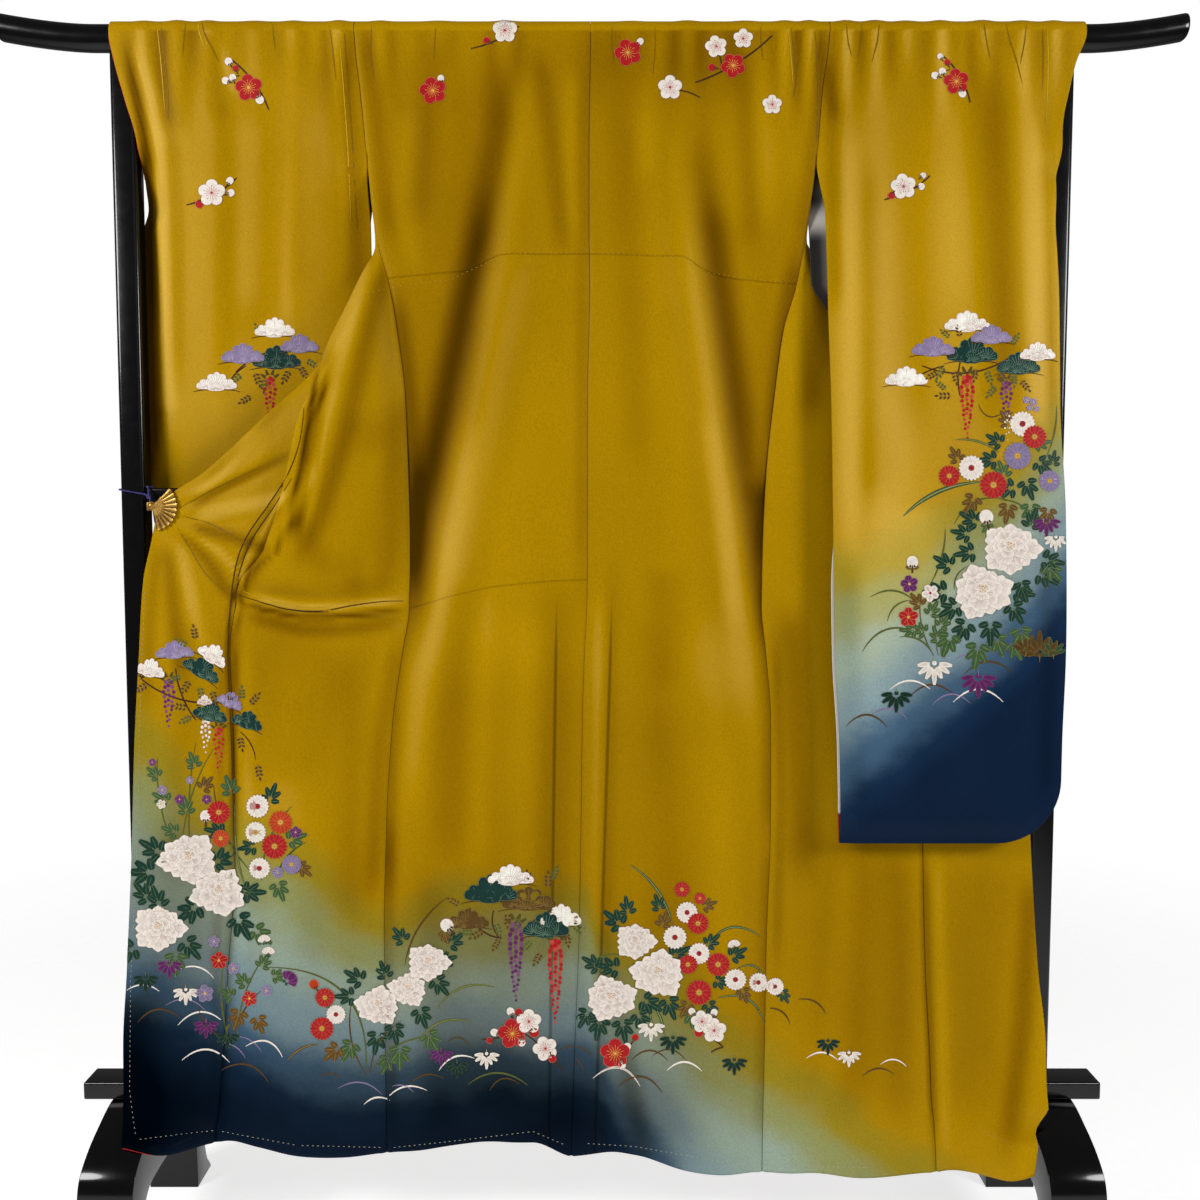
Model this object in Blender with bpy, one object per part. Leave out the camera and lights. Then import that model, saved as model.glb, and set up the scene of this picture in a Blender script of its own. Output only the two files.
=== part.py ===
"""Furisode kimono hung from the back on a lacquered kimono stand.

Metres, +Z up. The floor is z = 0, the stand's middle is x = 0 and y = 0, and the
garment's back faces -Y. Left and right are the wearer's, so left is -X.

The bar goes through both sleeves. The back panels hang before it, the fronts start
behind it, turn about the side seams below the arm openings and are spread outwards
as two wings before the posts. A fan-shaped clip holds the left wing to its post.
"""

import math

import bmesh
import bpy
import numpy as np
from mathutils import Vector

# Cloth. Rooms are between the middles or edges of two walls at a seam.
WALL = 0.002
SEAM_GAP = 0.0003
SEAM_ROOM = 0.0008
SIDE_SEAM_ROOM = 0.0014
TURNED_SEAM_ROOM = 0.0019
CLOTH_CLEARANCE = 0.0004
CLOTH_BY_BAR = -0.0210

# Stand
BAR_HALF_LENGTH = 0.800
BAR_CENTRE = 1.6725
BAR_HALF_HEIGHT = 0.0175
BAR_HALF_DEPTH = 0.0175
BAR_END_RISE = 0.015
BAR_ROUNDNESS = 0.9
BAR_BEND_START = 0.672
POST_X = 0.631
POST_WIDTH = 0.034
POST_DEPTH = 0.030
MIDDLE_RAIL_TOP = 1.068
MIDDLE_RAIL_HEIGHT = 0.028
MIDDLE_RAIL_DEPTH = 0.024
LOW_RAIL_HALF_LENGTH = 0.720
LOW_RAIL_TOP = 0.230
LOW_RAIL_HEIGHT = 0.025
LOW_RAIL_DEPTH = 0.046
FOOT_X = 0.643
FOOT_WIDTH = 0.074
FOOT_GAP = 0.0003

# Garment levels and widths
ARMHOLE_END = 1.515
SIDE_SEAM_TOP = 1.405
OKUMI_TIP = 1.490
OKUMI_TIP_SHARE = 0.965
NECK_HALF_WIDTH = 0.090
SHOULDER_SEAM = 0.3175
COLLAR_WIDTH = 0.066
COLLAR_TOP = 1.676
COLLAR_EASE = 0.0004
HEM_READ = 0.140
SLEEVE_BOTTOM = 0.588
SLEEVE_CORNER = 0.085
CUFF_END = 1.475

# Fan clip and tie
CLIP_PIVOT = (-0.5915, 1.043)
CLIP_RADIUS = 0.0335
CLIP_PLATE = 0.0022
CLIP_RIBS = 9
CLIP_OPEN = (46, -82)
JAW_TOP = 0.0054
JAW_HEIGHT = 0.0124
JAW_REACH = 0.0140
TIE_DIAMETER = 0.0022
TIE_ROOM = 0.0006
TIE_KNOT = (-0.6050, -0.0250, 1.0560)
TIE_KNOT_RADIUS = 0.0034

# Columns and rows of the cloth's faces. Levels run down both layers from the bar, and
# level 0 stands for the hem.
NECK_COLUMNS = 4
PANEL_COLUMNS = 12
OKUMI_COLUMNS = 3
COLLAR_COLUMNS = 3
SLEEVE_FACE_COLUMNS = 9
BAR_ROWS = 8
FRONT_LEVELS = (
    1.655, 1.600, 1.555, 1.515, 1.490, 1.460, 1.432, 1.405, 1.385, 1.365, 1.345,
    1.323, 1.285, 1.240, 1.200, 1.160, 1.125, 1.090, 1.060, 1.030, 0.985, 0.965,
    0.945, 0.925, 0.905, 0.885, 0.850, 0.780, 0.700, 0.600, 0.500, 0.400, 0.320,
    0.250, 0.212, 0.190, 0.0,
)
BACK_LEVELS = (
    1.600, 1.515, 1.460, 1.405, 1.365, 1.345, 1.323, 1.285, 1.240, 1.200, 1.160,
    1.090, 1.030, 0.985, 0.945, 0.905, 0.885, 0.850, 0.780, 0.700, 0.600, 0.500,
    0.400, 0.320, 0.250, 0.190, 0.0,
)
COLLAR_LEVELS = (
    1.052, 1.090, 1.125, 1.160, 1.200, 1.240, 1.285, 1.323, 1.345, 1.365, 1.385,
    1.405, 1.432, 1.460, 1.515, 1.555, 1.600, 1.632,
)
SLEEVE_LEVELS = (
    1.6725, 1.642, 1.612, 1.586, 1.550, 1.515, 1.475, 1.435, 1.390, 1.345, 1.300,
    1.240, 1.180, 1.100, 1.060, 1.020, 0.950, 0.840, 0.740, 0.680, 0.650, 0.625,
    0.605, 0.594, 0.588,
)


class Table:
    """Rows in order of their first column, read smoothly by a column's name."""

    def __init__(self, columns, rows):
        grid = np.array(sorted(rows), float)
        self.keys = grid[:, 0]
        self.values = {name: grid[:, n] for n, name in enumerate(columns)}
        self.slopes = {name: self._slopes(v) for name, v in self.values.items()}

    def _slopes(self, values):
        rise = np.diff(values) / np.diff(self.keys)
        slopes = np.zeros(len(values))
        same_way = rise[:-1] * rise[1:] > 0
        mean = 2 * rise[:-1] * rise[1:] / np.where(same_way, rise[:-1] + rise[1:], 1)
        slopes[1:-1] = np.where(same_way, mean, 0)
        return slopes

    def at(self, column, key):
        keys, values, slopes = self.keys, self.values[column], self.slopes[column]
        key = min(max(key, keys[0]), keys[-1])
        n = int(min(max(np.searchsorted(keys, key) - 1, 0), len(keys) - 2))
        span = keys[n + 1] - keys[n]
        t = (key - keys[n]) / span
        a = (1 + 2 * t) * (1 - t) ** 2 * values[n] + t * (1 - t) ** 2 * span * slopes[n]
        b = t * t * (3 - 2 * t) * values[n + 1] - t * t * (1 - t) * span * slopes[n + 1]
        return float(a + b)


# The back panels' edges and mean depth by height. Sides are the armhole down to
# ARMHOLE_END, the open edge below it and the side seam from SIDE_SEAM_TOP down.
BACK = Table(
    ("height", "centre", "left_side", "right_side", "depth"),
    (
        (1.690, -0.002, -0.3175, 0.3175, -0.0210),
        (1.655, -0.002, -0.3160, 0.3155, -0.0210),
        (1.600, -0.003, -0.3100, 0.3080, -0.0225),
        (1.515, -0.004, -0.3015, 0.3010, -0.0265),
        (1.405, -0.004, -0.2890, 0.2860, -0.0330),
        (1.335, -0.003, -0.2710, 0.2730, -0.0360),
        (1.280, -0.004, -0.2620, 0.2570, -0.0380),
        (1.190, -0.006, -0.2510, 0.2450, -0.0400),
        (1.100, -0.006, -0.2480, 0.2360, -0.0420),
        (0.980, -0.006, -0.2465, 0.2310, -0.0430),
        (0.905, -0.007, -0.2470, 0.2290, -0.0430),
        (0.850, -0.010, -0.2560, 0.2350, -0.0430),
        (0.750, -0.013, -0.2720, 0.2440, -0.0430),
        (0.600, -0.015, -0.2835, 0.2460, -0.0440),
        (0.440, -0.018, -0.2880, 0.2415, -0.0460),
        (0.290, -0.024, -0.2880, 0.2400, -0.0480),
        (0.110, -0.029, -0.2870, 0.2380, -0.0500),
    ),
)

# The hem's height across the whole garment.
HEM = Table(
    ("x", "height"),
    (
        (-0.630, 0.1800), (-0.580, 0.1740), (-0.523, 0.1640), (-0.463, 0.1530),
        (-0.405, 0.1430), (-0.330, 0.1380), (-0.258, 0.1430), (-0.186, 0.1500),
        (-0.118, 0.1600), (-0.083, 0.1630), (-0.029, 0.1380), (0.025, 0.1490),
        (0.060, 0.1410), (0.132, 0.1210), (0.203, 0.1140), (0.314, 0.1110),
        (0.482, 0.1180), (0.560, 0.1290), (0.600, 0.1450),
    ),
)

# Each front from its side seam to its free edge: how it swells, where its hanging
# fold turns over and goes back under, its free edge, and the overlap seam as a
# share of the way. Above SIDE_SEAM_TOP it lies behind the bar.
FRONT_COLUMNS = (
    "height", "swell_x", "swell_y", "fold_x", "fold_y",
    "under_x", "under_y", "edge_x", "edge_y", "overlap",
)
FRONT_KNOTS = (0.0, 0.24, 0.48, 0.72, 1.0)
LEFT_FRONT = Table(
    FRONT_COLUMNS,
    (
        (1.6725, -0.263, 0.0210, -0.206, 0.0210, -0.148, 0.0210, -0.090, 0.0210, 1.00),
        (1.600, -0.270, 0.0290, -0.225, 0.0320, -0.180, 0.0320, -0.138, 0.0290, 1.00),
        (1.515, -0.285, 0.0290, -0.262, 0.0330, -0.233, 0.0310, -0.205, 0.0240, 1.00),
        (1.460, -0.291, 0.0110, -0.282, 0.0175, -0.269, 0.0185, -0.253, 0.0140, 0.86),
        (1.405, -0.291, -0.0220, -0.2900, -0.0120, -0.2888, -0.0020, -0.2875, 0.0085, 0.86),
        (1.365, -0.287, -0.0370, -0.295, -0.0330, -0.302, -0.0230, -0.3090, -0.0110, 0.86),
        (1.323, -0.285, -0.0500, -0.303, -0.0540, -0.319, -0.0400, -0.328, -0.0190, 0.86),
        (1.240, -0.292, -0.0600, -0.340, -0.0680, -0.357, -0.0480, -0.365, -0.0270, 0.84),
        (1.160, -0.312, -0.0640, -0.384, -0.0780, -0.366, -0.0560, -0.445, -0.0370, 0.76),
        (1.090, -0.320, -0.0620, -0.400, -0.0800, -0.374, -0.0570, -0.520, -0.0430, 0.76),
        (1.045, -0.325, -0.0590, -0.412, -0.0770, -0.388, -0.0570, -0.582, -0.0420, 0.78),
        (0.985, -0.335, -0.0570, -0.432, -0.0740, -0.416, -0.0550, -0.598, -0.0430, 0.79),
        (0.945, -0.342, -0.0550, -0.442, -0.0670, -0.466, -0.0530, -0.607, -0.0440, 0.75),
        (0.905, -0.325, -0.0440, -0.404, -0.0450, -0.483, -0.0480, -0.611, -0.0450, 0.72),
        (0.850, -0.335, -0.0480, -0.413, -0.0490, -0.491, -0.0490, -0.615, -0.0450, 0.72),
        (0.720, -0.347, -0.0460, -0.418, -0.0470, -0.489, -0.0480, -0.625, -0.0450, 0.72),
        (0.560, -0.353, -0.0450, -0.422, -0.0460, -0.491, -0.0480, -0.633, -0.0460, 0.72),
        (0.405, -0.360, -0.0450, -0.433, -0.0460, -0.505, -0.0490, -0.643, -0.0470, 0.72),
        (0.290, -0.363, -0.0470, -0.438, -0.0480, -0.513, -0.0500, -0.650, -0.0490, 0.72),
        (0.214, -0.365, -0.0490, -0.443, -0.0500, -0.520, -0.0520, -0.647, -0.0500, 0.72),
        (0.110, -0.366, -0.0510, -0.446, -0.0520, -0.525, -0.0540, -0.602, -0.0520, 0.72),
    ),
)
RIGHT_FRONT = Table(
    FRONT_COLUMNS,
    (
        (1.6725, 0.263, 0.0210, 0.206, 0.0210, 0.148, 0.0210, 0.090, 0.0210, 1.00),
        (1.600, 0.270, 0.0280, 0.225, 0.0310, 0.180, 0.0310, 0.138, 0.0280, 1.00),
        (1.515, 0.285, 0.0170, 0.262, 0.0240, 0.233, 0.0260, 0.205, 0.0230, 1.00),
        (1.460, 0.289, -0.0020, 0.279, 0.0070, 0.266, 0.0110, 0.251, 0.0110, 0.86),
        (1.405, 0.288, -0.0240, 0.2880, -0.0170, 0.2880, -0.0090, 0.290, -0.0020, 0.86),
        (1.365, 0.288, -0.0330, 0.294, -0.0290, 0.301, -0.0210, 0.3095, -0.0130, 0.86),
        (1.323, 0.283, -0.0360, 0.298, -0.0360, 0.314, -0.0290, 0.328, -0.0210, 0.86),
        (1.240, 0.288, -0.0380, 0.313, -0.0370, 0.338, -0.0320, 0.368, -0.0240, 0.80),
        (1.160, 0.295, -0.0390, 0.340, -0.0370, 0.385, -0.0330, 0.440, -0.0260, 0.76),
        (1.045, 0.300, -0.0400, 0.365, -0.0370, 0.430, -0.0340, 0.572, -0.0280, 0.72),
        (0.945, 0.302, -0.0400, 0.374, -0.0370, 0.445, -0.0340, 0.583, -0.0300, 0.72),
        (0.850, 0.308, -0.0400, 0.379, -0.0370, 0.450, -0.0350, 0.590, -0.0310, 0.72),
        (0.720, 0.315, -0.0410, 0.385, -0.0380, 0.454, -0.0360, 0.597, -0.0330, 0.72),
        (0.600, 0.316, -0.0430, 0.386, -0.0410, 0.456, -0.0400, 0.604, -0.0370, 0.72),
        (0.405, 0.315, -0.0460, 0.388, -0.0450, 0.462, -0.0450, 0.618, -0.0430, 0.72),
        (0.290, 0.317, -0.0480, 0.393, -0.0480, 0.469, -0.0480, 0.630, -0.0470, 0.72),
        (0.215, 0.319, -0.0500, 0.396, -0.0500, 0.473, -0.0500, 0.630, -0.0500, 0.72),
        (0.188, 0.320, -0.0500, 0.398, -0.0510, 0.476, -0.0520, 0.603, -0.0520, 0.72),
        (0.110, 0.321, -0.0510, 0.400, -0.0520, 0.480, -0.0540, 0.592, -0.0540, 0.72),
    ),
)

# Soft folds of the back and the wings: the line each follows from top through its
# middle to its foot, half its width, and how far it stands out (minus is a trough).
FOLD_COLUMNS = ("top", "top_x", "mid", "mid_x", "foot", "foot_x", "half", "rise")
FOLDS = (
    (1.62, -0.095, 1.18, -0.190, 0.88, -0.243, 0.026, -0.012),
    (1.58, -0.080, 1.18, -0.150, 0.66, -0.252, 0.030, 0.014),
    (1.62, 0.085, 1.20, 0.158, 0.70, 0.220, 0.028, 0.013),
    (1.58, 0.120, 1.14, 0.195, 0.86, 0.224, 0.024, -0.011),
    (1.20, 0.070, 0.90, 0.095, 0.50, 0.100, 0.045, -0.009),
    (0.95, -0.075, 0.60, -0.080, 0.20, -0.085, 0.040, 0.009),
    (0.95, 0.030, 0.60, 0.030, 0.15, 0.010, 0.035, 0.009),
    (0.75, -0.020, 0.40, -0.024, 0.12, -0.029, 0.030, -0.007),
    (0.80, -0.275, 0.45, -0.286, 0.12, -0.287, 0.030, -0.006),
    (0.85, -0.150, 0.50, -0.170, 0.14, -0.180, 0.050, -0.010),
    (0.80, 0.235, 0.45, 0.240, 0.11, 0.238, 0.030, -0.006),
    (0.85, 0.160, 0.50, 0.165, 0.12, 0.160, 0.045, 0.009),
    (0.60, -0.495, 0.35, -0.510, 0.14, -0.523, 0.030, -0.007),
    (0.80, -0.560, 0.45, -0.570, 0.20, -0.575, 0.035, 0.007),
    (0.80, -0.390, 0.45, -0.400, 0.14, -0.400, 0.045, 0.008),
    (0.80, 0.300, 0.45, 0.310, 0.12, 0.315, 0.030, -0.007),
    (0.58, 0.380, 0.40, 0.385, 0.12, 0.385, 0.045, 0.008),
    (0.50, 0.565, 0.30, 0.550, 0.13, 0.530, 0.030, -0.007),
)

# How far the wings' lower corners are pushed forward where they pass the feet.
FOOT_KICK = Table(
    ("height", "forward"),
    (
        (0.400, 0.0), (0.300, 0.001), (0.240, 0.006), (0.212, 0.014),
        (0.200, 0.022), (0.190, 0.034), (0.180, 0.050), (0.140, 0.056),
    ),
)

# Both sleeves by height: body-side edge, outer edge before and behind, and the
# depths of the layer before the bar and the one behind it.
SLEEVE_COLUMNS = ("height", "inner", "outer", "outer_behind", "before", "behind")
LEFT_SLEEVE = Table(
    SLEEVE_COLUMNS,
    (
        (1.6725, -0.3178, -0.6440, -0.6440, -0.0210, 0.0210),
        (1.642, -0.3150, -0.6390, -0.6390, -0.0208, 0.0212),
        (1.586, -0.3088, -0.6250, -0.6250, -0.0200, 0.0222),
        (1.532, -0.3033, -0.6110, -0.6110, -0.0150, 0.0230),
        (1.500, -0.3015, -0.6065, -0.6065, -0.0090, 0.0235),
        (1.405, -0.3020, -0.6080, -0.6080, 0.0040, 0.0260),
        (1.330, -0.3030, -0.6090, -0.6090, 0.0090, 0.0280),
        (1.200, -0.3040, -0.6100, -0.6100, 0.0130, 0.0310),
        (1.100, -0.3060, -0.6090, -0.6090, 0.0180, 0.0335),
        (1.030, -0.3080, -0.6070, -0.6070, 0.0190, 0.0350),
        (0.800, -0.3120, -0.6050, -0.6050, 0.0200, 0.0360),
        (0.588, -0.3150, -0.6040, -0.6040, 0.0205, 0.0340),
    ),
)
RIGHT_SLEEVE = Table(
    SLEEVE_COLUMNS,
    (
        (1.6725, 0.3178, 0.6590, 0.6580, -0.0210, 0.0210),
        (1.632, 0.3125, 0.6450, 0.6340, -0.0225, 0.0210),
        (1.590, 0.3073, 0.6350, 0.6110, -0.0260, 0.0190),
        (1.550, 0.3043, 0.6260, 0.6090, -0.0300, 0.0130),
        (1.515, 0.3013, 0.6190, 0.6090, -0.0340, 0.0060),
        (1.475, 0.3030, 0.6110, 0.6110, -0.0400, -0.0080),
        (1.435, 0.3080, 0.6125, 0.6125, -0.0470, -0.0230),
        (1.390, 0.3090, 0.6150, 0.6150, -0.0540, -0.0360),
        (1.300, 0.3105, 0.6160, 0.6160, -0.0650, -0.0500),
        (1.180, 0.3150, 0.6180, 0.6180, -0.0710, -0.0550),
        (1.030, 0.3190, 0.6290, 0.6290, -0.0730, -0.0560),
        (0.840, 0.3240, 0.6340, 0.6340, -0.0740, -0.0565),
        (0.720, 0.3320, 0.6320, 0.6320, -0.0740, -0.0570),
        (0.588, 0.3350, 0.6320, 0.6320, -0.0730, -0.0590),
    ),
)

# Sleeve folds: where across the sleeve, as a share from the body side, heights of
# start and end, half width in metres, and rise.
SLEEVE_FOLDS = (
    (0.16, 1.66, 0.90, 0.030, 0.006),
    (0.40, 1.64, 0.75, 0.040, -0.005),
    (0.78, 1.66, 1.05, 0.035, 0.006),
    (0.93, 1.64, 1.30, 0.018, -0.005),
)

# One foot's outline from the middle of its top forward: distance before the stand's
# middle, and height. The same outline faces backwards.
FOOT_TOP = (
    (0.000, 0.2047), (0.030, 0.2030), (0.062, 0.1925), (0.100, 0.1760),
    (0.130, 0.1530), (0.1395, 0.1280), (0.1390, 0.0900), (0.1400, 0.0550),
    (0.1480, 0.0250), (0.1620, 0.0070), (0.1660, 0.0000),
)
FOOT_ARCH = (
    (0.1060, 0.0000), (0.1050, 0.0300), (0.1020, 0.0700), (0.0960, 0.0980),
    (0.0800, 0.1130), (0.0500, 0.1180), (0.0000, 0.1200),
)

PALETTE = {
    "silk_gold": ((0.402, 0.214, 0.012), 0.55, 0.0),
    "silk_side": ((0.430, 0.235, 0.014), 0.55, 0.0),
    "silk_overlap": ((0.362, 0.190, 0.011), 0.55, 0.0),
    "silk_sleeve": ((0.416, 0.222, 0.012), 0.55, 0.0),
    "silk_collar": ((0.380, 0.200, 0.011), 0.55, 0.0),
    "lacquer": ((0.006, 0.006, 0.008), 0.12, 0.0),
    "fan_brass": ((0.380, 0.250, 0.090), 0.35, 1.0),
    "tie_cord": ((0.030, 0.025, 0.160), 0.70, 0.0),
}


def clear_scene():
    for thing in list(bpy.data.objects):
        bpy.data.objects.remove(thing, do_unlink=True)


def material(name):
    found = bpy.data.materials.get(name)
    if found:
        return found
    colour, roughness, metallic = PALETTE[name]
    made = bpy.data.materials.new(name)
    made.use_nodes = True
    shader = made.node_tree.nodes["Principled BSDF"]
    shader.inputs["Base Color"].default_value = (*colour, 1.0)
    shader.inputs["Roughness"].default_value = roughness
    shader.inputs["Metallic"].default_value = metallic
    made.diffuse_color = (*colour, 1.0)
    return made


def add_object(name, bm, slot):
    mesh = bpy.data.meshes.new(name)
    bm.to_mesh(mesh)
    bm.free()
    mesh.materials.append(material(slot))
    piece = bpy.data.objects.new(name, mesh)
    bpy.context.scene.collection.objects.link(piece)
    return piece


def thicken(piece, thickness):
    """Turns a sheet at the middle of a cloth wall into the wall itself."""
    wall = piece.modifiers.new("wall", "SOLIDIFY")
    wall.thickness = thickness
    wall.offset = 0.0
    wall.use_even_offset = True
    wall.use_quality_normals = True
    return piece


def smooth(t):
    t = min(max(t, 0.0), 1.0)
    return t * t * (3 - 2 * t)


def mix(a, b, t):
    return a + (b - a) * t


def bump(t):
    """A soft bell, 1 at the middle and flat at 0 from twice the half width on."""
    return math.cos(min(abs(t), 2.0) * math.pi / 4) ** 2


def folds(x, z):
    """How far the cloth stands forward of its mean depth at x and z."""
    total = 0.0
    for row in FOLDS:
        f = dict(zip(FOLD_COLUMNS, row))
        if not f["foot"] - 0.08 < z < f["top"]:
            continue
        t = (f["top"] - z) / (f["top"] - f["foot"])
        m = (f["top"] - f["mid"]) / (f["top"] - f["foot"])
        bend = (f["mid_x"] - mix(f["top_x"], f["foot_x"], m)) / (m * (1 - m))
        line = mix(f["top_x"], f["foot_x"], t) + bend * t * (1 - t)
        grow = smooth(t / 0.35)
        if f["foot"] > 0.25:
            grow *= smooth((1 - t) / 0.3)
        total += f["rise"] * grow * bump((x - line) / f["half"])
    return total


def kick(x, z):
    return FOOT_KICK.at("forward", z) * smooth((abs(x) - 0.49) / 0.10)


def back_depth(x, z):
    return BACK.at("depth", z) - folds(x, z) - kick(x, z)


def over_bar(turn):
    """Depth and height on the cloth over the bar, turn 0 before it to 1 behind it."""
    angle = math.pi * turn
    c, s = math.cos(angle), math.sin(angle)
    facets = 1 / math.cos(math.pi / (2 * BAR_ROWS))
    reach = (BAR_HALF_HEIGHT + CLOTH_CLEARANCE) * facets + WALL / 2
    y = CLOTH_BY_BAR * math.copysign(abs(c) ** BAR_ROUNDNESS, c)
    return y, BAR_CENTRE + reach * s**BAR_ROUNDNESS


def back_point(side, across, z):
    """On a back panel, across 0 at the centre seam to 1 at the side."""
    sign = -1 if side == "left" else 1
    inner = BACK.at("centre", z) + sign * SEAM_ROOM / 2
    x = mix(inner, BACK.at(side + "_side", z), across)
    return Vector((x, back_depth(x, z), z))


def spline(points, knots, u):
    """A smooth curve through points at the given knots."""
    n = 0
    while n < len(knots) - 2 and u > knots[n + 1]:
        n += 1
    a, b = points[n], points[n + 1]
    span = knots[n + 1] - knots[n]

    def chord(i):
        return (points[i + 1] - points[i]) / (knots[i + 1] - knots[i])

    def slope(i):
        if i == 0:
            return chord(0)
        if i == len(points) - 1:
            return chord(i - 1)
        mean = (points[i + 1] - points[i - 1]) / (knots[i + 1] - knots[i - 1])
        most = 1.6 * min(chord(i).length, chord(i - 1).length)
        return mean * min(1.0, most / max(mean.length, 1e-9))

    t = (u - knots[n]) / span
    return (
        (1 + 2 * t) * (1 - t) ** 2 * a
        + t * (1 - t) ** 2 * span * slope(n)
        + t * t * (3 - 2 * t) * b
        - t * t * (1 - t) * span * slope(n + 1)
    )


def turned_room(z, flat):
    """Room between wall middles at a seam, wider where the front turns about it."""
    return mix(flat, TURNED_SEAM_ROOM, smooth((z - 1.08) / 0.14))


def front_point(side, across, z):
    """On a front, across 0 at the side seam to 1 at the free edge."""
    table = LEFT_FRONT if side == "left" else RIGHT_FRONT
    sign = -1 if side == "left" else 1
    room = turned_room(z, SIDE_SEAM_ROOM) * smooth((ARMHOLE_END - z) / 0.08)
    start = BACK.at(side + "_side", z) + sign * room
    behind = smooth((z - SIDE_SEAM_TOP) / (ARMHOLE_END - SIDE_SEAM_TOP))
    sleeve = LEFT_SLEEVE if side == "left" else RIGHT_SLEEVE
    rear = sleeve.at("behind", z)
    depth = mix(BACK.at("depth", z), rear, behind)
    points = [Vector((start, depth))]
    for name in ("swell", "fold", "under", "edge"):
        points.append(Vector((table.at(name + "_x", z), table.at(name + "_y", z))))
    place = spline(points, FRONT_KNOTS, across)
    low = 1 - smooth((z - 0.80) / 0.15)
    near_seam = 1 - smooth(across / 0.25)
    forward = folds(place.x, z) * max(low, near_seam * (z < SIDE_SEAM_TOP))
    return Vector((place.x, place.y - forward - kick(place.x, z), z))


def front_speed(side, across, z):
    step = 0.01
    a = front_point(side, max(across - step, 0), z)
    b = front_point(side, min(across + step, 1), z)
    return (b - a).length / (min(across + step, 1) - max(across - step, 0))


def overlap_seam(side, z):
    """The overlap panel's seam as a share of the way across a front."""
    table = LEFT_FRONT if side == "left" else RIGHT_FRONT
    if z > OKUMI_TIP:
        return 1.0
    return table.at("overlap", z)


def overlap_room(side, seam, level):
    """Half the room at the overlap seam, as a share of the way across."""
    z = max(level, 0.14)
    return turned_room(z, SEAM_ROOM) / 2 / front_speed(side, seam, z)


def grid(bm, columns, rows, place):
    """A grid whose vertex at column i, row j is moved to place(i, j)."""
    bmesh.ops.create_grid(bm, x_segments=columns, y_segments=rows, size=1.0)
    made = {}
    for v in bm.verts:
        i = round((v.co.x + 1) / 2 * columns)
        j = round((v.co.y + 1) / 2 * rows)
        made[i, j] = v
    for (i, j), v in made.items():
        v.co = place(i, j)
    return made


def sheet_height(level, x):
    """A level's height at x: the lowest levels close on the hem's curve."""
    hem = HEM.at("height", x)
    if level == 0:
        return hem
    near_hem = smooth((0.45 - level) / (0.45 - FRONT_LEVELS[-2]))
    return mix(level, hem + 0.012, 0.85 * near_hem)


def back_sheet_point(side, across, level):
    x = back_point(side, across, max(level, HEM_READ)).x
    return back_point(side, across, sheet_height(level, x))


def front_sheet_point(side, across, level):
    x = front_point(side, across, max(level, HEM_READ)).x
    return front_point(side, across, sheet_height(level, x))


def body_panel(side):
    """One long cut: back hem, up over the bar, down the front to the wing's hem."""
    neck_share = NECK_HALF_WIDTH / SHOULDER_SEAM
    columns = NECK_COLUMNS + PANEL_COLUMNS
    back_levels = BACK_LEVELS[::-1]
    back_rows = len(back_levels)
    over = back_rows + BAR_ROWS
    rows = over + len(FRONT_LEVELS)

    def across_back(i):
        if i <= NECK_COLUMNS:
            return neck_share * i / NECK_COLUMNS
        return mix(neck_share, 1.0, (i - NECK_COLUMNS) / PANEL_COLUMNS)

    def place(i, j):
        if j < back_rows:
            return back_sheet_point(side, across_back(i), back_levels[j])
        if j <= over:
            y, z = over_bar((j - back_rows) / BAR_ROWS)
            return Vector((back_point(side, across_back(i), BAR_CENTRE).x, y, z))
        level = FRONT_LEVELS[j - over - 1]
        share = (columns - max(i, NECK_COLUMNS)) / PANEL_COLUMNS
        seam = overlap_seam(side, max(level, HEM_READ))
        last = seam - (overlap_room(side, seam, level) if seam < 1 else 0)
        return front_sheet_point(side, share * last, level)

    bm = bmesh.new()
    made = grid(bm, columns, rows, place)
    notch = [made[i, j] for i in range(NECK_COLUMNS) for j in range(over + 1, rows + 1)]
    bmesh.ops.delete(bm, geom=notch, context="VERTS")
    bmesh.ops.recalc_face_normals(bm, faces=bm.faces)
    slot = "silk_gold" if side == "left" else "silk_side"
    return thicken(add_object("body_" + side, bm, slot), WALL)


def okumi(side):
    """The overlap panel, from its tip on the collar line down to the hem."""
    levels = [z for z in FRONT_LEVELS if z <= OKUMI_TIP]

    def place(i, j):
        level = levels[j]
        seam = overlap_seam(side, max(level, HEM_READ)) if j else OKUMI_TIP_SHARE
        first = seam + overlap_room(side, seam, level)
        return front_sheet_point(side, mix(first, 1.0, i / OKUMI_COLUMNS), level)

    bm = bmesh.new()
    grid(bm, OKUMI_COLUMNS, len(levels) - 1, place)
    return thicken(add_object("okumi_" + side, bm, "silk_overlap"), WALL)


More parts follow.
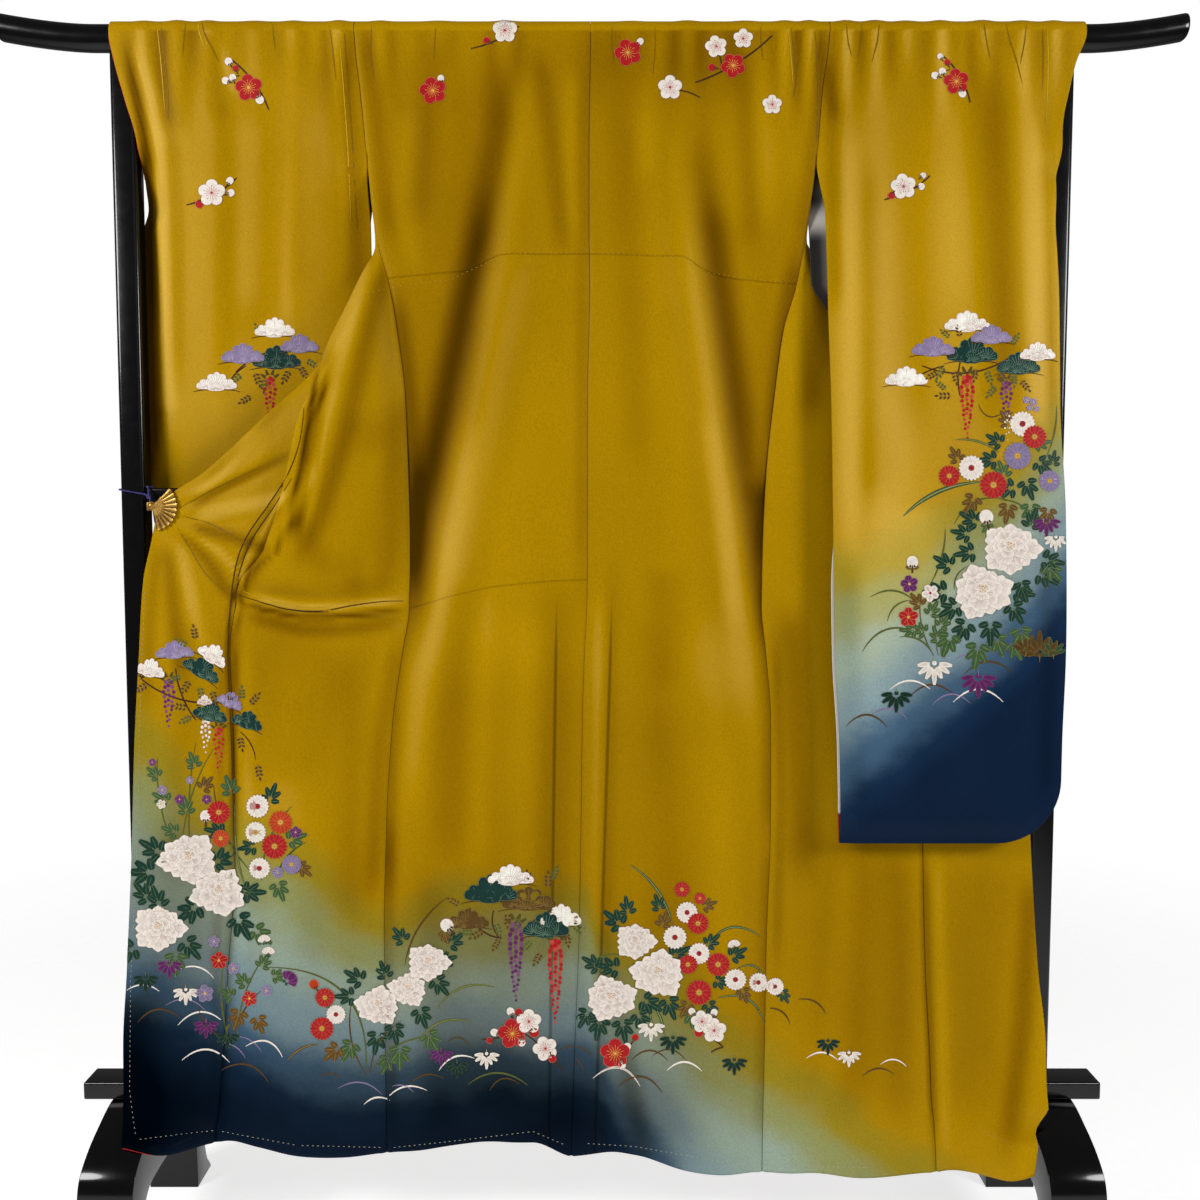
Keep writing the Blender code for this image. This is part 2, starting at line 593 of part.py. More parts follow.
def collar():
    """The collar band, up the left edge, behind the neck and down the right edge."""
    behind = WALL + SEAM_GAP + COLLAR_EASE
    step = 0.02

    def side_points(side):
        sign = -1 if side == "left" else 1
        path = []
        for z in COLLAR_LEVELS:
            edge = front_point(side, 1.0, z)
            above = front_point(side, 1.0, z + step)
            along = Vector((above.x - edge.x, step)).normalized()
            low = edge + COLLAR_WIDTH * Vector((-sign * along.y, 0, sign * along.x))
            lean = 0.006 + 0.004 * smooth((z - 1.10) / 0.3)
            path.append((edge + Vector((0, behind, 0)), low + Vector((0, behind + lean, 0))))
        return path

    neck_depth = -CLOTH_BY_BAR + behind
    neck = []
    for n in range(5):
        x = mix(-NECK_HALF_WIDTH, NECK_HALF_WIDTH, n / 4)
        neck.append((
            Vector((x, neck_depth, COLLAR_TOP)),
            Vector((x * 0.62, neck_depth + 0.010, COLLAR_TOP - COLLAR_WIDTH)),
        ))
    path = side_points("left") + neck + side_points("right")[::-1]

    def place(i, j):
        outer, inner = path[j]
        return outer.lerp(inner, i / COLLAR_COLUMNS)

    bm = bmesh.new()
    grid(bm, COLLAR_COLUMNS, len(path) - 1, place)
    return thicken(add_object("collar", bm, "silk_collar"), WALL)


def sleeve_edge(table, column, z):
    """The sleeve's outer edge with its round lower corner."""
    edge = table.at(column, z)
    rise = SLEEVE_CORNER - (z - SLEEVE_BOTTOM)
    if rise > 0:
        inset = SLEEVE_CORNER - math.sqrt(max(SLEEVE_CORNER**2 - rise**2, 0))
        edge -= math.copysign(inset, edge)
    return edge


def sleeve_inner(side, z):
    """The armhole seam, and below it the sleeve's free inner edge."""
    table = LEFT_SLEEVE if side == "left" else RIGHT_SLEEVE
    sign = -1 if side == "left" else 1
    seam = BACK.at(side + "_side", z) + sign * SEAM_ROOM
    return mix(table.at("inner", z), seam, smooth((z - 1.470) / (ARMHOLE_END - 1.470)))


def sleeve_point(side, across, z, layer):
    """On a sleeve's layer, across 0 at the body side to 1 at the cuff side."""
    table = LEFT_SLEEVE if side == "left" else RIGHT_SLEEVE
    column = "outer" if layer == "before" else "outer_behind"
    outer = sleeve_edge(table, column, z)
    inner = sleeve_inner(side, z)
    x = mix(inner, outer, across)
    before, behind = table.at("before", z), table.at("behind", z)
    at_seam = smooth((z - 1.42) / 0.09) * (1 - smooth(abs(x - inner) / 0.10))
    before = mix(before, BACK.at("depth", z), at_seam)
    ripple = 0.0
    for share, top, foot, half, rise in SLEEVE_FOLDS:
        fade = smooth((top - z) / 0.12) * smooth((z - foot) / 0.25)
        ripple += rise * fade * bump((across - share) * abs(outer - inner) / half)
    away = smooth(abs(x - inner) / 0.03) if z > 1.45 else 1.0
    scale = 0.5 if side == "left" else 1.0
    before -= ripple * away * scale
    behind -= ripple * away * scale * 0.8
    if z < CUFF_END + 0.001:
        closing = 1 - smooth((1 - across) * abs(outer - inner) / 0.035)
        closing = max(closing, 1 - smooth((z - SLEEVE_BOTTOM) / 0.035))
        middle = (before + behind) / 2
        before = mix(before, middle - 0.0028, closing)
        behind = mix(behind, middle + 0.0028, closing)
    return Vector((x, before if layer == "before" else behind, z))


def sleeve(side):
    """A bag over the bar, open at its cuff, its body side and its inner lower edge."""
    columns, bar = SLEEVE_FACE_COLUMNS, BAR_ROWS
    last = len(SLEEVE_LEVELS) - 1
    rows = 2 * last + bar

    def place(i, j):
        across = 1 - (1 - i / columns) ** 1.25
        if j <= last:
            return sleeve_point(side, across, SLEEVE_LEVELS[last - j], "before")
        if j < last + bar:
            y, z = over_bar((j - last) / bar)
            flat = sleeve_point(side, across, BAR_CENTRE, "before")
            return Vector((flat.x, y, z))
        return sleeve_point(side, across, SLEEVE_LEVELS[j - last - bar], "behind")

    bm = bmesh.new()
    made = grid(bm, columns, rows, place)
    for i in range(columns):
        bm.faces.new((made[i, 0], made[i, rows], made[i + 1, rows], made[i + 1, 0]))
    sewn = [j for j in range(last) if SLEEVE_LEVELS[last - j - 1] <= CUFF_END + 0.001]
    for j in sewn:
        bm.faces.new((
            made[columns, j], made[columns, j + 1],
            made[columns, rows - j - 1], made[columns, rows - j],
        ))
    bmesh.ops.recalc_face_normals(bm, faces=bm.faces)
    return thicken(add_object("sleeve_" + side, bm, "silk_sleeve"), WALL)


def box(name, low, high, bevel, slot, segments=2):
    bm = bmesh.new()
    bmesh.ops.create_cube(bm, size=1.0)
    for v in bm.verts:
        v.co = Vector([mix(low[k], high[k], v.co[k] + 0.5) for k in range(3)])
    bmesh.ops.bevel(
        bm, geom=bm.edges[:], offset=bevel, segments=segments, profile=0.5,
        affect="EDGES", material=-1,
    )
    return add_object(name, bm, slot)


def top_bar():
    """A rounded bar whose ends sweep up."""
    sides, bends = 20, 6
    right = [mix(BAR_BEND_START, BAR_HALF_LENGTH, n / bends) for n in range(bends + 1)]
    bm = bmesh.new()
    made = []
    for x in [-x for x in right[::-1]] + right:
        beyond = max(abs(x) - BAR_BEND_START, 0) / (BAR_HALF_LENGTH - BAR_BEND_START)
        lift = BAR_END_RISE * beyond**1.6
        ring = []
        for k in range(sides):
            angle = 2 * math.pi * (k + 0.5) / sides
            c, s = math.cos(angle), math.sin(angle)
            y = BAR_HALF_DEPTH * math.copysign(abs(c) ** BAR_ROUNDNESS, c)
            z = BAR_HALF_HEIGHT * math.copysign(abs(s) ** BAR_ROUNDNESS, s)
            ring.append(bm.verts.new((x, y, BAR_CENTRE + lift + z)))
        made.append(ring)
    for a, b in zip(made, made[1:]):
        for k in range(sides):
            bm.faces.new((a[k], b[k], b[(k + 1) % sides], a[(k + 1) % sides]))
    bm.faces.new(made[0])
    bm.faces.new(made[-1][::-1])
    bmesh.ops.recalc_face_normals(bm, faces=bm.faces)
    return add_object("top_bar", bm, "lacquer")


def posts_and_rails():
    half_w, half_d = POST_WIDTH / 2, POST_DEPTH / 2
    bar_under = BAR_CENTRE - BAR_HALF_HEIGHT
    for side, sign in (("left", -1), ("right", 1)):
        x = sign * POST_X
        box(
            "post_" + side,
            (x - half_w, -half_d, LOW_RAIL_TOP + FOOT_GAP),
            (x + half_w, half_d, bar_under - FOOT_GAP),
            0.006, "lacquer", 3,
        )
    inside = POST_X - half_w - FOOT_GAP
    box(
        "middle_rail",
        (-inside, -MIDDLE_RAIL_DEPTH / 2, MIDDLE_RAIL_TOP - MIDDLE_RAIL_HEIGHT),
        (inside, MIDDLE_RAIL_DEPTH / 2, MIDDLE_RAIL_TOP),
        0.003, "lacquer",
    )
    box(
        "bottom_rail",
        (-LOW_RAIL_HALF_LENGTH, -LOW_RAIL_DEPTH / 2, LOW_RAIL_TOP - LOW_RAIL_HEIGHT),
        (LOW_RAIL_HALF_LENGTH, LOW_RAIL_DEPTH / 2, LOW_RAIL_TOP),
        0.003, "lacquer",
    )


def outline_through(points, steps):
    """A smooth outline through points, with the given steps between each two."""
    vectors = [Vector(p) for p in points]
    knots = [0.0]
    for a, b in zip(vectors, vectors[1:]):
        knots.append(knots[-1] + (b - a).length)
    made = []
    for n in range(len(points) - 1):
        for k in range(steps):
            made.append(spline(vectors, knots, mix(knots[n], knots[n + 1], k / steps)))
    made.append(vectors[-1])
    return made


def foot(side):
    sign = -1 if side == "left" else 1
    top = outline_through(FOOT_TOP, 2)
    arch = outline_through(FOOT_ARCH, 2)
    front = [(-p.x, p.y) for p in top] + [(-p.x, p.y) for p in arch]
    rear = [(-y, z) for y, z in front[::-1]]
    outline = front[:-1] + rear[:-1]
    bm = bmesh.new()
    x = sign * FOOT_X - FOOT_WIDTH / 2
    verts = [bm.verts.new((x, y, z)) for y, z in outline]
    face = bm.faces.new(verts)
    pushed = bmesh.ops.extrude_face_region(bm, geom=[face])
    moved = [v for v in pushed["geom"] if isinstance(v, bmesh.types.BMVert)]
    bmesh.ops.translate(bm, vec=(FOOT_WIDTH, 0, 0), verts=moved)
    bmesh.ops.recalc_face_normals(bm, faces=bm.faces)
    piece = add_object("foot_" + side, bm, "lacquer")
    edge = piece.modifiers.new("edge", "BEVEL")
    edge.width = 0.003
    edge.segments = 1
    edge.limit_method = "ANGLE"
    edge.angle_limit = math.radians(60)
    return piece


def cloth_before(x, z):
    """The left wing's mean depth at x and z near its free edge."""
    low, high = 0.6, 1.0
    for _ in range(24):
        middle = (low + high) / 2
        if front_point("left", middle, z).x > x:
            low = middle
        else:
            high = middle
    return front_point("left", high, z).y


def clip_plane():
    """The depth of the fan's rear face by x: a plane just before the cloth."""
    px, pz = CLIP_PIVOT
    first = px + 0.010
    here = cloth_before(first, pz)
    slope = (cloth_before(px + CLIP_RADIUS, pz) - here) / (px + CLIP_RADIUS - first)
    start, stop = (math.radians(a) for a in CLIP_OPEN)
    proud = 0.0
    for a in (start, start / 2, 0.0, stop / 2, stop * 0.8):
        for r in (0.012, 0.022, CLIP_RADIUS):
            x, z = px + r * math.cos(a), pz + r * math.sin(a)
            proud = max(proud, here + slope * (x - first) - cloth_before(x, z))
    rest = proud + WALL / 2 + SEAM_GAP
    return lambda x: here + slope * (x - first) - rest


def fan_clip():
    """An open fan of ribs and the jaw behind the cloth, joined beside its edge."""
    px, pz = CLIP_PIVOT
    start, stop = (math.radians(a) for a in CLIP_OPEN)
    steps = CLIP_RIBS * 2
    plane = clip_plane()

    def blade_vert(bm, n, radius, out):
        angle = mix(start, stop, n / steps)
        x, z = px + radius * math.cos(angle), pz + radius * math.sin(angle)
        return bm.verts.new((x, plane(x) - out, z))

    bm = bmesh.new()
    rings = []
    for radius in (0.0045, 0.0165, CLIP_RADIUS):
        rim = []
        for n in range(steps + 1):
            raised = CLIP_PLATE + (0.0009 if n % 2 else 0.0)
            rim.append((blade_vert(bm, n, radius, raised), blade_vert(bm, n, radius, 0.0)))
        rings.append(rim)
    for a, b in zip(rings, rings[1:]):
        for n in range(steps):
            for k in (0, 1):
                bm.faces.new((a[n][k], a[n + 1][k], b[n + 1][k], b[n][k]))
        for n in (0, steps):
            bm.faces.new((a[n][0], a[n][1], b[n][1], b[n][0]))
    for rim in (rings[0], rings[-1]):
        for n in range(steps):
            bm.faces.new((rim[n][0], rim[n + 1][0], rim[n + 1][1], rim[n][1]))
    bmesh.ops.recalc_face_normals(bm, faces=bm.faces)
    piece = add_object("fan_clip", bm, "fan_brass")

    front = plane(px)
    back = cloth_before(px + 0.012, pz) + WALL / 2 + SEAM_GAP
    side, nose = px - 0.0085, px + JAW_REACH
    outline = (
        (px - 0.0060, back), (nose, back), (nose, back + 0.0018), (side, back + 0.0018),
        (side, front - 0.0032), (px + 0.0055, front - 0.0032), (px + 0.0055, front),
        (px - 0.0060, front),
    )
    jaw = bmesh.new()
    face = jaw.faces.new([jaw.verts.new((x, y, pz + JAW_TOP - JAW_HEIGHT)) for x, y in outline])
    pushed = bmesh.ops.extrude_face_region(jaw, geom=[face])
    moved = [v for v in pushed["geom"] if isinstance(v, bmesh.types.BMVert)]
    bmesh.ops.translate(jaw, vec=(0, 0, JAW_HEIGHT), verts=moved)
    bmesh.ops.recalc_face_normals(jaw, faces=jaw.faces)
    cutter = add_object("clip_jaw", jaw, "fan_brass")
    cutter.hide_render = True
    cutter.display_type = "WIRE"
    join = piece.modifiers.new("jaw", "BOOLEAN")
    join.operation = "UNION"
    join.object = cutter


def cord(name, route):
    """A round cord along a smooth curve through the route's points."""
    points = outline_through(route, 2)
    curve = bpy.data.curves.new(name, "CURVE")
    curve.dimensions = "3D"
    curve.bevel_depth = TIE_DIAMETER / 2
    curve.bevel_resolution = 2
    curve.use_fill_caps = True
    line = curve.splines.new("POLY")
    line.points.add(len(points) - 1)
    for spot, p in zip(line.points, points):
        spot.co = (*p, 1.0)
    curve.materials.append(material("tie_cord"))
    piece = bpy.data.objects.new(name, curve)
    bpy.context.scene.collection.objects.link(piece)
    return piece


def tie():
    """The cord that holds the clip: round the post, knotted, and on to the clip."""
    knot = Vector(TIE_KNOT)
    out = TIE_DIAMETER / 2 + TIE_ROOM
    left = -POST_X - POST_WIDTH / 2 - out
    right = -POST_X + POST_WIDTH / 2 + out
    near, far = -POST_DEPTH / 2 - out, POST_DEPTH / 2 + out
    over_rail = MIDDLE_RAIL_TOP + out + 0.0004
    clear = TIE_KNOT_RADIUS + SEAM_GAP

    def from_knot(toward):
        return knot + (Vector(toward) - knot).normalized() * clear

    leaves = (-0.6120, -0.0195, 1.0590)
    returns = (right + 0.0050, near - 0.0030, 1.0635)
    corner = 0.0050
    rise = (over_rail - 1.0655) / 3
    route = [
        from_knot(leaves), leaves, (-0.6200, near, 1.0605), (left + corner, near, 1.0650),
        (left + 0.0014, near + 0.0014, 1.0655), (left, near + corner, 1.0655 + rise * 0.5),
        (left, far - corner, 1.0655 + rise), (left + 0.0014, far - 0.0014, 1.0655 + rise * 1.2),
        (left + corner, far, 1.0655 + rise * 1.4), (-POST_X, far, 1.0655 + rise * 2),
        (right - corner, far, over_rail), (right - 0.0014, far - 0.0014, over_rail),
        (right, far - corner, over_rail), (right, 0.0, over_rail),
        (right, near + corner, over_rail), (right + 0.0030, near + 0.0010, 1.0680),
        returns, from_knot(returns),
    ]
    cord("tie_cord", route)

    px, pz = CLIP_PIVOT
    clip_side = Vector((px - 0.0035, clip_plane()(px) - 0.0016, pz + JAW_TOP + SEAM_GAP))
    link = [
        from_knot((-0.6025, -0.0330, 1.0550)), (-0.6015, -0.0350, 1.0545),
        clip_side + Vector((-0.0012, 0.0016, 0.0042)), clip_side + Vector((0, 0, 0.0016)),
        clip_side,
    ]
    cord("tie_link", link)

    bm = bmesh.new()
    bmesh.ops.create_uvsphere(bm, u_segments=12, v_segments=8, radius=TIE_KNOT_RADIUS)
    bmesh.ops.translate(bm, vec=knot, verts=bm.verts)
    add_object("tie_knot", bm, "tie_cord")


def main():
    clear_scene()
    for side in ("left", "right"):
        body_panel(side)
        okumi(side)
        sleeve(side)
        foot(side)
    collar()
    top_bar()
    posts_and_rails()
    fan_clip()
    tie()


main()
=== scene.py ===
"""Furisode kimono hung from the back on a black lacquered stand.

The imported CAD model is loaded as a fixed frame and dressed: fine cloth with its dye
bands, lining, seams and stitches, dyed flowers, lacquer, a brass fan clip and its
cord. Metres, +Z up, the floor at z = 0, the garment's back faces -Y. Left and right
are the wearer's, so left is -X.
"""

import math

import bmesh
import bpy
import numpy as np
from bpy.props import (
    FloatProperty,
    FloatVectorProperty,
    IntProperty,
    PointerProperty,
)
from mathutils import Matrix, Vector
from mathutils.bvhtree import BVHTree


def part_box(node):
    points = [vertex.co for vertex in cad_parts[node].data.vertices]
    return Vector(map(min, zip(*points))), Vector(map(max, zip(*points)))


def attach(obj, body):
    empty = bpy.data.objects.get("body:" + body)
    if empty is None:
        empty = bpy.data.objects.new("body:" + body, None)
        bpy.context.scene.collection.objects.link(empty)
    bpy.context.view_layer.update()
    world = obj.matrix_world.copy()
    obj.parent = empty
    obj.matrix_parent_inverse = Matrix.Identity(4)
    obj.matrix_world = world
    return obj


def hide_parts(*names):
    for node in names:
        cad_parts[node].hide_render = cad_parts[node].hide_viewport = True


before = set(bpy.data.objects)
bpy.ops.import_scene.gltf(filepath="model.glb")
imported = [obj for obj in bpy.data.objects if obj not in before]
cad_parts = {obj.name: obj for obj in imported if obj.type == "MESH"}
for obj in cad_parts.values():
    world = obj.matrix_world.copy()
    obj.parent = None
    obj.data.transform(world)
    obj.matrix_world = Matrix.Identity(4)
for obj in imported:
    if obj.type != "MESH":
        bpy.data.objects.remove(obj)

bl_info = {
    "name": "Furisode Kimono on a Stand",
    "version": (1, 0, 0),
    "blender": (4, 5, 0),
    "location": "View3D > Sidebar > Kimono",
    "description": "Builds the cloth, flowers, stand and stage of a hung furisode",
    "category": "Add Mesh",
}

# The solids' own walls and rooms, as the part's source has them.
WALL = 0.002
CLOTH_CLEARANCE = 0.0004
CLOTH_BY_BAR = -0.0210
SEAM_GAP = 0.0003
COLLAR_EASE = 0.0004
CAD_BAR_ROWS = 8

# Stand
BAR_HALF_LENGTH = 0.800
BAR_CENTRE = 1.6725
BAR_HALF_HEIGHT = 0.0175
BAR_HALF_DEPTH = 0.0175
BAR_END_RISE = 0.015
BAR_ROUNDNESS = 0.9
BAR_BEND_START = 0.672
FOOT_X = 0.643
FOOT_WIDTH = 0.074
BAR_EDGE = 0.004
POST_EDGE = 0.006
RAIL_EDGE = 0.003
FOOT_EDGE = 0.0032
JAW_EDGE = 0.0008

# Garment levels and widths
ARMHOLE_END = 1.515
SIDE_SEAM_TOP = 1.405
OKUMI_TIP = 1.490
OKUMI_TIP_SHARE = 0.965
NECK_HALF_WIDTH = 0.090
SHOULDER_SEAM = 0.3175
COLLAR_WIDTH = 0.066
COLLAR_TOP = 1.676
HEM_READ = 0.140
LOW_LEVEL = 0.190
SLEEVE_BOTTOM = 0.588
SLEEVE_CORNER = 0.085
CUFF_END = 1.475
SLEEVE_WIDTH = 0.31
OKUMI_WIDTH = 0.15
FOOT_ROWS = 5
BORDER_FULL = 0.42
BORDER_FADE = 0.25
UNSEWN = 0.02

# Seams of the fine cloth: room between two edges, where a front turns about its seam,
# and how deep and wide the cloth dips towards a seam.
SEAM_TIGHT = 0.0002
SEAM_TURNED = 0.0004
SEAM_DIP = 0.0014
SEAM_DIP_WIDTH = 0.0045
REAR_DRAWN_IN = 0.0055
CUFF_EASE = 0.0100
SEAM_RIDGE = 0.0007
SEAM_RIDGE_OFF = 0.0060
SEAM_RIDGE_HALF = 0.0030
CREASES_TOP = 1.655

# Where the sleeves leave the solids a little: the right rear layer's edge goes further
# inwards, its lining there darkened by painted shade, the left sleeve's edge goes further out
# behind its post and stands back there, with painted shade along it, and layers that close
# on each other keep half this room to their middle.
REAR_LET_OUT = 0.024
PAST_POST = 0.0032
PAST_POST_LOW = 0.0080
BACK_OF_POST = 0.0085
LAYER_HALF_GAP = 0.0028

# Fan clip and tie
CLIP_PIVOT = (-0.5915, 1.043)
CLIP_FACE = (-0.04369, -0.0734)
CLIP_JAW_BACK = -0.0392
CLIP_RIBS = 10
CORD_PITCH = 0.0040
ROLL_RADIUS = 0.0009
CLIP_RADIUS = 0.0335
CLIP_PLATE = 0.0022
CLIP_HUB = 0.0150
CLIP_BOSS = 0.0044
CLIP_RING = 0.0050
CLIP_OPEN = (46, -82)
JAW_TOP = 0.0054
TIE_DIAMETER = 0.0022
TIE_ROOM = 0.0006
TIE_START = 1.0655
TIE_KNOT = (-0.6050, -0.0250, 1.0560)


# How much steeper than its shorter neighbour a curve may run through a point.
STEEPEST = 1.6


def between(t, span, a, b, slope_a, slope_b):
    """A smooth curve from a to b over a span, t from 0 to 1, with its two slopes."""
    first = (1 + 2 * t) * (1 - t) ** 2 * a + t * (1 - t) ** 2 * span * slope_a
    return first + t * t * (3 - 2 * t) * b - t * t * (1 - t) * span * slope_b


class Table:
    """Rows in order of their first column, read smoothly by a column's name."""

    def __init__(self, columns, rows):
        grid = np.array(sorted(rows), float)
        self.keys = grid[:, 0]
        self.values = {name: grid[:, n] for n, name in enumerate(columns)}
        self.slopes = {name: self._slopes(v) for name, v in self.values.items()}

    def _slopes(self, values):
        rise = np.diff(values) / np.diff(self.keys)
        slopes = np.zeros(len(values))
        same_way = rise[:-1] * rise[1:] > 0
        mean = 2 * rise[:-1] * rise[1:] / np.where(same_way, rise[:-1] + rise[1:], 1)
        slopes[1:-1] = np.where(same_way, mean, 0)
        return slopes

    def at(self, column, key):
        keys, values, slopes = self.keys, self.values[column], self.slopes[column]
        key = np.clip(key, keys[0], keys[-1])
        n = np.clip(np.searchsorted(keys, key) - 1, 0, len(keys) - 2)
        span = keys[n + 1] - keys[n]
        t = (key - keys[n]) / span
        return between(t, span, values[n], values[n + 1], slopes[n], slopes[n + 1])


# The back panels' edges and mean depth by height. Sides are the armhole down to
# ARMHOLE_END, the open edge below it and the side seam from SIDE_SEAM_TOP down.
BACK = Table(
    ("height", "centre", "left_side", "right_side", "depth"),
    (
        (1.690, -0.002, -0.3175, 0.3175, -0.0210),
        (1.655, -0.002, -0.3160, 0.3155, -0.0210),
        (1.600, -0.003, -0.3100, 0.3080, -0.0225),
        (1.515, -0.004, -0.3015, 0.3010, -0.0265),
        (1.405, -0.004, -0.2890, 0.2860, -0.0330),
        (1.335, -0.003, -0.2710, 0.2730, -0.0360),
        (1.280, -0.004, -0.2620, 0.2570, -0.0380),
        (1.190, -0.006, -0.2510, 0.2450, -0.0400),
        (1.100, -0.006, -0.2480, 0.2360, -0.0420),
        (0.980, -0.006, -0.2465, 0.2310, -0.0430),
        (0.905, -0.007, -0.2470, 0.2290, -0.0430),
        (0.850, -0.010, -0.2560, 0.2350, -0.0430),
        (0.750, -0.013, -0.2720, 0.2440, -0.0430),
        (0.600, -0.015, -0.2835, 0.2460, -0.0440),
        (0.440, -0.018, -0.2880, 0.2415, -0.0460),
        (0.290, -0.024, -0.2880, 0.2400, -0.0480),
        (0.110, -0.029, -0.2870, 0.2380, -0.0500),
    ),
)

# The hem's height across the whole garment.
HEM = Table(
    ("x", "height"),
    (
        (-0.630, 0.1800), (-0.580, 0.1740), (-0.523, 0.1640), (-0.463, 0.1530),
        (-0.405, 0.1430), (-0.330, 0.1380), (-0.258, 0.1430), (-0.186, 0.1500),
        (-0.118, 0.1600), (-0.083, 0.1630), (-0.029, 0.1380), (0.025, 0.1490),
        (0.060, 0.1410), (0.132, 0.1210), (0.203, 0.1140), (0.314, 0.1110),
        (0.482, 0.1180), (0.560, 0.1290), (0.600, 0.1450),
    ),
)

# Each front from its side seam to its free edge: how it swells, where its hanging
# fold turns over and goes back under, its free edge, and the overlap seam as a
# share of the way. Above SIDE_SEAM_TOP it lies behind the bar.
FRONT_COLUMNS = (
    "height", "swell_x", "swell_y", "fold_x", "fold_y",
    "under_x", "under_y", "edge_x", "edge_y", "overlap",
)
FRONT_KNOTS = (0.0, 0.24, 0.48, 0.72, 1.0)
LEFT_FRONT = Table(
    FRONT_COLUMNS,
    (
        (1.6725, -0.263, 0.0210, -0.206, 0.0210, -0.148, 0.0210, -0.090, 0.0210, 1.00),
        (1.600, -0.270, 0.0290, -0.225, 0.0320, -0.180, 0.0320, -0.138, 0.0290, 1.00),
        (1.515, -0.285, 0.0290, -0.262, 0.0330, -0.233, 0.0310, -0.205, 0.0240, 1.00),
        (1.460, -0.291, 0.0110, -0.282, 0.0175, -0.269, 0.0185, -0.253, 0.0140, 0.86),
        (1.405, -0.291, -0.0220, -0.2900, -0.0120, -0.2888, -0.0020, -0.2875, 0.0085, 0.86),
        (1.365, -0.287, -0.0370, -0.295, -0.0330, -0.302, -0.0230, -0.3090, -0.0110, 0.86),
        (1.323, -0.285, -0.0500, -0.303, -0.0540, -0.319, -0.0400, -0.328, -0.0190, 0.86),
        (1.240, -0.292, -0.0600, -0.340, -0.0680, -0.357, -0.0480, -0.365, -0.0270, 0.84),
        (1.160, -0.312, -0.0640, -0.384, -0.0780, -0.366, -0.0560, -0.445, -0.0370, 0.76),
        (1.090, -0.320, -0.0620, -0.400, -0.0800, -0.374, -0.0570, -0.520, -0.0430, 0.76),
        (1.045, -0.325, -0.0590, -0.412, -0.0770, -0.388, -0.0570, -0.582, -0.0420, 0.78),
        (0.985, -0.335, -0.0570, -0.432, -0.0740, -0.416, -0.0550, -0.598, -0.0430, 0.79),
        (0.945, -0.342, -0.0550, -0.442, -0.0670, -0.466, -0.0530, -0.607, -0.0440, 0.75),
        (0.905, -0.325, -0.0440, -0.404, -0.0450, -0.483, -0.0480, -0.611, -0.0450, 0.72),
        (0.850, -0.335, -0.0480, -0.413, -0.0490, -0.491, -0.0490, -0.615, -0.0450, 0.72),
        (0.720, -0.347, -0.0460, -0.418, -0.0470, -0.489, -0.0480, -0.625, -0.0450, 0.72),
        (0.560, -0.353, -0.0450, -0.422, -0.0460, -0.491, -0.0480, -0.633, -0.0460, 0.72),
        (0.405, -0.360, -0.0450, -0.433, -0.0460, -0.505, -0.0490, -0.643, -0.0470, 0.72),
        (0.290, -0.363, -0.0470, -0.438, -0.0480, -0.513, -0.0500, -0.650, -0.0490, 0.72),
        (0.214, -0.365, -0.0490, -0.443, -0.0500, -0.520, -0.0520, -0.647, -0.0500, 0.72),
        (0.110, -0.366, -0.0510, -0.446, -0.0520, -0.525, -0.0540, -0.602, -0.0520, 0.72),
    ),
)
RIGHT_FRONT = Table(
    FRONT_COLUMNS,
    (
        (1.6725, 0.263, 0.0210, 0.206, 0.0210, 0.148, 0.0210, 0.090, 0.0210, 1.00),
        (1.600, 0.270, 0.0280, 0.225, 0.0310, 0.180, 0.0310, 0.138, 0.0280, 1.00),
        (1.515, 0.285, 0.0170, 0.262, 0.0240, 0.233, 0.0260, 0.205, 0.0230, 1.00),
        (1.460, 0.289, -0.0020, 0.279, 0.0070, 0.266, 0.0110, 0.251, 0.0110, 0.86),
        (1.405, 0.288, -0.0240, 0.2880, -0.0170, 0.2880, -0.0090, 0.290, -0.0020, 0.86),
        (1.365, 0.288, -0.0330, 0.294, -0.0290, 0.301, -0.0210, 0.3095, -0.0130, 0.86),
        (1.323, 0.283, -0.0360, 0.298, -0.0360, 0.314, -0.0290, 0.328, -0.0210, 0.86),
        (1.240, 0.288, -0.0380, 0.313, -0.0370, 0.338, -0.0320, 0.368, -0.0240, 0.80),
        (1.160, 0.295, -0.0390, 0.340, -0.0370, 0.385, -0.0330, 0.440, -0.0260, 0.76),
        (1.045, 0.300, -0.0400, 0.365, -0.0370, 0.430, -0.0340, 0.572, -0.0280, 0.72),
        (0.945, 0.302, -0.0400, 0.374, -0.0370, 0.445, -0.0340, 0.583, -0.0300, 0.72),
        (0.850, 0.308, -0.0400, 0.379, -0.0370, 0.450, -0.0350, 0.590, -0.0310, 0.72),
        (0.720, 0.315, -0.0410, 0.385, -0.0380, 0.454, -0.0360, 0.597, -0.0330, 0.72),
        (0.600, 0.316, -0.0430, 0.386, -0.0410, 0.456, -0.0400, 0.604, -0.0370, 0.72),
        (0.405, 0.315, -0.0460, 0.388, -0.0450, 0.462, -0.0450, 0.618, -0.0430, 0.72),
        (0.290, 0.317, -0.0480, 0.393, -0.0480, 0.469, -0.0480, 0.630, -0.0470, 0.72),
        (0.215, 0.319, -0.0500, 0.396, -0.0500, 0.473, -0.0500, 0.630, -0.0500, 0.72),
        (0.188, 0.320, -0.0500, 0.398, -0.0510, 0.476, -0.0520, 0.603, -0.0520, 0.72),
        (0.110, 0.321, -0.0510, 0.400, -0.0520, 0.480, -0.0540, 0.592, -0.0540, 0.72),
    ),
)

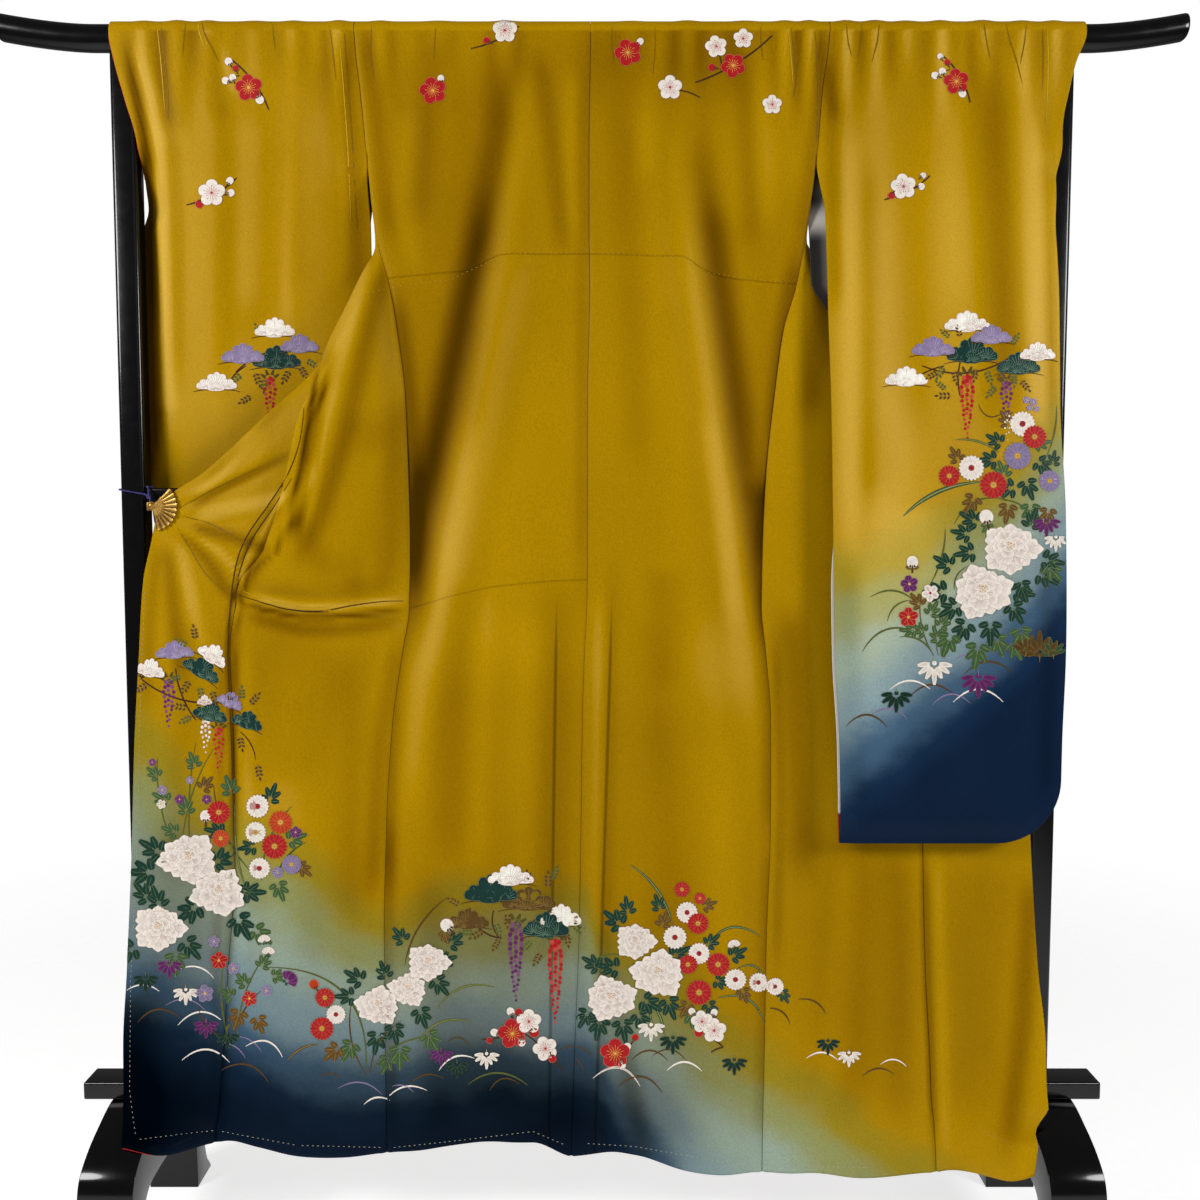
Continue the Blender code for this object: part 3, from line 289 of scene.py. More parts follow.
# Soft folds of the back and the wings: the line each follows from top through its
# middle to its foot, half its width, and how far it stands out (minus is a trough).
FOLDS = (
    (1.62, -0.095, 1.18, -0.190, 0.88, -0.243, 0.026, -0.012),
    (1.58, -0.080, 1.18, -0.150, 0.66, -0.252, 0.030, 0.014),
    (1.62, 0.085, 1.20, 0.158, 0.70, 0.220, 0.028, 0.013),
    (1.58, 0.120, 1.14, 0.195, 0.86, 0.224, 0.024, -0.011),
    (1.20, 0.070, 0.90, 0.095, 0.50, 0.100, 0.045, -0.009),
    (0.95, -0.075, 0.60, -0.080, 0.20, -0.085, 0.040, 0.009),
    (0.95, 0.030, 0.60, 0.030, 0.15, 0.010, 0.035, 0.009),
    (0.75, -0.020, 0.40, -0.024, 0.12, -0.029, 0.030, -0.007),
    (0.80, -0.275, 0.45, -0.286, 0.12, -0.287, 0.030, -0.006),
    (0.85, -0.150, 0.50, -0.170, 0.14, -0.180, 0.050, -0.010),
    (0.80, 0.235, 0.45, 0.240, 0.11, 0.238, 0.030, -0.006),
    (0.85, 0.160, 0.50, 0.165, 0.12, 0.160, 0.045, 0.009),
    (0.60, -0.495, 0.35, -0.510, 0.14, -0.523, 0.030, -0.007),
    (0.80, -0.560, 0.45, -0.570, 0.20, -0.575, 0.035, 0.007),
    (0.80, -0.390, 0.45, -0.400, 0.14, -0.400, 0.045, 0.008),
    (0.80, 0.300, 0.45, 0.310, 0.12, 0.315, 0.030, -0.007),
    (0.58, 0.380, 0.40, 0.385, 0.12, 0.385, 0.045, 0.008),
    (0.50, 0.565, 0.30, 0.550, 0.13, 0.530, 0.030, -0.007),
)

# How far the wings' lower corners are pushed forward where they pass the feet.
FOOT_KICK = Table(
    ("height", "forward"),
    (
        (0.400, 0.0), (0.300, 0.001), (0.240, 0.006), (0.212, 0.014),
        (0.200, 0.022), (0.190, 0.034), (0.180, 0.050), (0.140, 0.056),
    ),
)

# Both sleeves by height: body-side edge, outer edge before and behind, and the
# depths of the layer before the bar and the one behind it.
SLEEVE_COLUMNS = ("height", "inner", "outer", "outer_behind", "before", "behind")
LEFT_SLEEVE = Table(
    SLEEVE_COLUMNS,
    (
        (1.6725, -0.3178, -0.6440, -0.6440, -0.0210, 0.0210),
        (1.642, -0.3150, -0.6390, -0.6390, -0.0208, 0.0212),
        (1.586, -0.3088, -0.6250, -0.6250, -0.0200, 0.0222),
        (1.532, -0.3033, -0.6110, -0.6110, -0.0150, 0.0230),
        (1.500, -0.3015, -0.6065, -0.6065, -0.0090, 0.0235),
        (1.405, -0.3020, -0.6080, -0.6080, 0.0040, 0.0260),
        (1.330, -0.3030, -0.6090, -0.6090, 0.0090, 0.0280),
        (1.200, -0.3040, -0.6100, -0.6100, 0.0130, 0.0310),
        (1.100, -0.3060, -0.6090, -0.6090, 0.0180, 0.0335),
        (1.030, -0.3080, -0.6070, -0.6070, 0.0190, 0.0350),
        (0.800, -0.3120, -0.6050, -0.6050, 0.0200, 0.0360),
        (0.588, -0.3150, -0.6040, -0.6040, 0.0205, 0.0340),
    ),
)
RIGHT_SLEEVE = Table(
    SLEEVE_COLUMNS,
    (
        (1.6725, 0.3178, 0.6590, 0.6580, -0.0210, 0.0210),
        (1.632, 0.3125, 0.6450, 0.6340, -0.0225, 0.0210),
        (1.590, 0.3073, 0.6350, 0.6110, -0.0260, 0.0190),
        (1.550, 0.3043, 0.6260, 0.6090, -0.0300, 0.0130),
        (1.515, 0.3013, 0.6190, 0.6090, -0.0340, 0.0060),
        (1.475, 0.3030, 0.6110, 0.6110, -0.0400, -0.0080),
        (1.435, 0.3080, 0.6125, 0.6125, -0.0470, -0.0230),
        (1.390, 0.3090, 0.6150, 0.6150, -0.0540, -0.0360),
        (1.300, 0.3105, 0.6160, 0.6160, -0.0650, -0.0500),
        (1.180, 0.3150, 0.6180, 0.6180, -0.0710, -0.0550),
        (1.030, 0.3190, 0.6290, 0.6290, -0.0730, -0.0560),
        (0.840, 0.3240, 0.6340, 0.6340, -0.0740, -0.0565),
        (0.720, 0.3320, 0.6320, 0.6320, -0.0740, -0.0570),
        (0.588, 0.3350, 0.6320, 0.6320, -0.0730, -0.0590),
    ),
)

# Sleeve folds: where across the sleeve, as a share from the body side, heights of
# start and end, half width in metres, and rise.
SLEEVE_FOLDS = (
    (0.16, 1.66, 0.90, 0.030, 0.006),
    (0.40, 1.64, 0.75, 0.040, -0.005),
    (0.78, 1.66, 1.05, 0.035, 0.006),
    (0.93, 1.64, 1.30, 0.018, -0.005),
)

# One foot's outline from the middle of its top forward: distance before the stand's
# middle, and height. The same outline faces backwards.
FOOT_TOP = (
    (0.000, 0.2047), (0.030, 0.2030), (0.062, 0.1925), (0.100, 0.1760),
    (0.130, 0.1530), (0.1395, 0.1280), (0.1390, 0.0900), (0.1400, 0.0550),
    (0.1480, 0.0250), (0.1620, 0.0070), (0.1660, 0.0000),
)
FOOT_ARCH = (
    (0.1060, 0.0000), (0.1050, 0.0300), (0.1020, 0.0700), (0.0960, 0.0980),
    (0.0800, 0.1130), (0.0500, 0.1180), (0.0000, 0.1200),
)


# Finer creases that only the fine cloth has: start x and z, end x and z, bow to the
# left of the way down, half width and how far they stand out, all in metres.
BACK_CREASES = (
    (-0.250, 1.655, -0.205, 1.480, 0.004, 0.010, 0.0016),
    (-0.180, 1.655, -0.150, 1.500, 0.003, 0.012, -0.0014),
    (-0.060, 1.650, -0.075, 1.420, 0.006, 0.012, 0.0014),
    (0.060, 1.655, 0.070, 1.450, -0.006, 0.012, 0.0015),
    (0.165, 1.655, 0.140, 1.480, -0.004, 0.012, -0.0014),
    (0.245, 1.655, 0.210, 1.470, -0.003, 0.010, 0.0016),
    (-0.300, 1.500, -0.215, 1.250, 0.010, 0.014, 0.0022),
    (0.296, 1.490, 0.205, 1.230, -0.010, 0.014, 0.0022),
    (-0.275, 1.350, -0.235, 1.000, 0.008, 0.012, -0.0025),
    (0.262, 1.330, 0.222, 0.960, -0.008, 0.011, -0.0028),
    (-0.200, 1.080, -0.245, 0.760, 0.010, 0.012, 0.0022),
    (-0.120, 1.000, -0.160, 0.480, 0.012, 0.020, -0.0026),
    (-0.060, 0.900, -0.095, 0.300, 0.004, 0.018, 0.0022),
    (0.060, 1.020, 0.085, 0.560, -0.010, 0.018, 0.0024),
    (0.120, 0.900, 0.150, 0.300, -0.008, 0.018, -0.0024),
    (0.180, 1.050, 0.216, 0.700, -0.008, 0.012, -0.0022),
    (0.050, 0.620, 0.055, 0.180, 0.004, 0.014, -0.0020),
    (-0.170, 0.560, -0.225, 0.180, 0.008, 0.018, 0.0022),
    (0.200, 0.640, 0.205, 0.160, -0.006, 0.014, 0.0020),
)
WING_CREASES = (
    (-0.330, 0.860, -0.338, 0.320, 0.008, 0.014, 0.0024),
    (-0.450, 0.900, -0.470, 0.300, 0.006, 0.018, -0.0024),
    (-0.540, 0.960, -0.560, 0.500, 0.010, 0.016, 0.0022),
    (-0.380, 0.560, -0.410, 0.180, 0.006, 0.018, 0.0020),
    (-0.600, 0.640, -0.606, 0.260, 0.006, 0.014, -0.0020),
    (0.340, 0.800, 0.350, 0.280, -0.006, 0.018, 0.0024),
    (0.430, 0.700, 0.440, 0.250, -0.006, 0.016, -0.0022),
    (0.505, 0.640, 0.510, 0.220, 0.004, 0.014, 0.0020),
    (0.560, 0.560, 0.545, 0.200, -0.006, 0.012, 0.0022),
)
CLIP_CREASES = (
    (-0.575, 1.045, -0.395, 1.145, 0.010, 0.007, 0.0026),
    (-0.572, 1.040, -0.420, 1.100, 0.008, 0.007, -0.0026),
    (-0.570, 1.036, -0.440, 1.058, 0.006, 0.007, 0.0030),
    (-0.570, 1.030, -0.450, 1.020, 0.003, 0.008, -0.0028),
    (-0.572, 1.024, -0.470, 0.976, -0.003, 0.008, 0.0030),
    (-0.576, 1.020, -0.500, 0.930, -0.006, 0.008, -0.0028),
    (-0.582, 1.016, -0.540, 0.890, -0.006, 0.009, 0.0028),
    (-0.590, 1.014, -0.584, 0.860, -0.004, 0.008, -0.0022),
)
SLEEVE_CREASES = {
    "left": (
        (-0.345, 1.655, -0.360, 1.300, 0.004, 0.012, 0.0018),
        (-0.420, 1.655, -0.440, 1.200, 0.006, 0.016, -0.0018),
        (-0.500, 1.650, -0.520, 1.150, 0.006, 0.018, 0.0018),
        (-0.570, 1.650, -0.565, 1.250, -0.004, 0.012, -0.0016),
    ),
    "right": (
        (0.350, 1.655, 0.345, 1.250, -0.004, 0.014, 0.0020),
        (0.430, 1.650, 0.420, 1.050, -0.010, 0.020, -0.0022),
        (0.510, 1.655, 0.520, 1.100, 0.006, 0.018, 0.0022),
        (0.585, 1.640, 0.590, 1.300, 0.004, 0.010, -0.0018),
        (0.380, 1.150, 0.375, 0.700, 0.006, 0.022, 0.0020),
        (0.560, 1.050, 0.575, 0.680, -0.006, 0.020, 0.0018),
    ),
}

# Where the dye changes across the back and wings: the heights where gold ends and
# where navy begins. Between them it runs through green and a pale blue-grey.
BODY_DYE = Table(
    ("x", "gold_end", "navy_start"),
    (
        (-0.640, 0.760, 0.345), (-0.540, 0.645, 0.315), (-0.400, 0.570, 0.235),
        (-0.285, 0.475, 0.210), (-0.195, 0.505, 0.230), (-0.085, 0.510, 0.238),
        (-0.012, 0.510, 0.248), (0.012, 0.450, 0.232), (0.040, 0.440, 0.180),
        (0.085, 0.420, 0.125), (0.120, 0.395, 0.070), (0.150, 0.365, 0.010),
        (0.235, 0.285, -0.040), (0.355, 0.205, -0.090), (0.440, 0.140, -0.120),
        (0.640, 0.090, -0.160),
    ),
)
SLEEVE_DYE = Table(
    ("x", "gold_end", "navy_start"),
    (
        (-0.640, -1.00, -1.50), (-0.300, -1.00, -1.50), (0.300, 0.985, 0.640),
        (0.330, 0.975, 0.655), (0.400, 1.000, 0.710), (0.470, 1.035, 0.760),
        (0.540, 1.080, 0.820), (0.600, 1.150, 0.890), (0.640, 1.200, 0.930),
    ),
)

# The sewn lines across the back: the yoke's and the tuck's, then where each half's
# pressed line stands at its top and foot.
YOKE_LINE = Table(
    ("x", "z"),
    (
        (-0.330, 1.328), (-0.277, 1.345), (-0.170, 1.358), (-0.120, 1.377),
        (-0.004, 1.379), (0.118, 1.374), (0.152, 1.357), (0.202, 1.345),
        (0.270, 1.339), (0.311, 1.338),
    ),
)
TUCK_LINE = Table(
    ("x", "z"),
    (
        (-0.480, 0.917), (-0.424, 0.904), (-0.321, 0.897), (-0.247, 0.905),
        (-0.191, 0.921), (-0.122, 0.935), (-0.008, 0.943), (0.100, 0.935),
        (0.311, 0.925),
    ),
)
PRESSED_LINES = {"left": (-0.047, -0.060), "right": (0.0285, 0.0050)}

# Small gathers where the cloth goes over the bar: x, half width, how far each stands
# out, and how far down it runs.
PUCKERS = (
    (-0.600, 0.009, 0.0016, 0.10), (-0.555, 0.010, 0.0026, 0.16), (-0.514, 0.009, 0.0022, 0.10),
    (-0.452, 0.012, 0.0014, 0.12), (-0.400, 0.010, 0.0018, 0.09), (-0.339, 0.009, 0.0026, 0.14),
    (-0.283, 0.010, 0.0018, 0.10), (-0.205, 0.014, 0.0014, 0.08), (-0.116, 0.012, 0.0018, 0.10),
    (0.052, 0.012, 0.0012, 0.07), (0.128, 0.011, 0.0020, 0.12), (0.205, 0.012, 0.0016, 0.10),
    (0.258, 0.009, 0.0022, 0.14), (0.290, 0.008, 0.0026, 0.18), (0.340, 0.009, 0.0026, 0.16),
    (0.379, 0.010, 0.0028, 0.12), (0.420, 0.010, 0.0018, 0.10), (0.466, 0.010, 0.0026, 0.15),
    (0.523, 0.011, 0.0028, 0.12), (0.575, 0.010, 0.0020, 0.14), (0.618, 0.009, 0.0022, 0.10),
)

# Painted shade of the gathers: how dark a gather's two sides are for each metre it stands out, and
# how much less its ridge is, down to painted highlight; then the darkest painted shade and the
# lightest painted highlight the cloth may get.
GATHER_SHADE = 120.0
GATHER_LIT = 1.3
DARKEST_FOLD = 0.98
LIGHTEST_RIDGE = -0.36

# The tuck's fold on the left wing: a ridge and the trough below it.
TUCK_CREASES = (
    (-0.505, 0.926, -0.165, 0.908, 0.014, 0.0085, 0.0050),
    (-0.505, 0.912, -0.165, 0.894, 0.014, 0.0075, -0.0052),
    (-0.420, 0.946, -0.190, 0.930, 0.004, 0.0090, -0.0020),
)

# How the photo was taken: its width, middle and focal length in pixels, the film's width
# in millimetres, the camera's tilt, and where its eye is.
VIEW_WIDTH = 1200
FILM_WIDTH = 36.0
VIEW_MIDDLE = (592, 600)
VIEW_FOCUS = 1150
VIEW_PITCH = math.radians(3.83)
EYE_DISTANCE = 1.60
EYE_HEIGHT = 1.02

# Where the soft light doesn't reach into the folds, as lines on the photo: the points
# each runs through, half its width, and how dark (less than 0 on a lit ridge).
BACK_SHADES = (
    (((504, 26), (499, 130), (486, 200), (473, 270), (459, 340), (441, 430), (421, 520),
      (410, 660)), 14, 0.36),
    (((488, 170), (480, 240), (464, 310), (444, 410), (423, 510), (410, 680)), 14, 0.34),
    (((484, 30), (476, 130), (456, 260), (434, 390), (412, 560)), 34, 0.22),
    (((300, 64), (590, 60), (900, 64)), 62, 0.17),
    (((340, 200), (590, 170), (850, 200)), 60, 0.08),
    (((402, 20), (400, 300), (392, 660)), 26, 0.15),
    (((786, 150), (782, 400), (774, 720)), 24, 0.17),
    (((470, 20), (600, 90), (790, 20)), 60, 0.08), (((600, 100), (600, 700)), 120, 0.10),
    (((522, 60), (516, 150), (498, 250), (480, 340)), 10, -0.16),
    (((470, 400), (455, 510), (440, 590), (420, 680), (408, 840)), 12, -0.20),
    (((540, 200), (508, 330), (480, 460), (452, 590), (416, 760)), 14, -0.12),
    (((690, 90), (700, 170), (714, 250), (724, 320), (738, 420), (752, 520), (768, 660)), 14, 0.36),
    (((708, 180), (714, 250), (722, 300), (736, 400), (754, 520)), 14, 0.28),
    (((758, 470), (770, 560), (780, 660)), 16, 0.36),
    (((738, 200), (752, 330), (764, 460)), 22, 0.14),
    (((684, 60), (686, 160), (698, 280), (712, 380), (724, 480), (740, 620), (752, 780)),
     12, -0.20),
    (((704, 400), (722, 510), (738, 640)), 9, -0.10),
    (((404, 590), (392, 700), (387, 820), (386, 920)), 9, 0.34),
    (((390, 800), (386, 960), (392, 1150)), 7, 0.26),
    (((764, 560), (771, 700), (770, 860)), 9, 0.38),
    (((768, 820), (766, 980), (758, 1170)), 7, 0.26),
    (((394, 270), (408, 400), (414, 510), (412, 620)), 9, 0.36),
    (((802, 230), (786, 330), (776, 430), (764, 590)), 10, 0.46),
    (((366, 20), (374, 100), (390, 260)), 8, 0.24),
    (((824, 20), (815, 130), (802, 270)), 9, 0.30),
    (((584, 30), (582, 300), (581, 640)), 6, 0.18),
    (((613, 540), (610, 700), (606, 900), (597, 1160)), 7, 0.18),
    (((600, 560), (597, 800), (590, 1040)), 6, -0.16),
    (((462, 560), (452, 700), (446, 880)), 17, 0.16),
    (((486, 560), (480, 720), (476, 900)), 12, -0.10),
    (((560, 560), (554, 740), (549, 980)), 17, 0.17),
    (((530, 600), (524, 760), (520, 940)), 16, -0.10),
    (((650, 600), (664, 780), (674, 1000)), 18, 0.14),
    (((706, 580), (722, 800), (730, 1020)), 16, -0.10),
    (((538, 40), (552, 150), (566, 270)), 9, 0.22),
    (((572, 60), (570, 160), (574, 260)), 7, -0.14),
    (((618, 80), (630, 260), (640, 500)), 13, 0.14),
    (((440, 20), (428, 120), (416, 240)), 12, 0.18),
    (((406, 100), (408, 190), (412, 290)), 9, -0.14),
    (((758, 30), (764, 120), (772, 240)), 9, -0.14),
    (((742, 30), (746, 130), (752, 260)), 9, 0.18),
    (((610, 960), (630, 1080), (650, 1180)), 9, 0.26),
    (((430, 860), (434, 980), (440, 1150)), 14, 0.16),
    (((660, 20), (650, 90), (646, 190)), 10, -0.14),
    (((560, 24), (620, 62), (700, 60), (780, 30)), 40, 0.16),
    (((480, 620), (500, 1180)), 80, 0.22),
    (((680, 660), (690, 1180)), 70, 0.14), (((664, 560), (668, 700)), 16, 0.14),
    (((20, 1112), (350, 1116), (760, 1130)), 56, 0.46),
    (((100, 930), (500, 960), (900, 960)), 90, 0.13),
    (((440, 1030), (540, 1090), (600, 1110)), 40, 0.16),
)
WING_SHADES = (
    (((20, 1112), (350, 1116), (760, 1130)), 56, 0.46),
    (((174, 800), (172, 900), (170, 1180)), 40, 0.34),
    (((100, 930), (500, 960), (900, 960)), 90, 0.13),
    (((376, 400), (352, 520), (334, 600)), 24, 0.20),
    (((286, 520), (330, 570), (372, 592)), 20, 0.14), (((280, 600), (290, 800)), 34, 0.12),
    (((182, 700), (360, 700)), 60, 0.08), (((800, 1000), (1060, 1000)), 120, 0.10),
    (((390, 230), (368, 330), (346, 430), (318, 520), (286, 590)), 10, 0.42),
    (((372, 250), (344, 340), (318, 400)), 11, -0.22),
    (((334, 340), (316, 410), (306, 480)), 8, 0.26),
    (((327, 366), (314, 410), (304, 466), (295, 520), (272, 560)), 5, 0.46),
    (((338, 372), (325, 420), (314, 470), (304, 530)), 6, -0.22),
    (((400, 380), (396, 480), (384, 610)), 12, 0.28),
    (((372, 440), (352, 520), (330, 610)), 13, -0.14),
    (((236, 602), (264, 609), (300, 617), (330, 617), (370, 613), (416, 608)), 2.4, 0.60),
    (((236, 612), (300, 629), (340, 630), (416, 620)), 7, 0.34),
    (((246, 596), (300, 607), (340, 606), (412, 598)), 4, -0.34),
    (((262, 588), (320, 594), (400, 584)), 9, 0.16),
    (((266, 552), (250, 580), (234, 606)), 6, 0.42),
    (((320, 358), (309, 415), (299, 469), (290, 522), (276, 553), (246, 578)), 2.2, 0.58),
    (((330, 362), (319, 415), (309, 469), (299, 522), (284, 558)), 2.2, 0.40),
    (((325, 360), (314, 415), (304, 469), (294, 522), (280, 556)), 2.6, -0.26),
    (((298, 462), (266, 515), (241, 560), (230, 610), (228, 655), (233, 744), (234, 870)),
     2.2, 0.46),
    (((306, 468), (275, 518), (250, 566), (239, 612), (237, 655), (242, 744), (243, 870)),
     2.2, 0.34),
    (((302, 466), (270, 517), (245, 563), (235, 612), (233, 655), (238, 744), (238, 870)),
     2.4, -0.24),
    (((186, 510), (230, 485), (300, 450)), 5, 0.44),
    (((188, 519), (240, 506), (300, 494)), 6, -0.26),
    (((186, 526), (230, 536), (276, 552)), 6, 0.48),
    (((182, 530), (212, 566), (236, 606)), 7, 0.44),
    (((184, 528), (220, 552), (250, 584)), 5, -0.24),
    (((174, 534), (190, 590), (204, 660)), 7, -0.26),
    (((168, 536), (173, 600), (182, 690)), 7, 0.36),
    (((192, 500), (225, 470), (262, 424)), 6, -0.24),
    (((157, 536), (150, 620), (146, 720)), 6, 0.24),
    (((200, 486), (240, 450), (292, 396)), 6, 0.22),
    (((226, 590), (222, 740), (214, 1140)), 6, 0.24),
    (((246, 610), (246, 800), (238, 1020)), 6, -0.16),
    (((238, 600), (234, 744), (232, 900), (222, 1140)), 4, 0.30),
    (((348, 630), (352, 760), (350, 940)), 19, 0.22),
    (((290, 630), (280, 800), (276, 1000)), 18, -0.10),
    (((402, 620), (382, 740), (372, 920)), 9, 0.30),
    (((190, 600), (180, 760), (174, 900)), 12, 0.16),
    (((788, 590), (796, 720), (802, 900)), 14, 0.36),
    (((774, 620), (780, 800), (776, 1000)), 5, 0.24),
    (((860, 800), (848, 960), (842, 1140)), 40, 0.26),
    (((846, 840), (838, 980), (830, 1120)), 12, -0.16),
    (((898, 830), (902, 980), (900, 1150)), 14, 0.20),
    (((924, 830), (929, 1000), (935, 1175)), 4, 0.34),
    (((938, 840), (942, 1000), (946, 1170)), 5, -0.18),
    (((982, 840), (978, 980), (974, 1150)), 40, 0.16),
    (((1032, 860), (1024, 1020), (1004, 1180)), 10, 0.36),
    (((832, 190), (820, 300), (808, 440)), 12, 0.44),
    (((170, 620), (400, 640)), 60, 0.08), (((126, 980), (128, 1080), (134, 1180)), 26, 0.60),
)
SLEEVE_SHADES = {
    "left": (
        (((120, 20), (138, 100), (149, 160), (152, 260), (156, 360), (160, 500)), 5.5, 0.95),
        (((142, 130), (146, 200), (147, 300), (149, 400), (152, 540)), 6, 0.98),
        (((132, 20), (156, 130), (163, 300), (170, 500)), 8, -0.36),
        (((200, 20), (190, 500)), 60, -0.10),
        (((166, 10), (170, 140)), 12, 0.26), (((250, 100), (246, 330)), 12, -0.14),
        (((292, 20), (300, 160), (304, 330)), 14, 0.14),
        (((222, 60), (226, 200), (222, 420)), 9, 0.12),
        (((152, 30), (170, 110), (177, 220), (176, 420)), 7, 0.18),
        (((200, 20), (208, 60), (224, 130)), 9, 0.20),
        (((210, 20), (220, 50), (238, 100)), 5, -0.18),
        (((340, 20), (352, 140), (362, 330)), 11, 0.38),
        (((322, 30), (328, 140), (330, 330)), 13, 0.18),
        (((292, 40), (290, 180), (286, 360)), 6, -0.12),
        (((336, 30), (341, 140), (348, 280)), 4, -0.14),
        (((256, 80), (250, 200), (244, 360)), 22, 0.10),
        (((164, 400), (168, 450), (170, 500)), 10, 0.26),
    ),
    "right": (
        (((828, 30), (834, 160), (836, 330)), 7, 0.30),
        (((846, 100), (850, 300), (850, 560)), 10, -0.26),
        (((940, 120), (940, 860)), 130, -0.10), (((1040, 100), (1046, 470)), 12, -0.22),
        (((1002, 60), (1008, 200), (1012, 420)), 15, 0.26),
        (((884, 40), (890, 250), (888, 460)), 22, -0.12),
        (((872, 470), (868, 620), (866, 790)), 20, -0.24), (((920, 500), (924, 620)), 22, -0.16),
        (((868, 140), (868, 340), (866, 600)), 9, 0.14),
        (((900, 30), (908, 200), (912, 460)), 16, 0.18),
        (((942, 20), (950, 150), (958, 330)), 14, -0.10),
        (((980, 20), (990, 200), (1002, 460)), 15, 0.28),
        (((1016, 20), (1026, 200), (1038, 460)), 10, -0.18),
        (((1044, 80), (1050, 240), (1052, 460)), 6, 0.24),
        (((1055, 180), (1058, 300), (1060, 460)), 4, -0.16),
        (((898, 360), (898, 600), (900, 840)), 16, -0.12),
        (((850, 540), (854, 680), (858, 840)), 10, 0.20),
        (((960, 540), (962, 700), (968, 840)), 22, -0.12),
        (((1046, 540), (1048, 680), (1044, 820)), 9, 0.26),
        (((812, 20), (824, 70), (838, 130)), 7, 0.24),
    ),
}


def paint(red, green, blue):
    """A colour mixed on a 0 to 255 scale, as linear red, green, blue and alpha."""
    made = []
    for value in (red, green, blue):
        c = value / 255
        made.append(c / 12.92 if c <= 0.04045 else ((c + 0.055) / 1.055) ** 2.4)
    return (*made, 1.0)


def smooth(t):
    t = np.clip(t, 0.0, 1.0)
    return t * t * (3 - 2 * t)


def mix(a, b, t):
    return a + (b - a) * t


def bump(t):
    """A soft bell, 1 at the middle and flat at 0 from twice the half width on."""
    return np.cos(np.minimum(np.abs(t), 2.0) * math.pi / 4) ** 2


def folds(x, z):
    """How far the cloth stands forward of its mean depth at x and z."""
    total = np.zeros(np.broadcast(x, z).shape)
    for top, top_x, mid, mid_x, foot, foot_x, half, rise in FOLDS:
        t = (top - z) / (top - foot)
        m = (top - mid) / (top - foot)
        bend = (mid_x - mix(top_x, foot_x, m)) / (m * (1 - m))
        line = mix(top_x, foot_x, t) + bend * t * (1 - t)
        grow = smooth(t / 0.35)
        if foot > 0.25:
            grow = grow * smooth((1 - t) / 0.3)
        here = (z < top) & (z > foot - 0.08)
        total = total + np.where(here, rise * grow * bump((x - line) / half), 0.0)
    return total


def creases(rows, x, z):
    """How far the named creases lift the cloth at x and z."""
    total = np.zeros(np.broadcast(x, z).shape)
    for x0, z0, x1, z1, bow, half, rise in rows:
        length = math.hypot(x1 - x0, z1 - z0)
        ax, az = (x1 - x0) / length, (z1 - z0) / length
        t = ((x - x0) * ax + (z - z0) * az) / length
        off = (x - x0) * az - (z - z0) * ax - bow * 4 * t * (1 - t)
        fade = smooth(t / 0.25) * smooth((1 - t) / 0.35)
        total = total + rise * fade * bump(off / (half * (0.6 + 0.6 * np.clip(t, 0, 1))))
    return total


def puckers(x, drop):
    """How far the gathers stand out, at x and this far below the bar's middle."""
    total = np.zeros(np.broadcast(x, drop).shape)
    for at, half, rise, run in PUCKERS:
        total = total + rise * bump((x - at) / half) * (1 - smooth(drop / run))
    return total


def kick(x, z):
    return FOOT_KICK.at("forward", z) * smooth((np.abs(x) - 0.49) / 0.10)


def back_depth(x, z):
    return BACK.at("depth", z) - folds(x, z) - kick(x, z)


def over_bar(turn, lift=0.0):
    """Depth and height on the cloth over the bar, turn 0 before it to 1 behind it."""
    angle = math.pi * turn
    c, s = np.cos(angle), np.clip(np.sin(angle), 0, 1)
    facets = 1 / math.cos(math.pi / (2 * CAD_BAR_ROWS))
    reach = (BAR_HALF_HEIGHT + CLOTH_CLEARANCE) * facets + WALL / 2
    y = (CLOTH_BY_BAR - lift) * np.copysign(np.abs(c) ** BAR_ROUNDNESS, c)
    return y, BAR_CENTRE + (reach + lift) * s**BAR_ROUNDNESS


def back_place(side, across, z):
    """x and y on a back panel, across 0 at the centre seam to 1 at the side."""
    sign = -1 if side == "left" else 1
    inner = BACK.at("centre", z) + sign * SEAM_TIGHT / 2
    x = mix(inner, BACK.at(side + "_side", z), across)
    return x, back_depth(x, z)


def turned_room(z, flat, turned):
    """Room between wall middles at a seam, wider where the front turns about it."""
    return mix(flat, turned, smooth((z - 1.08) / 0.14))


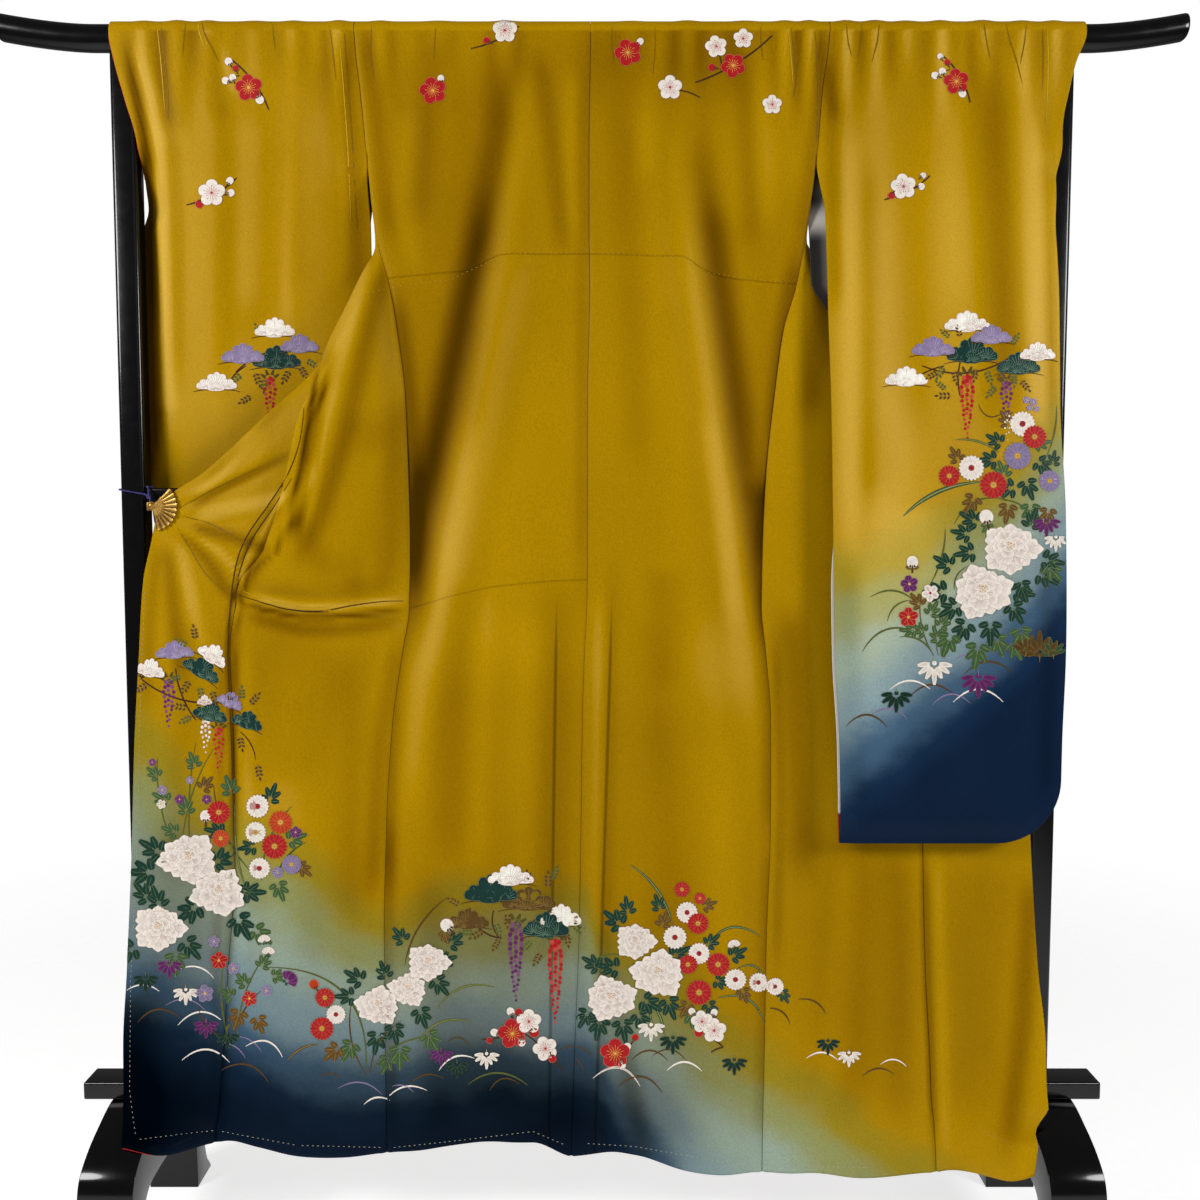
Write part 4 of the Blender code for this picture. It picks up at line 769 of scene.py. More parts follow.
def front_place(side, across, z):
    """x and y on a front, across 0 at the side seam to 1 at the free edge."""
    table = LEFT_FRONT if side == "left" else RIGHT_FRONT
    sleeve = LEFT_SLEEVE if side == "left" else RIGHT_SLEEVE
    sign = -1 if side == "left" else 1
    across, z = np.broadcast_arrays(np.asarray(across, float), np.asarray(z, float))
    room = turned_room(z, SEAM_TIGHT, SEAM_TURNED) * smooth((ARMHOLE_END - z) / 0.08)
    start = BACK.at(side + "_side", z) + sign * room
    behind = smooth((z - SIDE_SEAM_TOP) / (ARMHOLE_END - SIDE_SEAM_TOP))
    depth = mix(BACK.at("depth", z), sleeve.at("behind", z), behind)
    names = ("swell", "fold", "under", "edge")
    px = np.stack([start] + [table.at(name + "_x", z) for name in names])
    py = np.stack([depth] + [table.at(name + "_y", z) for name in names])
    points = np.stack([px, py])
    knots = np.array(FRONT_KNOTS)
    spans = np.diff(knots).reshape((1, 4) + (1,) * z.ndim)
    chords = np.diff(points, axis=1) / spans
    lengths = np.hypot(chords[0], chords[1])
    slopes = np.empty_like(points)
    slopes[:, 0] = chords[:, 0]
    slopes[:, -1] = chords[:, -1]
    for n in (1, 2, 3):
        mean = (points[:, n + 1] - points[:, n - 1]) / (knots[n + 1] - knots[n - 1])
        most = STEEPEST * np.minimum(lengths[n], lengths[n - 1])
        size = np.maximum(np.hypot(mean[0], mean[1]), 1e-9)
        slopes[:, n] = mean * np.minimum(1.0, most / size)
    n = np.clip(np.searchsorted(knots, across) - 1, 0, 3)
    span = knots[n + 1] - knots[n]
    t = (across - knots[n]) / span

    def pick(values, k):
        return np.take_along_axis(values, k[None, None], axis=1)[:, 0]

    x, y = between(
        t, span, pick(points, n), pick(points, n + 1), pick(slopes, n), pick(slopes, n + 1),
    )
    low = 1 - smooth((z - 0.80) / 0.15)
    near_seam = (1 - smooth(across / 0.25)) * (z < SIDE_SEAM_TOP)
    forward = folds(x, z) * np.maximum(low, near_seam)
    return x, y - forward - kick(x, z)


def front_speed(side, across, z):
    """Metres of cloth per share of the way across a front."""
    step = 0.01
    low, high = np.maximum(across - step, 0), np.minimum(across + step, 1)
    ax, ay = front_place(side, low, z)
    bx, by = front_place(side, high, z)
    return np.hypot(bx - ax, by - ay) / (high - low)


def overlap_seam(side, z):
    """The overlap panel's seam as a share of the way across a front."""
    table = LEFT_FRONT if side == "left" else RIGHT_FRONT
    return np.where(z > OKUMI_TIP, 1.0, table.at("overlap", z))


def sheet_height(level, x):
    """A level's height at x: the lowest levels close on the hem's curve."""
    hem = HEM.at("height", x)
    kept = np.maximum(level, LOW_LEVEL)
    near_hem = smooth((0.45 - kept) / (0.45 - LOW_LEVEL))
    height = mix(kept, hem + 0.012, 0.85 * near_hem)
    return mix(height, hem, np.clip(1 - level / LOW_LEVEL, 0, 1))


def read_height(level):
    """The height at which a level's x is read, down to the hem's own."""
    below = np.clip(1 - level / LOW_LEVEL, 0, 1)
    return mix(np.maximum(level, LOW_LEVEL), HEM_READ, below)


def back_sheet(side, across, level):
    x, _ = back_place(side, across, read_height(level))
    z = sheet_height(level, x)
    x, y = back_place(side, across, z)
    lift = creases(BACK_CREASES, x, z) + creases(WING_CREASES, x, z)
    gather = puckers(x, BAR_CENTRE - z)
    return x, y - lift * smooth((CREASES_TOP - z) / 0.04) - gather, z


def front_sheet(side, across, level):
    x, _ = front_place(side, across, read_height(level))
    z = sheet_height(level, x)
    x, y = front_place(side, across, z)
    shown = 1 - smooth((z - 0.88) / 0.06)
    lift = (creases(BACK_CREASES, x, z) + creases(WING_CREASES, x, z)) * shown
    if side == "left":
        near_edge = smooth((across - 0.55) / 0.2) * (z < 1.2)
        lift = lift + creases(CLIP_CREASES, x, z) * near_edge
        lift = lift + creases(TUCK_CREASES, x, z) * smooth((across - 0.01) / 0.05)
    return x, y - lift, z


def body_dye(x, z, table):
    """0 in the gold, rising through green and blue-grey to 1 where navy begins."""
    gold, navy = table.at("gold_end", x), table.at("navy_start", x)
    return np.clip((gold - z) / (gold - navy), -1.0, 2.0)


def panel_shares(width, step, near=(0.0013, 0.0030, 0.0055)):
    """Places across a panel as shares of its width, closer together at both seams."""
    count = max(int(round((width - 2 * near[-1]) / step)), 1)
    middle = np.linspace(near[-1], width - near[-1], count + 1)
    first = np.array((0.0,) + near[:-1])
    return np.concatenate([first, middle, width - first[::-1]]) / width


def levels_down(top, step):
    """Heights from the top down, with a few rows of their own from LOW_LEVEL to 0."""
    fall = np.linspace(top, LOW_LEVEL, int((top - LOW_LEVEL) / step))
    return np.concatenate([fall, np.linspace(LOW_LEVEL, 0.0, FOOT_ROWS)[1:]])


def red_border(z):
    """How much of the lining is the red border at the hem."""
    return np.clip(1 - (z - BORDER_FULL) / BORDER_FADE, 0, 1)


def cloth_values(shape, **given):
    """What the silk and its lining read at each vertex: plain gold unless given."""
    values = {"dye": -1.0, "sewn_line": UNSEWN, "pressed": UNSEWN, "shade": 0.0,
              "seam": UNSEWN, "border": 0.0}
    return {key: given.get(key, np.full(shape, plain)) for key, plain in values.items()}


def seam_dip(width, share):
    """How far the cloth dips to a sewn edge, with a pressed ridge beside it."""
    d = np.minimum(share, 1 - share) * width
    ridge = SEAM_RIDGE * bump((d - SEAM_RIDGE_OFF) / SEAM_RIDGE_HALF)
    return SEAM_DIP * (1 - smooth(d / SEAM_DIP_WIDTH)) - ridge


def pressed_line(side, x, z):
    """Distance across the line pressed beside the centre seam."""
    top_x, foot_x = PRESSED_LINES[side]
    return np.clip(x - mix(foot_x, top_x, (z - 0.17) / (0.955 - 0.17)), -0.02, 0.02)


def fold_shade(rows, x, y, z):
    """Painted shade: how much darker the cloth is in its deep folds and beside its gathers; less
    than 0 is painted highlight on lit ridges and on the gathers.
    """
    c, s = math.cos(VIEW_PITCH), math.sin(VIEW_PITCH)
    far = (y + EYE_DISTANCE) * c - (z - EYE_HEIGHT) * s
    across = VIEW_MIDDLE[0] + VIEW_FOCUS * x / far
    down = VIEW_MIDDLE[1] - VIEW_FOCUS * ((y + EYE_DISTANCE) * s + (z - EYE_HEIGHT) * c) / far
    total = np.zeros(x.shape)
    for points, half, dark in rows:
        line = np.array(points, float)
        reach = np.abs(line[-1] - line[0])
        here, off = (down, across) if reach[1] > reach[0] else (across, down)
        if reach[1] > reach[0]:
            line = line[:, ::-1]
        line = line[np.argsort(line[:, 0])]
        t = (here - line[0, 0]) / (line[-1, 0] - line[0, 0])
        middle = np.interp(here, line[:, 0], line[:, 1])
        fade = smooth(t / 0.16) * smooth((1 - t) / 0.20)
        total = total + dark * fade * bump((off - middle) / half)
    drop = BAR_CENTRE - z
    beside = puckers(x - 0.012, drop) + puckers(x + 0.014, drop)
    total = total + GATHER_SHADE * (beside - GATHER_LIT * puckers(x, drop))
    return np.clip(total, LIGHTEST_RIDGE, DARKEST_FOLD)


def cloth_sheet(x, y, z, values):
    """A sheet of cloth from a flat grid, moved to its places, with values per vertex."""
    rows, columns = x.shape
    bm = bmesh.new()
    bmesh.ops.create_grid(bm, x_segments=columns - 1, y_segments=rows - 1, size=1.0)
    layers = {key: bm.verts.layers.float.new(key) for key in values}
    for v in bm.verts:
        i = round((v.co.x + 1) / 2 * (columns - 1))
        j = round((v.co.y + 1) / 2 * (rows - 1))
        v.co = (x[j, i], y[j, i], z[j, i])
        for key, layer in layers.items():
            v[layer] = values[key][j, i]
    return bm


def keep_piece(name, bm, material, nodes=(), extra=()):
    """Makes the object, rides it on the frame and hides the CAD nodes it stands for."""
    mesh = bpy.data.meshes.new(name)
    bm.to_mesh(mesh)
    bm.free()
    mesh.materials.append(material)
    for other in extra:
        mesh.materials.append(other)
    mesh.shade_smooth()
    piece = bpy.data.objects.new(name, mesh)
    bpy.context.scene.collection.objects.link(piece)
    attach(piece, "root")
    if nodes:
        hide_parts(*nodes)
    return piece


def thicken_cloth(piece, wall):
    """Silk outside, lining inside: the outer face stays where the solid's is."""
    solid = piece.modifiers.new("lining", "SOLIDIFY")
    solid.thickness = wall
    solid.offset = (WALL - wall) / wall
    solid.thickness_clamp = 0.8
    solid.material_offset = 1
    return piece


CLOTH_TREES = {}


class Nodes:
    """A material's node tree, with short calls for what the finishes share."""

    def __init__(self, name):
        self.material = bpy.data.materials.new(name)
        self.material.use_nodes = True
        self.tree = self.material.node_tree
        self.shader = self.tree.nodes["Principled BSDF"]

    def add(self, kind, settings=None, **inputs):
        node = self.tree.nodes.new("ShaderNode" + kind)
        for key, value in (settings or {}).items():
            setattr(node, key, value)
        for key, value in inputs.items():
            self.join(value, node.inputs[key.replace("_", " ")])
        return node

    def join(self, value, socket):
        if isinstance(value, bpy.types.NodeSocket):
            self.tree.links.new(value, socket)
        else:
            socket.default_value = value

    def set(self, **inputs):
        for key, value in inputs.items():
            self.join(value, self.shader.inputs[key.replace("_", " ")])

    def place(self, scale=(1, 1, 1)):
        """Object coordinates, stretched."""
        coordinates = self.add("TexCoord").outputs["Object"]
        return self.add("Mapping", Vector=coordinates, Scale=scale).outputs["Vector"]

    def noise(self, vector, scale, detail=2.0, roughness=0.5):
        made = self.add(
            "TexNoise", Vector=vector, Scale=scale, Detail=detail, Roughness=roughness
        )
        return made.outputs["Fac"]

    def sum(self, operation, a, b, clamp=False):
        made = self.add("Math", {"operation": operation, "use_clamp": clamp})
        self.join(a, made.inputs[0])
        self.join(b, made.inputs[1])
        return made.outputs["Value"]

    def ramp(self, fac, stops, smooth_steps=True):
        made = self.add("ValToRGB", Fac=fac)
        band = made.color_ramp
        band.interpolation = "EASE" if smooth_steps else "LINEAR"
        while len(band.elements) > 1:
            band.elements.remove(band.elements[-1])
        band.elements[0].position, band.elements[0].color = stops[0]
        for position, colour in stops[1:]:
            band.elements.new(position).color = colour
        return made.outputs["Color"]

    def value(self, name):
        return self.add("Attribute", {"attribute_name": name}).outputs["Fac"]

    def raise_by(self, height, distance, strength=1.0, normal=None):
        made = self.add("Bump", Height=height, Distance=distance, Strength=strength)
        if normal is not None:
            self.join(normal, made.inputs["Normal"])
        return made.outputs["Normal"]

    def spread(self, value, low, high):
        """A value from 0 to 1, spread from low to high."""
        made = self.add("MapRange", Value=value)
        made.inputs["To Min"].default_value = low
        made.inputs["To Max"].default_value = high
        return made.outputs["Result"]

    def tinted(self, colour, fac, start, dark, end):
        """A colour times a tint that ends in white."""
        tint = self.ramp(fac, ((start, (*dark, 1)), (end, (1.0, 1.0, 1.0, 1))))
        return self.times(colour, tint)

    def times(self, colour, other):
        return self.mixed(1.0, colour, other, "MULTIPLY")

    def mixed(self, fac, a, b, blend="MIX"):
        made = self.add("Mix", {"data_type": "RGBA", "blend_type": blend})
        self.join(fac, made.inputs["Factor"])
        self.join(a, made.inputs["A"])
        self.join(b, made.inputs["B"])
        return made.outputs["Result"]


def crepe(nodes):
    """The normals of crepe silk: soft drape, slack ripples and the twisted grain."""
    drape = nodes.raise_by(nodes.noise(nodes.place((1, 1, 0.30)), 8.0, 3.0), 0.007, 0.6)
    slack = nodes.noise(nodes.place((1, 1, 0.40)), 34.0, 3.0, 0.5)
    ripple = nodes.raise_by(slack, 0.0014, 0.5, drape)
    grain = nodes.noise(nodes.place((1, 1, 0.8)), 560.0, 2.0, 0.6)
    return nodes.raise_by(grain, 0.00022, 0.6, ripple)


def silk_material(colours):
    """Dyed crepe: gold running through green and pale blue-grey to navy, with painted shade in the
    folds and painted highlight on the lit ridges.
    """
    nodes = Nodes("dyed_crepe_silk_painted_shade")
    drift = nodes.noise(nodes.place((1, 1, 1.6)), 7.5, 4.0, 0.6)
    shift = nodes.sum("MULTIPLY", nodes.sum("SUBTRACT", drift, 0.5), 0.30)
    dye = nodes.sum("ADD", nodes.value("dye"), shift)
    level = nodes.sum("MULTIPLY", nodes.sum("ADD", dye, 0.25), 0.6667, True)
    colour = nodes.ramp(level, (
        (0.06, (*colours.gold, 1)),
        (0.20, (*colours.olive, 1)),
        (0.33, (*colours.sage, 1)),
        (0.47, (*colours.mist, 1)),
        (0.62, (*colours.haze, 1)),
        (0.77, (*colours.slate, 1)),
        (0.90, (*colours.navy, 1)),
        (1.00, (*colours.deep_navy, 1)),
    ))
    cloud = nodes.noise(nodes.place((1, 1, 0.4)), 5.0, 3.0)
    colour = nodes.tinted(colour, cloud, 0.32, (0.84, 0.83, 0.82), 0.68)
    fleck = nodes.noise(nodes.place((1, 1, 0.8)), 560.0, 2.0, 0.6)
    colour = nodes.tinted(colour, fleck, 0.35, (0.86, 0.85, 0.84), 0.62)
    heights = []
    for name, reach, dark in (
        ("seam", 0.0016, (0.30, 0.27, 0.25)),
        ("sewn_line", 0.0022, (0.80, 0.78, 0.76)),
        # The pressed line is a groove, and its darker tint is painted shade in that crease.
        ("pressed", 0.0040, (0.55, 0.53, 0.50)),
    ):
        off = nodes.sum("ABSOLUTE", nodes.value(name), 0.0)
        if name == "pressed":
            height = nodes.add("SeparateXYZ", Vector=nodes.place()).outputs["Z"]
            above = nodes.add("MapRange", Value=height).outputs["Result"]
            above.node.inputs["From Min"].default_value = 0.84
            above.node.inputs["From Max"].default_value = 0.96
            above.node.inputs["To Max"].default_value = 0.004
            off = nodes.sum("ADD", off, above)
        line = nodes.add("MapRange", {"interpolation_type": "SMOOTHSTEP"}, Value=off)
        line.inputs["From Max"].default_value = reach
        heights.append(line.outputs["Result"])
        colour = nodes.tinted(colour, heights[-1], 0.0, dark, 0.9)
    # Painted shade from the shade attribute darkens and warms the colour; below 0 it is painted
    # highlight, mixed towards the painted sheen colour on the gold, and the gloss is lower where the
    # painted shade is.
    shade = nodes.value("shade")
    lit = nodes.sum("SUBTRACT", 1.0, nodes.sum("MULTIPLY", shade, 0.85))
    colour = nodes.times(colour, lit)
    painted_shade_warmth = nodes.ramp(shade, ((0.0, (1.0, 1.0, 1.0, 1)), (0.8, (0.92, 0.76, 0.60, 1))))
    colour = nodes.times(colour, painted_shade_warmth)
    golden = nodes.sum("SUBTRACT", 1.15, nodes.sum("MULTIPLY", level, 1.7), True)
    sheen = nodes.sum("MULTIPLY", nodes.sum("MULTIPLY", shade, -0.75, True), golden)
    colour = nodes.mixed(sheen, colour, (*colours.painted_ridge_sheen, 1))
    groove = nodes.raise_by(heights[1], 0.0007, 1.0, crepe(nodes))
    groove = nodes.raise_by(heights[2], 0.0012, 1.0, groove)
    gloss = nodes.sum("SUBTRACT", 0.070, nodes.sum("MULTIPLY", shade, 0.075), True)
    nodes.set(
        Base_Color=colour, Roughness=nodes.spread(fleck, 0.38, 0.56), Normal=groove,
        Specular_IOR_Level=gloss, Specular_Tint=(1.0, 0.84, 0.45, 1),
    )
    return nodes.material


def red_material(colours):
    """Plain red silk of the lining's edge."""
    nodes = Nodes("red_lining_roll")
    weave = nodes.noise(nodes.place((1, 1, 0.6)), 900.0, 2.0)
    tone = nodes.ramp(weave, ((0.30, paint(150, 26, 20)), (0.70, paint(196, 44, 30))))
    nodes.set(
        Base_Color=tone, Roughness=0.5, Normal=nodes.raise_by(weave, 0.0001, 0.5),
        Specular_IOR_Level=0.2,
    )
    return nodes.material


def lining_material(colours):
    """Plain smooth silk lining, white with a red border at cuff and hem, darkened by painted shade
    where the cloth carries it, most inside the arm openings, and near its seams.
    """
    nodes = Nodes("lining_silk")
    edge = nodes.noise(nodes.place(), 30.0, 3.0)
    level = nodes.sum("ADD", nodes.value("border"), nodes.sum("MULTIPLY", edge, 0.12), True)
    colour = nodes.ramp(level, ((0.50, (*colours.lining, 1)), (0.80, (*colours.border, 1))))
    # Painted shade: the shade attribute darkens the lining, most inside the arm openings, and the
    # lining is painted dark near its seams, where shade falls between the panels.
    colour = nodes.times(colour, nodes.sum("SUBTRACT", 1.0, nodes.value("shade"), True))
    sewn = nodes.sum("MULTIPLY", nodes.value("seam"), 160.0, True)
    colour = nodes.tinted(colour, sewn, 0.35, (0.16, 0.13, 0.10), 0.95)
    weave = nodes.noise(nodes.place((1, 1, 0.5)), 900.0, 2.0)
    slack = nodes.raise_by(nodes.noise(nodes.place((1, 1, 0.4)), 24.0, 3.0), 0.0016, 0.6)
    nodes.set(
        Base_Color=colour, Roughness=0.48, Normal=nodes.raise_by(weave, 0.0002, 0.4, slack),
        Specular_IOR_Level=0.2,
    )
    return nodes.material


def lacquer_material(colours):
    """Black lacquer, polished, with a very faint waviness and dust-dulled patches."""
    nodes = Nodes("black_lacquer")
    wave = nodes.raise_by(nodes.noise(nodes.place((0.4, 1, 0.4)), 26.0, 2.0), 0.0006, 0.25)
    dust = nodes.noise(nodes.place(), 60.0, 5.0, 0.7)
    colour = nodes.ramp(dust, (
        (0.45, (*colours.lacquer, 1)), (0.90, tuple(1.8 * c for c in colours.lacquer) + (1,)),
    ))
    nodes.set(
        Base_Color=colour, Roughness=nodes.spread(dust, 0.10, 0.24), Normal=wave,
        Specular_IOR_Level=0.20, Coat_Weight=0.22, Coat_Roughness=0.05,
    )
    return nodes.material


def shared_material(name, maker):
    found = bpy.data.materials.get(name)
    return found or maker(bpy.context.scene.kimono_colours)


def silk():
    return shared_material("dyed_crepe_silk_painted_shade", silk_material)


def lining():
    return shared_material("lining_silk", lining_material)


def lacquer():
    return shared_material("black_lacquer", lacquer_material)


class KimonoCloth(bpy.types.PropertyGroup):
    """Sizes of the fine cloth."""

    wall: FloatProperty(
        name="Cloth wall", description="Silk and lining together",
        default=0.0012, min=0.0006, max=0.002, unit="LENGTH",
    )
    step: FloatProperty(
        name="Cloth step", description="Distance between two threads of the mesh",
        default=0.0065, min=0.003, max=0.02, unit="LENGTH",
    )
    turns: IntProperty(
        name="Steps over the bar", description="Rows of the mesh that go over the bar",
        default=18, min=8, max=40,
    )


def colour_property(name, description, shade):
    return FloatVectorProperty(
        name=name, description=description, subtype="COLOR", size=3,
        default=paint(*shade)[:3], min=0.0, max=1.0,
    )


class KimonoColours(bpy.types.PropertyGroup):
    """Colours of the silk, its lining and the stand."""

    gold: colour_property("Gold", "The ground of the whole kimono", (184, 141, 0))
    olive: colour_property("Olive", "Where gold first turns green", (160, 138, 28))
    sage: colour_property("Sage", "The green band", (146, 150, 92))
    mist: colour_property("Mist", "The pale grey-green band", (150, 168, 152))
    haze: colour_property("Haze", "The pale blue-grey band", (126, 150, 156))
    slate: colour_property("Slate", "Blue before the navy", (62, 92, 118))
    navy: colour_property("Navy", "The dark foot of sleeves and hem", (14, 42, 72))
    deep_navy: colour_property("Deep navy", "The darkest dye", (8, 32, 60))
    # Painted highlight: the sheen colour mixed in on the lit ridges.
    painted_ridge_sheen: colour_property("Lustre", "What the satin shows on its lit ridges", (226, 196, 110))
    lining: colour_property("Lining", "The white lining silk", (226, 220, 212))
    border: colour_property("Border", "The red lining at cuffs and hem", (150, 22, 26))
    lacquer: colour_property("Lacquer", "The stand's black lacquer", (5, 5, 6))


class KimonoStage(bpy.types.PropertyGroup):
    """The camera and the light."""

    distance: FloatProperty(
        name="Camera distance", description="From the stand's middle",
        default=EYE_DISTANCE, min=1.0, max=4.0, unit="LENGTH",
    )
    eye: FloatProperty(
        name="Camera height", description="Above the floor",
        default=EYE_HEIGHT, min=0.3, max=2.0, unit="LENGTH",
    )
    key: FloatProperty(
        name="Key light", description="Power of the large light by the camera, in watts",
        default=44.0, min=0.0, max=900.0,
    )
    ambient: FloatProperty(
        name="Ambient light", description="How bright the white surround shines on things",
        default=0.14, min=0.0, max=2.0, subtype="FACTOR",
    )


def sewn_line(x, z, side):
    """Distance across the nearest sewn line: the yoke's or tuck's, in metres."""
    level = np.minimum(YOKE_LINE.at("z", x) - z, z - TUCK_LINE.at("z", x))
    if side == "right":
        level = np.where(z < 1.0, YOKE_LINE.at("z", x) - z, level)
    return np.clip(level, -0.02, 0.02)


class MESH_OT_kimono_body(bpy.types.Operator):
    """Make the two body panels, each from its back hem over the bar to its front hem"""

    bl_idname = "mesh.kimono_body"
    bl_label = "Body Panels"

    def execute(self, context):
        for side in ("left", "right"):
            self.panel(side, context.scene.kimono_cloth)
        return {"FINISHED"}

    def panel(self, side, cloth):
        neck_share = NECK_HALF_WIDTH / SHOULDER_SEAM
        width = SHOULDER_SEAM
        shares = panel_shares(width, cloth.step)
        neck_columns = int(np.searchsorted(shares, neck_share))
        shares[neck_columns] = neck_share
        levels = levels_down(BAR_CENTRE, cloth.step)
        back_levels, front_levels = levels[::-1], levels[1:]
        turns = np.linspace(0, 1, cloth.turns + 1)[1:]
        across, level = np.meshgrid(shares, back_levels)
        x, y, z = back_sheet(side, across, level)
        back = [x, y + seam_dip(width, across), z]
        back_shade = fold_shade(BACK_SHADES, x, y, z)
        dye = body_dye(x, z, BODY_DYE)
        line = sewn_line(x, z, side)
        border = red_border(z)
        pressed = pressed_line(side, x, z)
        open_part = smooth((z - 1.395) / 0.02) * (1 - smooth((z - 1.510) / 0.02))
        back_seam = np.minimum(across, 1 - across + open_part) * width

        across, turn = np.meshgrid(shares, turns)
        x, _ = back_place(side, across, np.full(across.shape, BAR_CENTRE))
        y, z = over_bar(turn, puckers(x, 0.0) * (1 - turn))
        over = [x, y, z]

        front_share = 1 - (np.maximum(shares, neck_share) - neck_share) / (1 - neck_share)
        across, level = np.meshgrid(front_share, front_levels)
        read = read_height(level)
        seam = overlap_seam(side, read)
        room = np.where(seam < 1, SEAM_TIGHT / 2 / front_speed(side, seam, read), 0)
        x, y, z = front_sheet(side, across * (seam - room), level)
        dip = seam_dip(width * (1 - neck_share), across) * (1 - smooth((z - 1.42) / 0.04))
        front = [x, y + dip, z]
        rows = [np.concatenate(three) for three in zip(back, over, front)]
        flat = np.zeros(over[0].shape)
        values = {
            "dye": np.concatenate([dye, flat - 1, body_dye(x, z, BODY_DYE)]),
            "sewn_line": np.concatenate([line, flat - UNSEWN, np.full(x.shape, -UNSEWN)]),
            "pressed": np.concatenate([pressed, flat + UNSEWN, np.full(x.shape, UNSEWN)]),
            "shade": np.concatenate([
                back_shade, flat * 0, fold_shade(WING_SHADES, x, y, z) * (z < SIDE_SEAM_TOP),
            ]),
            "seam": np.concatenate([
                back_seam, flat + UNSEWN, np.minimum(across, 1 - across) * width * 0.7,
            ]),
            "border": np.concatenate([border, flat, red_border(z)]),
        }
        bm = cloth_sheet(*rows, values)
        bm.verts.ensure_lookup_table()
        total = len(shares)
        first_front = len(back_levels) + len(turns)
        notch = [
            bm.verts[j * total + i]
            for j in range(first_front, rows[0].shape[0]) for i in range(neck_columns)
        ]
        bmesh.ops.delete(bm, geom=notch, context="VERTS")
        outward(bm, Vector((0, -1, 0)))
        CLOTH_TREES["body_" + side] = BVHTree.FromBMesh(bm)
        piece = keep_piece(
            "silk_body_" + side, bm, silk(), ("body_" + side,), (lining(),)
        )
        thicken_cloth(piece, cloth.wall)


def outward(bm, facing):
    """Turns the faces so that the first face of the sheet looks the way given."""
    bmesh.ops.recalc_face_normals(bm, faces=bm.faces)
    bm.faces.ensure_lookup_table()
    bm.normal_update()
    if bm.faces[0].normal.dot(facing) < 0:
        bmesh.ops.reverse_faces(bm, faces=bm.faces)


class MESH_OT_kimono_overlaps(bpy.types.Operator):
    """Make the two overlap panels, from the tip at the collar down to the hem"""

    bl_idname = "mesh.kimono_overlaps"
    bl_label = "Overlap Panels"

    def execute(self, context):
        cloth = context.scene.kimono_cloth
        levels = levels_down(OKUMI_TIP, cloth.step)
        shares = panel_shares(OKUMI_WIDTH, cloth.step)
        for side in ("left", "right"):
            across, level = np.meshgrid(shares, levels)
            read = read_height(level)
            seam = overlap_seam(side, read)
            tip = smooth((read - 1.46) / 0.03)
            seam = mix(seam, OKUMI_TIP_SHARE, tip)
            first = seam + SEAM_TIGHT / 2 / front_speed(side, seam, read)
            x, y, z = front_sheet(side, mix(first, 1.0, across), level)
            dip = seam_dip(OKUMI_WIDTH, np.minimum(across, 0.5))
            values = cloth_values(
                x.shape, dye=body_dye(x, z, BODY_DYE), shade=fold_shade(WING_SHADES, x, y, z),
                seam=across * OKUMI_WIDTH, border=red_border(z),
            )
            bm = cloth_sheet(x, y + dip, z, values)
            bm.faces.ensure_lookup_table()
            bmesh.ops.recalc_face_normals(bm, faces=bm.faces)
            last = max(bm.faces, key=lambda f: -f.calc_center_median().z)
            bm.normal_update()
            if last.normal.y > 0:
                bmesh.ops.reverse_faces(bm, faces=bm.faces)
            CLOTH_TREES["okumi_" + side] = BVHTree.FromBMesh(bm)
            piece = keep_piece(
                "silk_okumi_" + side, bm, silk(), ("okumi_" + side,), (lining(),)
            )
            thicken_cloth(piece, cloth.wall)
        return {"FINISHED"}


def sleeve_outer(table, column, z):
    """The sleeve's outer edge with its round lower corner."""
    edge = table.at(column, z)
    rise = SLEEVE_CORNER - (z - SLEEVE_BOTTOM)
    inset = SLEEVE_CORNER - np.sqrt(np.maximum(SLEEVE_CORNER**2 - np.maximum(rise, 0) ** 2, 0))
    return edge - np.copysign(np.where(rise > 0, inset, 0), edge)


